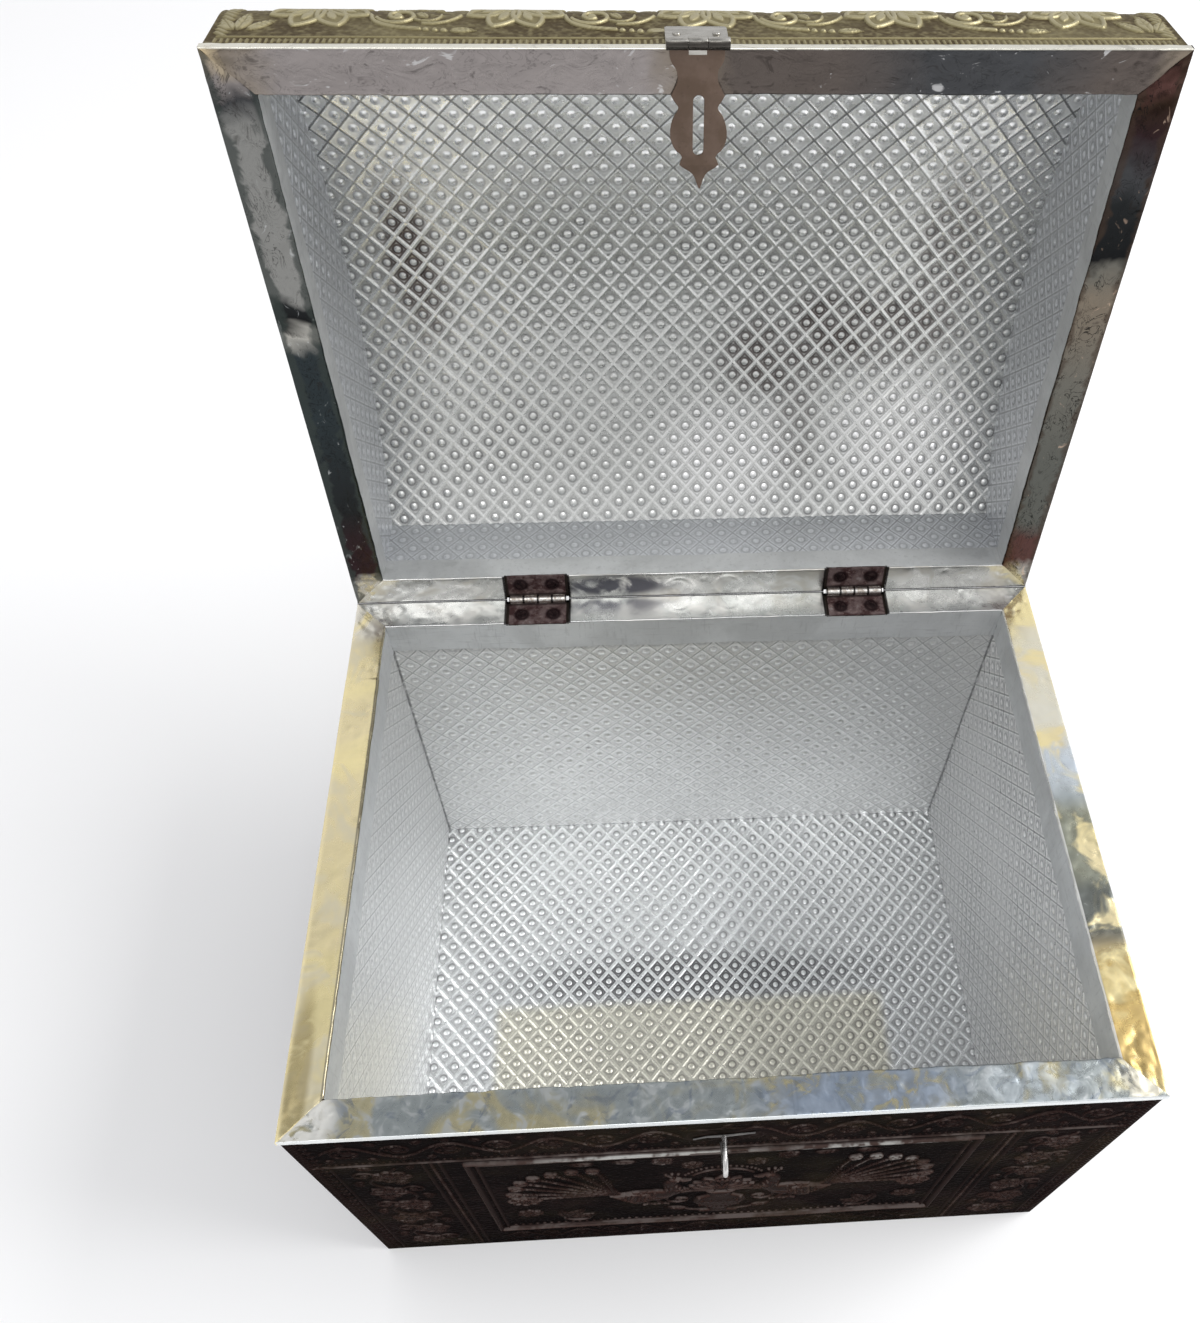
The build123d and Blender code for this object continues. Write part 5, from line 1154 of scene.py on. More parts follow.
def arabesque(pen, wx, wy, h):
    """A floral panel: a round flower with scrolls and leaves turned out to its four corners."""
    r = min(wx, wy) * 0.25
    bloom(pen, r, 10, h)
    for k in range(30):
        a = math.radians(12 * k)
        pen.bead(1.19 * r * math.cos(a), 1.19 * r * math.sin(a), 0.95, h * 0.75)
    pen.line(arc(0, 0, 1.31 * r, 0, 360, 70), 0.5, h * 0.75)
    for sx in (-1, 1):
        for sy in (-1, 1):
            bloom(pen.at(sx * 0.44 * wx, sy * 0.40 * wy), 0.078 * wy, 7, h * 0.85)
        bloom(pen.at(sx * 0.44 * wx, 0), 0.085 * wy, 8, h * 0.85)
        for a in (-150, -115, -65, -30):
            leaf(pen.at(sx * 0.44 * wx, 0, sx * a).at(0, 0.1 * wy), 0.1 * wy, 0.045 * wy, h * 0.75)
            leaf(pen.at(sx * 0.44 * wx, 0, -sx * a).at(0, 0.1 * wy), 0.1 * wy, 0.045 * wy, h * 0.75)
    for sx in (-1, 1):
        for sy in (-1, 1):
            q = pen.at(0, 0)
            def P(x, y):
                return (sx * x * wx, sy * y * wy)
            q.line(bez(P(0.17, 0.06), P(0.28, 0.02), P(0.33, 0.20), P(0.22, 0.30)), 0.7, h * 0.85)
            c = P(0.335, 0.27)
            q.line(curl(c[0], c[1], 0.10 * wy, 0.022 * wy, -90 * sy + (0 if sx > 0 else 180), sx * sy * 420), 0.62, h * 0.85)
            q.bead(c[0], c[1], 0.035 * wy, h)
            for x, y, rot, ln in ((0.24, 0.12, -62, 0.15), (0.30, 0.40, -20, 0.13), (0.42, 0.36, -48, 0.13), (0.42, 0.14, -92, 0.13), (0.12, 0.37, 15, 0.12)):
                leaf(q.at(sx * x * wx, sy * y * wy, (rot if sx > 0 else -rot) if sy > 0 else (180 - rot if sx > 0 else 180 + rot)), ln * wy, 0.055 * wy, h * 0.8, 0.0)


def frame_line(pen, x0, x1, y0, y1, w, h):
    pen.line([(x0, y0), (x1, y0), (x1, y1), (x0, y1), (x0, y0)], w, h)


def chest_face(f, half, front):
    """The embossed design of one wall of the chest, from the middle; y is the height above the foot."""
    p = Pen(f)
    k = 1.0
    edge = half - 8.0
    # border down both outer edges, side panels, plain bands
    for sx in (-1, 1):
        rope(p, (sx * (half - 1.9), 4), (sx * (half - 1.9), 184), 1.9, 0.5)
        leaf_border(p, (sx * (half - 5.4), 4), (sx * (half - 5.4), 186), 4.4, 0.55)
        p.line([(sx * edge, 3), (sx * edge, 150.5)], 0.5, 0.6)
        a, b = half - 41.0, half - 47.0
        for x in (a, b):
            p.line([(sx * x, 3), (sx * x, 150.5)], 0.55, 0.75)
        beads(p, [(sx * (a + b) / 2, 5), (sx * (a + b) / 2, 149)], 2.6, 0.95, 0.7)
        # side panel: a climbing stem with flowers and leaves
        cx = sx * (edge + a) / 2
        ys = np.linspace(8, 146, 120)
        p.line(np.stack([cx + 6.5 * np.sin(ys / 138 * 6 * math.pi), ys], -1), 0.75, 0.7)
        for j in range(6):
            y = 19.5 + 23 * j
            side = 1 if j % 2 == 0 else -1
            q = p.at(cx - side * 2.6, y)
            bloom(q, 7.4, 7, 0.85, 12 * j)
            q.line(curl(side * 10.2, 2.5, 5.2, 1.3, 180 if side > 0 else 0, -side * 430), 0.55, 0.7)
            q.bead(side * 10.2, 2.5, 1.2, 0.75)
            leaf(q.at(side * 4.5, 11.0, -side * 48), 9.0, 4.4, 0.75, 0.8 * side)
            leaf(q.at(-side * 7.4, 9.4, side * 24), 7.0, 3.4, 0.7, -0.6 * side)
            leaf(q.at(side * 11.0, -6.0, -side * 120), 7.0, 3.2, 0.7)
    # frieze below the rim
    p.line([(-half, 153.0), (half, 153.0)], 0.55, 0.75)
    p.line([(-half, 186.2), (half, 186.2)], 0.4, 0.45)
    beads(p, [(-half + 9, 155.4), (half - 9, 155.4)], 2.4, 0.85, 0.55)
    beads(p, [(-half + 9, 184.4), (half - 9, 184.4)], 2.2, 0.7, 0.4)
    vine(p, -half + 9, half - 9, 170, 11.5, 37.5, 0.72)
    # band along the foot
    p.line([(-(half - 57), 27.8), (half - 57, 27.8)], 0.5, 0.6)
    beads(p, [(-(half - 56), 3.6), (half - 56, 3.6)], 2.6, 0.85, 0.5)
    vine(p, -(half - 57), half - 57, 15.2, 8.6, 26.0, 0.6)
    # middle panel: raised frame
    x1 = half - 58.0
    for off, w, h in ((0.0, 1.15, 1.5), (3.4, 0.6, 0.9)):
        frame_line(p, -x1 - 2.0 + off, x1 + 2.0 - off, 31.0 + off, 148.0 - off, w, h)
    if front:
        for sx in (-1, 1):
            peacock(p.at(sx * 30.5, 84.0, 0, 0.86, sx > 0), 1.35)
            leaf(p.at(sx * 66, 48, sx * 34), 17, 7, 0.9, 1.0 * sx)
            leaf(p.at(sx * 66, 48, sx * 76), 15, 6, 0.85)
            leaf(p.at(sx * 66, 48, -sx * 8), 14, 6, 0.85)
            p.line(curl(sx * 60, 47, 7.0, 1.4, 0 if sx > 0 else 180, -sx * 400), 0.8, 0.9)
            p.bead(sx * 60, 47, 1.5, 0.95)
            bloom(p.at(sx * 80.5, 84), 7.0, 8, 0.95)
            bloom(p.at(sx * 80.5, 60), 5.4, 7, 0.85)
            for y in (136.5, 128.5):
                bloom(p.at(sx * (24 if y > 130 else 12.5), y), 4.2, 6, 0.8)
            leaf(p.at(sx * 33, 137, -sx * 84), 12, 4.6, 0.8)
            leaf(p.at(sx * 49, 137.5, -sx * 90), 12, 4.6, 0.8)
        beads(p, [(-x1 + 5, 37.6), (x1 - 5, 37.6)], 3.1, 1.05, 0.8)
        vase(p.at(0, 80.5, 0, 1.02), 1.25)
        p.line(bez((-12, 112), (-6, 122), (6, 122), (12, 112)), 0.7, 0.8)
        beads(p, bez((-15, 113), (-8, 127), (8, 127), (15, 113)), 2.4, 0.9, 0.8)
    else:
        frame_line(p, -x1 + 12.5, x1 - 12.5, 46.0, 133.0, 0.5, 0.75)
        for y in (40.2, 138.8):
            vine(p, -x1 + 12, x1 - 12, y, 4.4, 15.0, 0.7, dense=False)
        for sx in (-1, 1):
            leaf_border(p, (sx * (x1 - 7.2), 40), (sx * (x1 - 7.2), 139), 7.0, 0.75, 6.6)
        arabesque(p.at(0, 89.5), 2 * x1 - 28, 84, 1.0)
    matting(f, 0.16, 1.5, 7)
    finish_field(f)
    return f


def face_columns(half, zone_step):
    return ticks([-half, half], zone_step)


def outer_sheet(name, half, place, node, body, seed, parts, step, front=False, notch=None):
    """One outer wall sheet in parts side by side. place(u, v, out) gives points, out from the nominal sheet face."""
    foot, top = 0.35, H - STRIP - 0.02
    breaks = [-half, half] if notch is None else sorted({-half, half, *[sx * c + e for sx in (-1, 1) for c in (HINGE_X,) for e in (-MORTISE_L / 2 - 0.06, -MORTISE_L / 2, MORTISE_L / 2, MORTISE_L / 2 + 0.06)]})
    xs = ticks(breaks, step)
    ys = ticks([foot, H - FOLD_OUT - 1.0, top], step)
    f = chest_face(Field(xs, ys), half, front)
    X, Y = np.meshgrid(xs, ys)
    h = f.h
    h += 0.14 * noise(X, Y, 42.0, seed) + 0.05 * noise(X, Y, 14.0, seed + 1)
    calm = smooth(H - FOLD_OUT - 1.2, H - FOLD_OUT - 0.1, Y)
    h = h * (1 - calm) + 0.5 * calm
    rim = smooth(0.0, 1.2, np.minimum(half - np.abs(X), Y - foot))
    h = h * rim + 0.3 * (1 - rim)
    if front:
        lane = smooth(-15.5, -13.5, X) * smooth(9.0, 7.5, X) * smooth(H - 49, H - 47, Y)
        h = np.where(lane > 0, np.minimum(h, 3.0 - lane * 2.0), h)
        pad = smooth(16.5, 13.5, np.abs(X - STAPLE_X)) * smooth(8.0, 6.0, np.abs(Y - (H - STAPLE_TOP) - 0.2))
        h = h * (1 - pad) + 0.6 * pad
    cav = np.clip(f.h / 1.25, 0, 1)
    z = Y
    if notch is not None:
        inside = (np.abs(np.abs(X) - HINGE_X) < MORTISE_L / 2 + 0.01)
        z = np.where(inside, Y - 1.15 * smooth(H - 8, top, Y), Y)
    for k in range(parts):
        i0, i1 = round(k * (len(xs) - 1) / parts), round((k + 1) * (len(xs) - 1) / parts)
        s = (slice(None), slice(i0, i1 + 1))
        P, Q = place(X[s], z[s], h[s] - GROUND), place(X[s], z[s], np.full_like(h[s], -0.97))
        co, faces = slab(P, Q, h[s])
        make_mesh(name + ("" if parts == 1 else "_%d" % (k + 1)), co, faces, "sheet_box", body, (node,), cav=both(cav[s]), sharp=70.0, border=rim_of(h[s].shape))


outer_sheet("box_sheet_front", SHEET_HX, lambda u, v, o: np.stack([u, -SHEET_HY - o, v], -1), "box_sheet_front", "box", 71, 3, 0.46 * COARSE, front=True)
outer_sheet("box_sheet_back", SHEET_HX, lambda u, v, o: np.stack([-u, SHEET_HY + o, v], -1), "box_sheet_back", "box", 75, 2, 0.60 * COARSE, notch=True)
side_half = HY - BOARD_OUT
outer_sheet("box_sheet_left", side_half, lambda u, v, o: np.stack([-SHEET_HX - o, -u, v], -1), "box_sheet_left", "box", 79, 1, 0.70 * COARSE)
outer_sheet("box_sheet_right", side_half, lambda u, v, o: np.stack([SHEET_HX + o, u, v], -1), "box_sheet_right", "box", 83, 1, 0.70 * COARSE)

# ------------------------------------------------------------------ cover sheet of the lid
WALL = SH_Z - STRIP
SHOULDER = R_SHOULDER * (math.pi / 2 - (math.pi / 2 - SH_A))
ARCH = R_CROWN * (math.pi / 2 - SH_A)
HALF_RUN = WALL + SHOULDER + ARCH


def cover_place(x, s, out):
    """s runs from the front foot (0) over the crown (HALF_RUN) to the back foot; out is from the outer outline."""
    back = s > HALF_RUN
    q = np.where(back, 2 * HALF_RUN - s, s)
    a1 = np.clip((q - WALL) / R_SHOULDER, 0, SH_A)
    a2 = np.clip((q - WALL - SHOULDER) / R_CROWN, 0, None)
    ang = a1 + a2
    wall = q <= WALL
    sh = (q > WALL) & (q <= WALL + SHOULDER)
    y = np.where(wall, SHEET_HY + out, np.where(sh, SH_Y + (R_SHOULDER + out) * np.cos(ang), (R_CROWN + out) * np.cos(ang)))
    h = np.where(wall, STRIP + q, np.where(sh, SH_Z + (R_SHOULDER + out) * np.sin(ang), C_Z + (R_CROWN + out) * np.sin(ang)))
    return np.stack([x, np.where(back, y, -y), h], -1)


def lid_frieze(p, base, turn):
    """Flowers and scrolls along one long side of the lid; base is the run at the rim and turn its direction."""
    def at(x, s):
        return p.at(x, base + turn * s, 0, 1, False) if turn > 0 else p.at(x, base - s, 180, 1, False)
    flowers = [-121.0, -59.7, 1.0, 61.4, 122.0]
    for x in flowers:
        x = x if turn > 0 else -x
        q = at(x, 37.4)
        lotus_half(q, 20.0, 0.95)
        for a, ln, w in ((0, 0.92, 0.30), (27, 0.95, 0.34), (-27, 0.95, 0.34), (56, 0.92, 0.38), (-56, 0.92, 0.38)):
            petal(q.at(0, 0, a), 17.5 * ln, 20 * w, 0.9)
    for a, b in zip(flowers[:-1], flowers[1:]):
        x = (a + b) / 2
        scroll_link(at(x if turn > 0 else -x, 18.6), 0.95)
        q = at(x if turn > 0 else -x, 43.5)
        bloom(q, 7.2, 8, 0.9)
        for sx in (-1, 1):
            leaf(q.at(sx * 8.2, -1.5, -sx * 96), 9.0, 4.2, 0.85, 0.6 * sx)
            leaf(q.at(sx * 5.6, 6.4, -sx * 44), 7.0, 3.4, 0.8)
            leaf(q.at(sx * 4.6, -7.6, -sx * 140), 6.0, 3.0, 0.8)
    for sx in (-1, 1):
        q = at(sx * 144.0, 15.0)
        leaf(q.at(0, 0, 8 * sx), 15, 5, 0.85, 0.8 * sx)
        leaf(q.at(-2.5 * sx, 0, 42 * sx), 12, 4.2, 0.8)
        leaf(q.at(1.5 * sx, 0, -26 * sx), 11, 4, 0.8)
    lo, hi = -SHEET_HX + 3, SHEET_HX - 3
    for s, w, h in ((9.8, 0.4, 0.5), (3.9, 0.35, 0.4)):
        p.line([(lo, base + turn * s), (hi, base + turn * s)], w, h)
    n = int((hi - lo) / 1.9)
    for k in range(n + 1):
        x = lo + (hi - lo) * k / n
        p.line([(x, base + turn * 5.3), (x, base + turn * 8.0)], 0.48, 0.5)
    for s in (56.5, 59.5):
        p.line([(lo, base + turn * s), (hi, base + turn * s)], 0.5, 0.65)


def cover_design(f):
    p = Pen(f)
    lid_frieze(p, 0.0, 1)
    lid_frieze(p, 2 * HALF_RUN, -1)
    run = f.ys[:, None]
    f.h *= 1 - 0.28 * smooth(30.0, 38.0, np.minimum(run, 2 * HALF_RUN - run))
    lo, hi = 62.0, 2 * HALF_RUN - 62.0
    mid = HALF_RUN
    for sx in (-1, 1):
        rope(p, (sx * 148.5, 12), (sx * 148.5, 2 * HALF_RUN - 12), 2.4, 0.55)
        p.line([(sx * 145.2, lo), (sx * 145.2, hi)], 0.5, 0.6)
    for y in (lo + 2.5, hi - 2.5):
        beads(p, [(-143, y), (143, y)], 3.0, 1.0, 0.7)
    # field of the crown: flowers on a diagonal lattice of stems, with a round medallion in the middle
    step_x, step_y = 40.6, (hi - lo - 12) / 3
    for j in range(7):
        for i in range(-7, 8):
            if (i + j) % 2:
                continue
            x, y = i * step_x / 2, lo + 6 + j * step_y / 2
            if abs(x) > 141 or (x / 57) ** 2 + ((y - mid) / 57) ** 2 < 1:
                continue
            bloom(p.at(x, y), 8.6, 8, 0.85, 11 * (i + j))
            for a in (45, 135, 225, 315):
                q = p.at(x, y, a)
                q.line([(0, 9.4), (1.2, 12.0), (0, 15.5)], 0.55, 0.65)
                leaf(q.at(0.4, 11.0, -38), 7.0, 3.2, 0.72, 0.5)
                leaf(q.at(-0.2, 11.0, 38), 7.0, 3.2, 0.72, -0.5)
            for a in (0, 90, 180, 270):
                p.at(x, y, a).bead(0, 13.5, 1.5, 0.7)
                p.at(x, y, a).bead(0, 16.6, 0.9, 0.6)
    # medallion
    q = p.at(0, mid)
    for k in range(16):
        petal(q.at(20 * math.sin(2 * math.pi * k / 16), 20 * math.cos(2 * math.pi * k / 16), -22.5 * k), 14.5, 8.6, 0.95)
    bloom(q, 17.0, 12, 1.15)
    for r, w, h in ((18.6, 0.6, 0.9), (36.5, 0.7, 0.95)):
        q.line(arc(0, 0, r, 0, 360, 90), w, h)
    for k in range(56):
        a = 2 * math.pi * k / 56
        q.bead(39.4 * math.cos(a), 39.4 * math.sin(a), 1.35, 0.8)
    q.line(arc(0, 0, 42.4, 0, 360, 90), 0.6, 0.8)
    matting(f, 0.15, 1.5, 17)
    return finish_field(f)


def cover_sheet():
    breaks_x = sorted({-SHEET_HX, SHEET_HX, *[sx * HINGE_X + e for sx in (-1, 1) for e in (-MORTISE_L / 2 - 0.06, -MORTISE_L / 2, MORTISE_L / 2, MORTISE_L / 2 + 0.06)]})
    total = 2 * HALF_RUN
    zones = [("lid_cover_front", 0.0, 44.0, 0.37, 1), ("lid_cover_crown", 44.0, total - 44.0, 0.56, 2), ("lid_cover_back", total - 44.0, total, 0.52, 1)]
    for name, s0, s1, step, parts in zones:
        xs = ticks(breaks_x, step * COARSE)
        ys = ticks([s0, 3.5, s1] if s0 == 0 else ([s0, total - 3.5, s1] if s1 == total else [s0, s1]), step * COARSE)
        f = cover_design(Field(xs, ys))
        X, S = np.meshgrid(xs, ys)
        foot = np.minimum(S, total - S)
        h = f.h + 0.12 * noise(X, S, 44.0, 91) + 0.05 * noise(X, S, 15.0, 92)
        calm = smooth(3.9, 2.8, foot)
        h = h * (1 - calm) + 0.5 * calm
        rim = smooth(0.0, 1.3, SHEET_HX - np.abs(X))
        h = h * rim + 0.35 * (1 - rim)
        pad = smooth(14.5, 12.5, np.abs(X - HASP_X)) * smooth(18.0, 16.0, S)
        h = h * (1 - pad) + 0.42 * pad
        cav = np.clip(f.h / 0.95, 0, 1)
        inside = (np.abs(np.abs(X) - HINGE_X) < MORTISE_L / 2 + 0.01) & (S > HALF_RUN)
        S2 = np.where(inside, S - 1.15 * smooth(total - 8, total, S), S)
        for k in range(parts):
            i0, i1 = round(k * (len(xs) - 1) / parts), round((k + 1) * (len(xs) - 1) / parts)
            s = (slice(None), slice(i0, i1 + 1))
            P = lid_world(cover_place(X[s], S2[s], h[s] - GROUND))
            Q = lid_world(cover_place(X[s], S2[s], np.full_like(h[s], -0.97)))
            co, faces = slab(P, Q, h[s])
            make_mesh(name + ("" if parts == 1 else "_%d" % (k + 1)), co, faces, "sheet_lid", "lid", ("lid_cover_sheet",), cav=both(cav[s]), sharp=70.0, border=rim_of(h[s].shape))


cover_sheet()


def outline_h(y, off):
    """Height of the lid's outline, off inside it, at |y|."""
    y = np.abs(y)
    ra, rs = R_CROWN - off, R_SHOULDER - off
    split = ra * math.cos(SH_A)
    return np.where(y < split, C_Z + np.sqrt(np.clip(ra * ra - y * y, 0, None)), SH_Z + np.sqrt(np.clip(rs * rs - (y - SH_Y) ** 2, 0, None)))


def end_design(f, top):
    """Arched end of the lid: a fan of petals over a half flower, with scrolls to both sides."""
    p = Pen(f)
    half = HY - BOARD_OUT
    for y0, w in ((4.2, 0.4), (10.0, 0.45)):
        p.line([(-half, y0), (half, y0)], w, 0.5)
    n = int(2 * half / 1.9)
    for k in range(n + 1):
        x = -half + 2 * half * k / n
        p.line([(x, 5.6), (x, 8.4)], 0.48, 0.5)
    ys = np.linspace(-half + 5, half - 5, 120)
    for off, w, h in ((4.0, 0.6, 0.75), (9.5, 0.55, 0.7)):
        rim = np.stack([ys * (1 - off / 160), np.array([float(outline_h(y, 1.0)) for y in ys]) - off], -1)
        p.line(rim, w, h)
    rim = np.stack([ys * (1 - 6.7 / 160), np.array([float(outline_h(y, 1.0)) for y in ys]) - 6.7], -1)
    beads(p, rim, 2.9, 1.05, 0.7)
    q = p.at(0, 16)
    for k in range(-4, 5):
        petal(q.at(9 * math.sin(math.radians(21 * k)), 9 * math.cos(math.radians(21 * k)), -21 * k), 22, 8.2, 1.0)
    q.line(arc(0, 0, 8.8, 0, 180, 30), 0.8, 1.0)
    q.bead(0, 2.4, 4.4, 0.7, 0.4)
    for sx in (-1, 1):
        for x, y, r, lead in ((44, 33, 9.5, 1), (70, 24, 7.5, -1)):
            q = p.at(sx * x, y, 0, 1, sx < 0)
            q.line(curl(0, 0, r, 1.8, 200, 470 * lead * -1), 0.8, 0.9)
            q.bead(0, 0, 2.0, 0.95)
            for a in (20, 75, 130, 250, 310):
                leaf(q.at(r * 1.02 * math.cos(math.radians(a)), r * 1.02 * math.sin(math.radians(a)), a - 90 + 25), 8.5, 3.8, 0.8, 0.4)
        bloom(p.at(sx * 91, 22), 6.6, 7, 0.85)
        leaf(p.at(sx * 58, 17, -sx * 70), 11, 4.4, 0.8)
        leaf(p.at(sx * 26, 17, -sx * 78), 11, 4.4, 0.8)
        leaf(p.at(sx * 28, 47, -sx * 100), 11, 4.4, 0.8)
    matting(f, 0.15, 1.5, 27)
    return finish_field(f)


for node, sx in (("lid_end_sheet_left", -1), ("lid_end_sheet_right", 1)):
    half = SHEET_HY - 1.0
    us = ticks([-half, half], 0.50 * COARSE)
    vs = np.linspace(0, 1, int(150 / COARSE))
    # the pattern is drawn on a flat field and read where the arched grid's points lie
    fx, fy = ticks([-half, half], 0.45 * COARSE), ticks([0.4, 76], 0.45 * COARSE)
    f = end_design(Field(fx, fy), 76)
    U, V = np.meshgrid(us, vs)
    Z = STRIP + 0.05 + V * (outline_h(np.clip(U, -half + 0.02, half - 0.02), 1.0) - STRIP - 0.1)
    iu, iv = (U - fx[0]) / (fx[1] - fx[0]), (Z - fy[0]) / (fy[1] - fy[0])
    i0, j0 = np.clip(iu.astype(int), 0, len(fx) - 2), np.clip(iv.astype(int), 0, len(fy) - 2)
    fu, fv = iu - i0, iv - j0
    h0 = (f.h[j0, i0] * (1 - fu) + f.h[j0, i0 + 1] * fu) * (1 - fv) + (f.h[j0 + 1, i0] * (1 - fu) + f.h[j0 + 1, i0 + 1] * fu) * fv
    calm = smooth(3.9, 2.8, Z)
    edge = smooth(0.0, 1.2, np.minimum(half - np.abs(U), V * 40 + 0.0)) * smooth(0.0, 0.03, 1 - V)
    h = (h0 + 0.1 * noise(U, Z, 40.0, 95 + sx)) * (1 - calm) + 0.5 * calm
    h = h * edge + 0.3 * (1 - edge)

    def place(out, sx=sx, U=U, Z=Z):
        return lid_world(np.stack([sx * (SHEET_HX + out), sx * U, Z], -1))
    co, faces = slab(place(h - GROUND), place(np.full_like(h, -0.97)), h)
    make_mesh(node, co, faces, "sheet_lid", "lid", (node,), cav=both(np.clip(h0 / 0.95, 0, 1)), sharp=70.0)


# ------------------------------------------------------------------ folded strips
def strip(name, length, place, fold_in, node, material, body, seed, notch=False, joint=None, dent=1.0, fold_mat=None, world=same, wander=1.0, knocks=()):
    """A strip folded over a rim. place(along, inward, up) gives points; up = 0 is the rim's face and the folds go down."""
    r, th = 0.55, 0.34
    ro = 0.1 if notch else 0.4
    prof, norm = [], []
    for w in ticks([-FOLD_OUT, -1.25, -ro], 0.7 * COARSE):
        prof.append((0.0, w)); norm.append((-1.0, 0.0))
    for a in np.radians([157.5, 135, 112.5]):
        prof.append((ro + ro * math.cos(a), -ro + ro * math.sin(a))); norm.append((math.cos(a), math.sin(a)))
    for n_ in ticks([ro, T - r], 0.72 * COARSE):
        prof.append((n_, 0.0)); norm.append((0.0, 1.0))
    for a in np.radians([67.5, 45, 22.5]):
        prof.append((T - r + r * math.cos(a), -r + r * math.sin(a))); norm.append((math.cos(a), math.sin(a)))
    for w in ticks([-r, -1.25, -fold_in], 0.95 * COARSE):
        prof.append((T, w)); norm.append((1.0, 0.0))
    prof, norm = np.array(prof), np.array(norm)
    hl = length / 2
    marks = {-hl, -hl + 20, hl - 20, hl}
    if notch:
        marks |= {sx * HINGE_X + e for sx in (-1, 1) for e in (-MORTISE_L / 2, MORTISE_L / 2)}
    if joint is not None:
        marks |= {joint - 0.25, joint + 0.25}
    xs = ticks(sorted(marks), 0.82 * COARSE)
    X, N = np.meshgrid(xs, prof[:, 0])
    Wp = np.broadcast_to(prof[:, 1:2], X.shape)
    NX, NW = np.broadcast_to(norm[:, :1], X.shape), np.broadcast_to(norm[:, 1:], X.shape)
    arm = np.abs(X) - (hl - 20)
    XX = np.where(arm > 0, np.sign(X) * (hl - 20 + arm * (20 - N) / 20), X)
    run = np.concatenate([[0], np.cumsum(np.hypot(*np.diff(prof, axis=0).T))])[:, None] + 0 * X
    top = smooth(0.5, 2.0, N) * smooth(T - 0.4, T - 1.8, N) * (Wp > -0.01)
    d = 0.10 * noise(XX, run, 26.0, seed) + 0.05 * noise(XX, run, 9.0, seed + 1)
    rough = np.clip(noise(XX, run, 60.0, seed + 2) * 1.6, 0, 1)
    d += dent * (0.10 * noise(XX, run, 4.2, seed + 3) + 0.05 * noise(XX, run, 2.1, seed + 4)) * (0.25 + 0.75 * rough)
    corner = smooth(26.0, 6.0, hl - np.abs(XX))
    d += corner * (0.30 * np.abs(noise(XX, run, 4.4, seed + 5)) - 0.10 + 0.16 * noise(XX, run, 2.0, seed + 6))
    for cx, cn, rr, deep in knocks:
        d -= deep * np.exp(-(((np.hypot(XX - cx, run - FOLD_OUT - cn) - rr) / 0.55) ** 2))
    rng = np.random.default_rng(seed + 9)
    for _ in range(int(length / 7)):
        cx, cn, rr = rng.uniform(-hl, hl), rng.uniform(1, T + fold_in * 0.6), rng.uniform(0.8, 2.2)
        d -= 0.16 * dent * np.exp(-(((XX - cx) / rr) ** 2 + ((run - FOLD_OUT - cn) / rr) ** 2) ** 1.0) * rng.uniform(0.3, 1)
    if joint is not None:
        d = d + 0.28 * (XX > joint)
    d = np.clip(d, -0.3, 0.42)
    side = smooth(0.0, 0.9, N)
    d = d * ((0.05 if notch else 0.35) + (0.95 if notch else 0.65) * side)
    # the free edge of the inner fold is not quite straight
    last = smooth(-fold_in + 6, -fold_in, Wp) * (N > T - 0.01)
    drop_ = last * (0.5 * noise(XX, 0 * XX, 24.0, seed + 7) + 0.22 * noise(XX, 0 * XX, 7.0, seed + 8))
    # and the inner corner wanders a little
    d_in = wander * (0.16 * noise(XX, 0 * XX + 3, 12.0, seed + 11) + 0.10 * noise(XX, 0 * XX + 3, 4.2, seed + 12)) * smooth(T - 2.4, T - 0.4, N) * (1 - 0.85 * smooth(-1.0, -6.0, Wp))
    P = place(XX, N + NX * d + d_in, Wp + NW * d + drop_)
    Q = place(XX, N - NX * (th - d * 0.6) + d_in, Wp - NW * (th - d * 0.6) + drop_)
    keep = np.ones((X.shape[0] - 1, X.shape[1] - 1), bool)
    if notch:
        xc = (X[:-1, :-1] + X[:-1, 1:]) / 2
        wc = (Wp[:-1, :-1] + Wp[1:, :-1]) / 2
        keep = ~((np.abs(np.abs(xc) - HINGE_X) < MORTISE_L / 2) & (wc > -1.25))
    co, faces = shell(world(P), world(Q), keep)
    ob = make_mesh(name, co, faces, material, body, (node,), sharp=50.0)
    if fold_mat:
        ob.data.materials.append(MATERIALS[fold_mat])
        # faces of the inner fold take the plainer grey finish
        inner = (N[:-1, :-1] > T - 0.35) & (Wp[:-1, :-1] < -0.5)
        flags = inner[keep].astype(np.int32)
        mats = np.concatenate([flags, flags, np.zeros(len(faces[2]), np.int32)])
        ob.data.polygons.foreach_set("material_index", mats)
    return ob


def box_at(along, inward):
    """Places a chest strip: unit vectors of its run and of the way in, in the row frame."""
    ax, ay = along
    nx, ny = inward

    def place(x, n, w):
        return np.stack([ax * x + nx * (n - (HX if nx else 0)), ay * x + ny * (n - (HY if ny else 0)), H + w], -1)
    return place


def lid_at(along, inward):
    ax, ay = along
    nx, ny = inward

    def place(x, n, w):
        return np.stack([ax * x + nx * (n - (HX if nx else 0)), ay * x + ny * (n - (HY if ny else 0)), -w], -1)
    return place


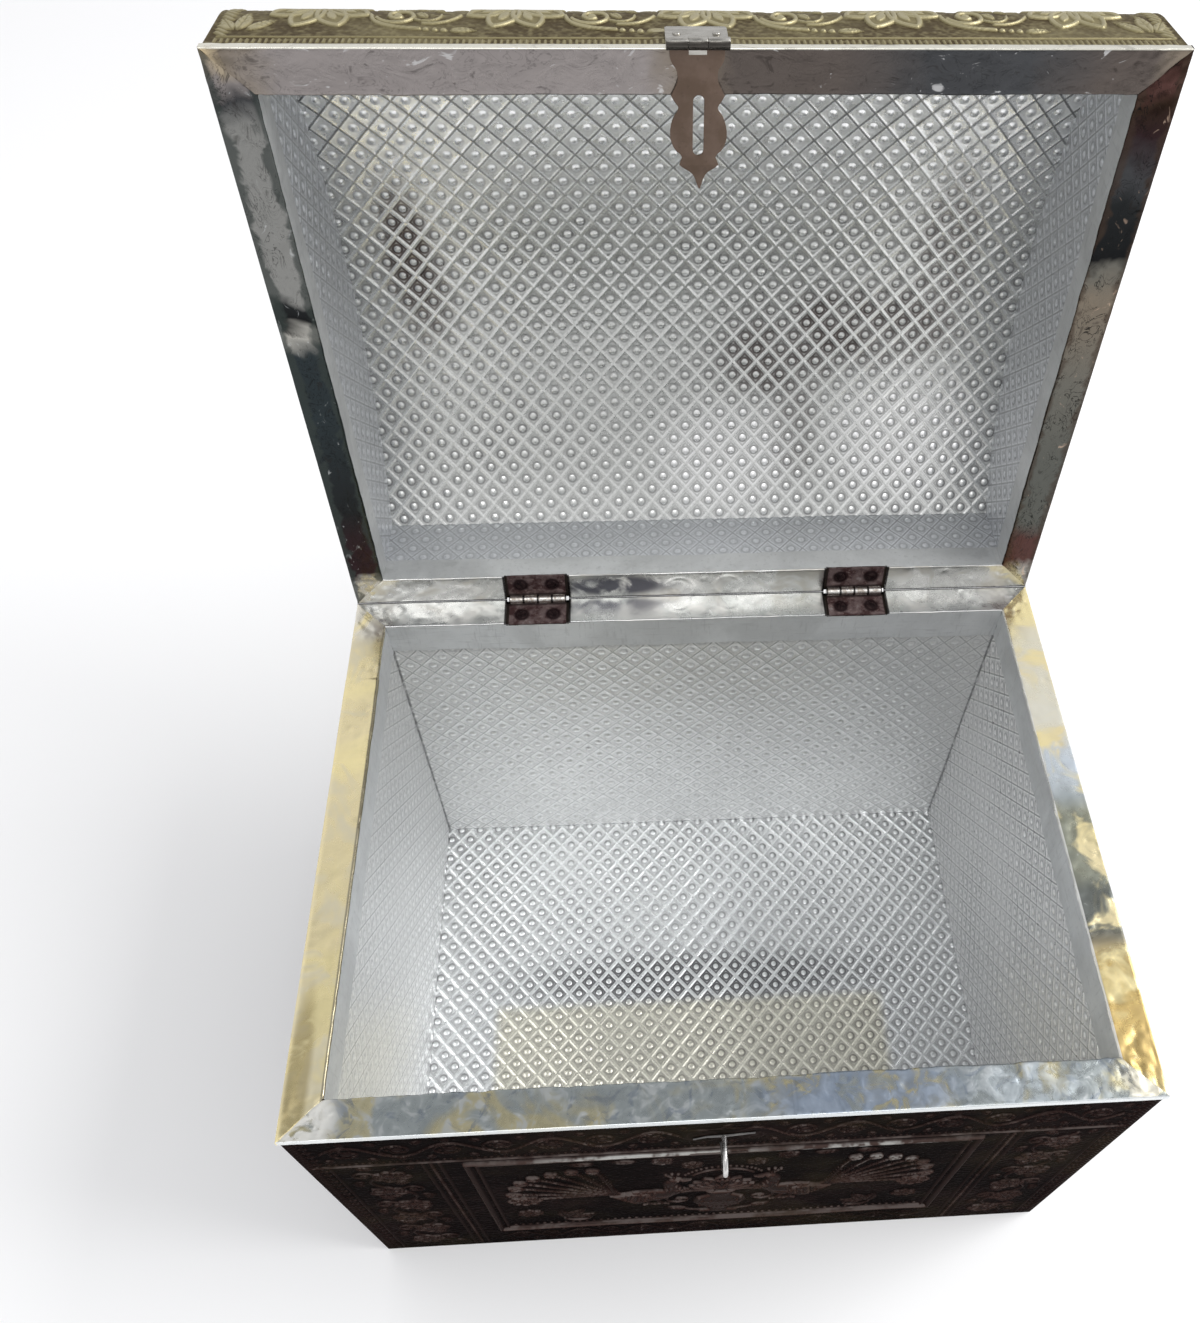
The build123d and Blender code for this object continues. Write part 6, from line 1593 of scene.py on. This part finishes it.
strip("box_strip_front", W, box_at((1, 0), (0, 1)), FOLD_IN_BOX, "box_strip_front", "strip_box_front", "box", 101, joint=22.0, dent=1.6, wander=2.6, fold_mat="fold_box")
strip("box_strip_back", W, box_at((-1, 0), (0, -1)), FOLD_IN_BOX, "box_strip_back", "strip_box_back", "box", 121, notch=True, dent=1.2, knocks=((8.0, 3.0, 6.0, 0.16), (-14.5, 4.0, 5.0, 0.14), (9.0, 4.0, 3.0, 0.1)), fold_mat="fold_box")
strip("box_strip_left", D, box_at((0, -1), (1, 0)), FOLD_IN_BOX, "box_strip_left", "strip_box_side", "box", 141, joint=-74.0, dent=0.8, fold_mat="fold_box")
strip("box_strip_right", D, box_at((0, 1), (-1, 0)), FOLD_IN_BOX, "box_strip_right", "strip_box_side", "box", 161, dent=1.4, wander=1.6, fold_mat="fold_box")
strip("lid_strip_front", W, lid_at((-1, 0), (0, 1)), FOLD_IN_LID, "lid_strip_front", "strip_lid_front", "lid", 181, dent=1.0, world=lid_world, fold_mat="fold_lid")
strip("lid_strip_back", W, lid_at((1, 0), (0, -1)), FOLD_IN_LID, "lid_strip_back", "strip_lid_back", "lid", 201, notch=True, dent=1.4, knocks=((-8.0, 4.0, 6.5, 0.16), (14.0, 5.0, 6.0, 0.14), (-9.0, 5.0, 3.4, 0.1)), world=lid_world, fold_mat="fold_lid")
strip("lid_strip_left", D, lid_at((0, 1), (1, 0)), FOLD_IN_LID, "lid_strip_left", "strip_lid_left", "lid", 221, dent=1.2, world=lid_world, fold_mat="fold_lid")
strip("lid_strip_right", D, lid_at((0, -1), (-1, 0)), FOLD_IN_LID, "lid_strip_right", "strip_lid_right", "lid", 241, dent=1.2, world=lid_world, fold_mat="fold_lid")


# ------------------------------------------------------------------ round bars, tubes and plates
def tube_faces(rings, closed=True):
    """Faces of rings of equal size joined in order, with capped ends."""
    k, m = len(rings), len(rings[0])
    idx = np.arange(k * m).reshape(k, m)
    nxt = np.roll(idx, -1, 1)
    sides = np.stack([idx[:-1], nxt[:-1], nxt[1:], idx[1:]], -1).reshape(-1, 4)
    caps = np.stack([idx[0][::-1], idx[-1]])
    return np.concatenate(rings), [sides, caps]


def swept(path, radius, sides=28):
    """A round bar along a path in one plane."""
    path = np.asarray(path, float)
    tan = np.gradient(path, axis=0)
    tan /= np.linalg.norm(tan, axis=1)[:, None]
    ref = np.array([1.0, 0, 0])
    rings = []
    for p, t, r in zip(path, tan, np.broadcast_to(radius, len(path))):
        n = np.cross(t, ref)
        n /= np.linalg.norm(n)
        b = np.cross(t, n)
        a = np.linspace(0, 2 * math.pi, sides, endpoint=False)
        rings.append(p + r * (np.cos(a)[:, None] * n + np.sin(a)[:, None] * b))
    return tube_faces(rings)


st_z = H - STAPLE_TOP
bow = STAPLE_DROP / 2
y_eye = -HY - STAPLE_OUT + STAPLE_R + bow
leg = np.linspace(-HY + BOARD_OUT + 8.0, y_eye, 26)
turn = np.radians(np.linspace(90, 270, 34))[1:-1]
path = np.concatenate([
    np.stack([np.full(26, STAPLE_X), leg, np.full(26, st_z)], -1),
    np.stack([np.full(32, STAPLE_X), y_eye + bow * np.cos(turn), st_z - bow + bow * np.sin(turn)], -1),
    np.stack([np.full(26, STAPLE_X), leg[::-1], np.full(26, st_z - STAPLE_DROP)], -1),
])
path[:, 0] += 0.05 * np.sin(np.arange(len(path)) * 0.16)
co, faces = swept(path, STAPLE_R + 0.02 * np.sin(np.arange(len(path)) * 0.9))
make_mesh("staple", co, faces, "wire_bright", "box", ("staple",), sharp=60.0)

# flat wire keeper behind the staple
kx = np.linspace(-11, 11, 61)
upper = np.interp(kx, [-11, -6.5, 0, 6.5, 11], [-1.6, 1.3, 1.5, 2.6, 3.4])
lower = np.interp(kx, [-11, -6.5, 0, 6.5, 11], [-3.2, -0.9, -1.5, 0.4, 1.6])
sm = np.ones(7) / 7
upper, lower = [np.convolve(np.pad(v, 3, mode="edge"), sm, mode="valid") for v in (upper, lower)]
rings = []
for x, a, b in zip(kx, upper, lower):
    mid_, hz = (a + b) / 2, (a - b) / 2
    t = np.linspace(0, 2 * math.pi, 20, endpoint=False)
    cz = np.sign(np.sin(t)) * np.abs(np.sin(t)) ** 0.6 * hz
    cy = np.sign(np.cos(t)) * np.abs(np.cos(t)) ** 0.6 * 0.2
    rings.append(np.stack([np.full(20, STAPLE_X + x), -HY + 0.14 + cy, st_z + mid_ + cz], -1))
co, faces = tube_faces(rings)
make_mesh("staple_keeper", co, [f[:, ::-1] for f in faces], "wire_dull", "box", ("staple_keeper",), sharp=60.0)


def screws(name, spots, frame_of, node, body):
    """Countersunk heads with a driver's slot, each in its own little frame: x, y across, z out of the leaf."""
    cos_, fs, n0 = [], [], 0
    for sx, sy, rot in spots:
        r, half, deep = 2.12, 0.3, 0.5
        t0 = math.asin(half / r)
        up = np.linspace(t0, math.pi - t0, 25)
        caps = []
        for s in (1, -1):
            ring = np.stack([r * np.cos(up), s * r * np.sin(up)], -1)
            caps.append(ring if s > 0 else ring[::-1])
        verts, faces = [], []

        def add(pts, z):
            k = len(verts)
            verts.extend([(p[0], p[1], zz) for p, zz in zip(pts, np.broadcast_to(z, len(pts)))])
            return list(range(k, k + len(pts)))
        tops, bots = [], []
        dome = 0.10
        for c in caps:
            inner = add(c * 0.93, dome)
            # the slot's edge stays straight where the dome's ring is drawn in
            outer = add(c, -0.05)
            low = add(c, -deep)
            tops.append((inner, outer, low))
        for inner, outer, low in tops:
            faces.append(inner)
            m = len(inner)
            for k in range(m - 1):
                faces.append([inner[k + 1], inner[k], outer[k], outer[k + 1]])
                faces.append([outer[k + 1], outer[k], low[k], low[k + 1]])
            # slot wall: straight face from the first to the last point
            faces.append([inner[0], inner[-1], outer[-1], low[-1], low[0], outer[0]])
        a, b = tops[0][2], tops[1][2]
        faces.append([a[0], a[-1], b[0], b[-1]])
        # underside: cone to the shank
        ring = a + b
        shank = add(np.array([[1.15 * math.cos(x), 1.15 * math.sin(x)] for x in np.linspace(t0, 2 * math.pi + t0, len(ring), endpoint=False)]), -1.2)
        tip = add(np.array([[1.0 * math.cos(x), 1.0 * math.sin(x)] for x in np.linspace(t0, 2 * math.pi + t0, len(ring), endpoint=False)]), -8.0)
        m = len(ring)
        for k in range(m):
            faces.append([ring[(k + 1) % m], ring[k], shank[k], shank[(k + 1) % m]])
            faces.append([shank[(k + 1) % m], shank[k], tip[k], tip[(k + 1) % m]])
        faces.append(tip[::-1])
        c, s = math.cos(rot), math.sin(rot)
        v = np.array(verts)
        v[:, :2] = v[:, :2] @ np.array([[c, s], [-s, c]])
        v = frame_of(v + [sx, sy, 0])
        cos_.append(v)
        fs += [[i + n0 for i in f] for f in faces]
        n0 += len(v)
    me = bpy.data.meshes.new(name)
    me.from_pydata((np.concatenate(cos_) / 1000).tolist(), [], fs)
    bm = bmesh.new()
    bm.from_mesh(me)
    bmesh.ops.remove_doubles(bm, verts=bm.verts, dist=1e-7)
    bmesh.ops.recalc_face_normals(bm, faces=bm.faces)
    bm.to_mesh(me)
    bm.free()
    me.polygons.foreach_set("use_smooth", np.ones(len(me.polygons), bool))
    me.set_sharp_from_angle(angle=math.radians(30))
    ob = bpy.data.objects.new(name, me)
    bpy.context.scene.collection.objects.link(ob)
    me.materials.append(MATERIALS["screw_dark"])
    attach(ob, body)
    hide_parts(node)
    return ob


spots = [(hx + sx, AXIS_Y - 8.0, rot) for (hx, sx), rot in zip([(a, b) for a in (-HINGE_X, HINGE_X) for b in (-7, 7)], (0.5, 2.2, 1.3, 2.8))]
screws("box_hinge_screws", spots, lambda v: v + [0, 0, H - 0.3], "box_hinge_screws", "box")
screws("lid_hinge_screws", [(a, b, c + 0.7) for a, b, c in spots], lambda v: lid_world(v * [1, 1, -1] + [0, 0, 0.3]), "lid_hinge_screws", "lid")

# softened edges on the hinge leaves that are carried over
for node in ("hinge_box_leaf_left", "hinge_box_leaf_right", "hinge_lid_leaf_left", "hinge_lid_leaf_right"):
    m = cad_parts[node].modifiers.new("edge", "BEVEL")
    m.width, m.segments, m.limit_method, m.angle_limit = 0.00022, 2, "ANGLE", math.radians(50)


def flat_plate(outlines, thick, edge):
    """Vertices and faces (millimetres) of a plate with holes and rounded edges, lying in local x, y with its middle at z = 0."""
    cu = bpy.data.curves.new("tmp", "CURVE")
    cu.dimensions = "2D"
    cu.fill_mode = "BOTH"
    for pts in outlines:
        sp = cu.splines.new("POLY")
        sp.points.add(len(pts) - 1)
        sp.points.foreach_set("co", np.concatenate([pts, np.zeros((len(pts), 1)), np.ones((len(pts), 1))], 1).astype(np.float32).ravel())
        sp.use_cyclic_u = True
    cu.offset = -edge
    cu.extrude = thick / 2 - edge
    cu.bevel_depth = edge
    cu.bevel_resolution = 2
    ob = bpy.data.objects.new("tmp", cu)
    me = bpy.data.meshes.new_from_object(ob)
    co = np.array([v.co[:] for v in me.vertices])
    faces = [list(p.vertices) for p in me.polygons]
    bpy.data.objects.remove(ob)
    bpy.data.curves.remove(cu)
    bpy.data.meshes.remove(me)
    return co, faces


def ring_tube(x0, x1, ro, ri, seg=40, edge=0.12):
    """A short tube about local x with eased rims."""
    a = np.linspace(0, 2 * math.pi, seg, endpoint=False)
    prof = [(x0, ri), (x0, ro - edge), (x0 + edge * 0.35, ro - edge * 0.35), (x0 + edge, ro), (x1 - edge, ro), (x1 - edge * 0.35, ro - edge * 0.35), (x1, ro - edge), (x1, ri)]
    co = np.array([[(x, r * math.cos(t), r * math.sin(t)) for t in a] for x, r in prof])
    idx = np.arange(len(prof) * seg).reshape(len(prof), seg)
    faces = []
    for k in range(len(prof)):
        r0, r1 = idx[k], idx[(k + 1) % len(prof)]
        for j in range(seg):
            faces.append([r0[j], r0[(j + 1) % seg], r1[(j + 1) % seg], r1[j]])
    return co.reshape(-1, 3), faces


def hax_world(p):
    """Frame of the hasp's axis on the lid (x along the pin, y down the closed front, z out) to where it stands now."""
    q = np.stack([p[..., 0] + HASP_X, p[..., 1] - HY - HASP_OUT, p[..., 2] - HASP_DOWN], -1)
    return lid_world(q)


def join(name, bits, place, material, body, nodes, sharp=35.0, recalc=True):
    cos_, fs, n0 = [], [], 0
    for co, faces in bits:
        cos_.append(np.asarray(co, float))
        fs += [[int(i) + n0 for i in f] for f in faces]
        n0 += len(co)
    v = place(np.concatenate(cos_)) / 1000
    me = bpy.data.meshes.new(name)
    me.from_pydata(v.tolist(), [], fs)
    bm = bmesh.new()
    bm.from_mesh(me)
    bmesh.ops.remove_doubles(bm, verts=bm.verts, dist=2e-6)
    bmesh.ops.dissolve_degenerate(bm, edges=bm.edges, dist=1e-7)
    if recalc:
        bmesh.ops.recalc_face_normals(bm, faces=bm.faces)
    bm.to_mesh(me)
    bm.free()
    me.polygons.foreach_set("use_smooth", np.ones(len(me.polygons), bool))
    me.set_sharp_from_angle(angle=math.radians(sharp))
    ob = bpy.data.objects.new(name, me)
    bpy.context.scene.collection.objects.link(ob)
    me.materials.append(MATERIALS[material])
    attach(ob, body)
    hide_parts(*nodes)
    return ob


def rounded(x0, x1, y0, y1, r, n=7):
    pts = []
    for cx, cy, a in ((x1 - r, y1 - r, 0), (x0 + r, y1 - r, 90), (x0 + r, y0 + r, 180), (x1 - r, y0 + r, 270)):
        pts.append(arc(cx, cy, r, a, a + 90, n))
    return np.concatenate(pts)


HALF_W = [
    (2.05, 8.5), (4.6, 8.35), (6.4, 7.6), (7.8, 6.6), (9.9, 6.2), (11.7, 6.5), (13.8, 7.5), (15.6, 8.45),
    (17.4, 7.4), (18.9, 6.35), (20.1, 6.5), (21.8, 7.7), (24.2, 8.65), (26.6, 9.1), (29.0, 9.0), (31.4, 8.2),
    (32.8, 7.2), (33.7, 6.1), (34.9, 5.45), (36.2, 6.0), (37.3, 6.4), (38.5, 4.8), (39.8, 2.7), (41.7, 1.45),
    (43.7, 0.75), (45.1, 0.2),
]


def rounded_run(keys, n=6):
    """The same outline with its soft corners drawn as a curve; the sharp ones stay."""
    k = np.array(keys, float)
    out = [k[0]]
    sharp_at = {0, 7, 18, 20, len(k) - 1}
    for i in range(len(k) - 1):
        p0, p1, p2, p3 = k[max(i - 1, 0)], k[i], k[i + 1], k[min(i + 2, len(k) - 1)]
        m1 = (p2 - p1) if i in sharp_at else (p2 - p0) / 2
        m2 = (p2 - p1) if (i + 1) in sharp_at else (p3 - p1) / 2
        for t in np.linspace(0, 1, n + 1)[1:]:
            h00, h10, h01, h11 = 2 * t ** 3 - 3 * t * t + 1, t ** 3 - 2 * t * t + t, -2 * t ** 3 + 3 * t * t, t ** 3 - t * t
            out.append(h00 * p1 + h10 * m1 + h01 * p2 + h11 * m2)
    return np.array(out)


lean, lean_0 = 0.0295, -0.25
run_ = rounded_run(HALF_W)
right = np.stack([lean_0 + lean * run_[:, 0] + run_[:, 1], run_[:, 0]], -1)
left = np.stack([lean_0 + lean * run_[:, 0] - run_[:, 1], run_[:, 0]], -1)[::-1]
outline = np.concatenate([right, left])
sx_ = lean_0 + lean * 24.8
slot_out = np.concatenate([arc(sx_, 34.2 - 1.75, 1.75, 0, 180, 13), arc(sx_, 15.4 + 1.75, 1.75, 180, 360, 13)])
co, faces = flat_plate([outline, slot_out], 0.9, 0.13)
co[:, 2] += 1.35
bits = [(co, faces)]
join("hasp_plate", bits, hax_world, "hasp_brown", "hasp", ("hasp_plate",))
tab, tab_f = flat_plate([rounded(-2.85, 2.85, -0.2, 3.6, 0.15, 3)], 0.94, 0.1)
tab[:, 2] += 1.36
join("hasp_plate_barrel", [(tab, tab_f), ring_tube(-2.93, 2.93, HASP_R, 0.8)], hax_world, "nickel", "hasp", ("hasp_plate",))

# short leaf on the lid's front: local y here runs up the lid's front
outer = 19.5 / 2 - 2.95 - 0.08
leaf_co, leaf_f = flat_plate([rounded(-9.75, 9.75, 0.1, HASP_DOWN + 13.0 - 1.95 + 1.95, 1.2)], 0.93, 0.14)
leaf_co = np.stack([leaf_co[:, 0], HASP_OUT - 0.475 - leaf_co[:, 2], HASP_DOWN + leaf_co[:, 1]], -1)
bits = [(leaf_co, leaf_f)]
for s in (-1, 1):
    x0 = s * (19.5 / 2 - outer / 2) - outer / 2
    wrap, wrap_f = flat_plate([rounded(x0, x0 + outer, -0.3, HASP_DOWN + 0.4, 0.1, 3)], 0.8, 0.08)
    bits.append((np.stack([wrap[:, 0], 1.38 - wrap[:, 2], wrap[:, 1]], -1), wrap_f))
    bits.append(ring_tube(x0, x0 + outer, HASP_R, 0.72))
join("hasp_leaf", bits, hax_world, "nickel", "lid", ("hasp_leaf",))

# ------------------------------------------------------------------ floor, light and camera
floor = bpy.data.meshes.new("floor")
floor.from_pydata([(-9, -9, 0), (9, -9, 0), (9, 9, 0), (-9, 9, 0)], [], [(0, 1, 2, 3)])
floor_ob = bpy.data.objects.new("floor", floor)
bpy.context.scene.collection.objects.link(floor_ob)
fmat = bpy.data.materials.new("floor_white")
fmat.use_nodes = True
fb = fmat.node_tree.nodes["Principled BSDF"]
fb.inputs["Base Color"].default_value = (0.86, 0.86, 0.86, 1)
fb.inputs["Roughness"].default_value = 0.9
fb.inputs["Specular IOR Level"].default_value = 0.1
floor.materials.append(fmat)

world = bpy.data.worlds.new("studio")
bpy.context.scene.world = world
world.use_nodes = True
wt = world.node_tree
bg = wt.nodes["Background"]
wn = Nodes(wt)
wv = wt.nodes.new("ShaderNodeTexCoord").outputs["Generated"]
wx, wy, wz = axes(wn, wv)
sky = wn.mix(wn.ramp(wz, 0.0, 0.45), (0.74, 0.74, 0.74), (0.98, 0.98, 1.0))
sky = wn.mix(wn.ramp(wz, 0.78, 0.97), sky, (0.54, 0.55, 0.57))
wn.wire(sky, bg.inputs["Color"])
bg.inputs["Strength"].default_value = 0.92


def area(name, loc, target, size, power, colour=(1, 1, 1)):
    la = bpy.data.lights.new(name, "AREA")
    la.shape = "RECTANGLE"
    la.size, la.size_y = size
    la.energy = power
    la.color = colour
    ob = bpy.data.objects.new(name, la)
    ob.location = loc
    ob.rotation_mode = "QUATERNION"
    ob.rotation_quaternion = (Vector(target) - Vector(loc)).to_track_quat("-Z", "Y")
    bpy.context.scene.collection.objects.link(ob)
    return ob


area("key", (2.15, 0.08, 2.05), (0, 0, 0.1), (1.6, 1.6), 60)
area("front", (-0.1, -1.1, 2.3), (0, 0.05, 0.1), (1.5, 1.1), 14)

cam = bpy.data.cameras.new("camera")
cam.sensor_width = 36
cam.sensor_fit = "AUTO"
cam.lens = 31.4928
cam.shift_x, cam.shift_y = -0.083691, 0.018744
cam.clip_start, cam.clip_end = 0.01, 60
cam_ob = bpy.data.objects.new("camera", cam)
bpy.context.scene.collection.objects.link(cam_ob)
right = Vector((0.997854, -0.058509, 0.029391))
down = Vector((-0.030457, -0.812131, -0.582679))
fwd = Vector((0.057961, 0.580534, -0.812171))
rot = Matrix((right, -down, -fwd)).transposed()
cam_ob.matrix_world = Matrix.Translation(Vector((-0.0256386, -0.2244909, 0.5955979))) @ rot.to_4x4()
bpy.context.scene.camera = cam_ob

bpy.context.scene.view_settings.view_transform = "Standard"
bpy.context.scene.view_settings.look = "None"
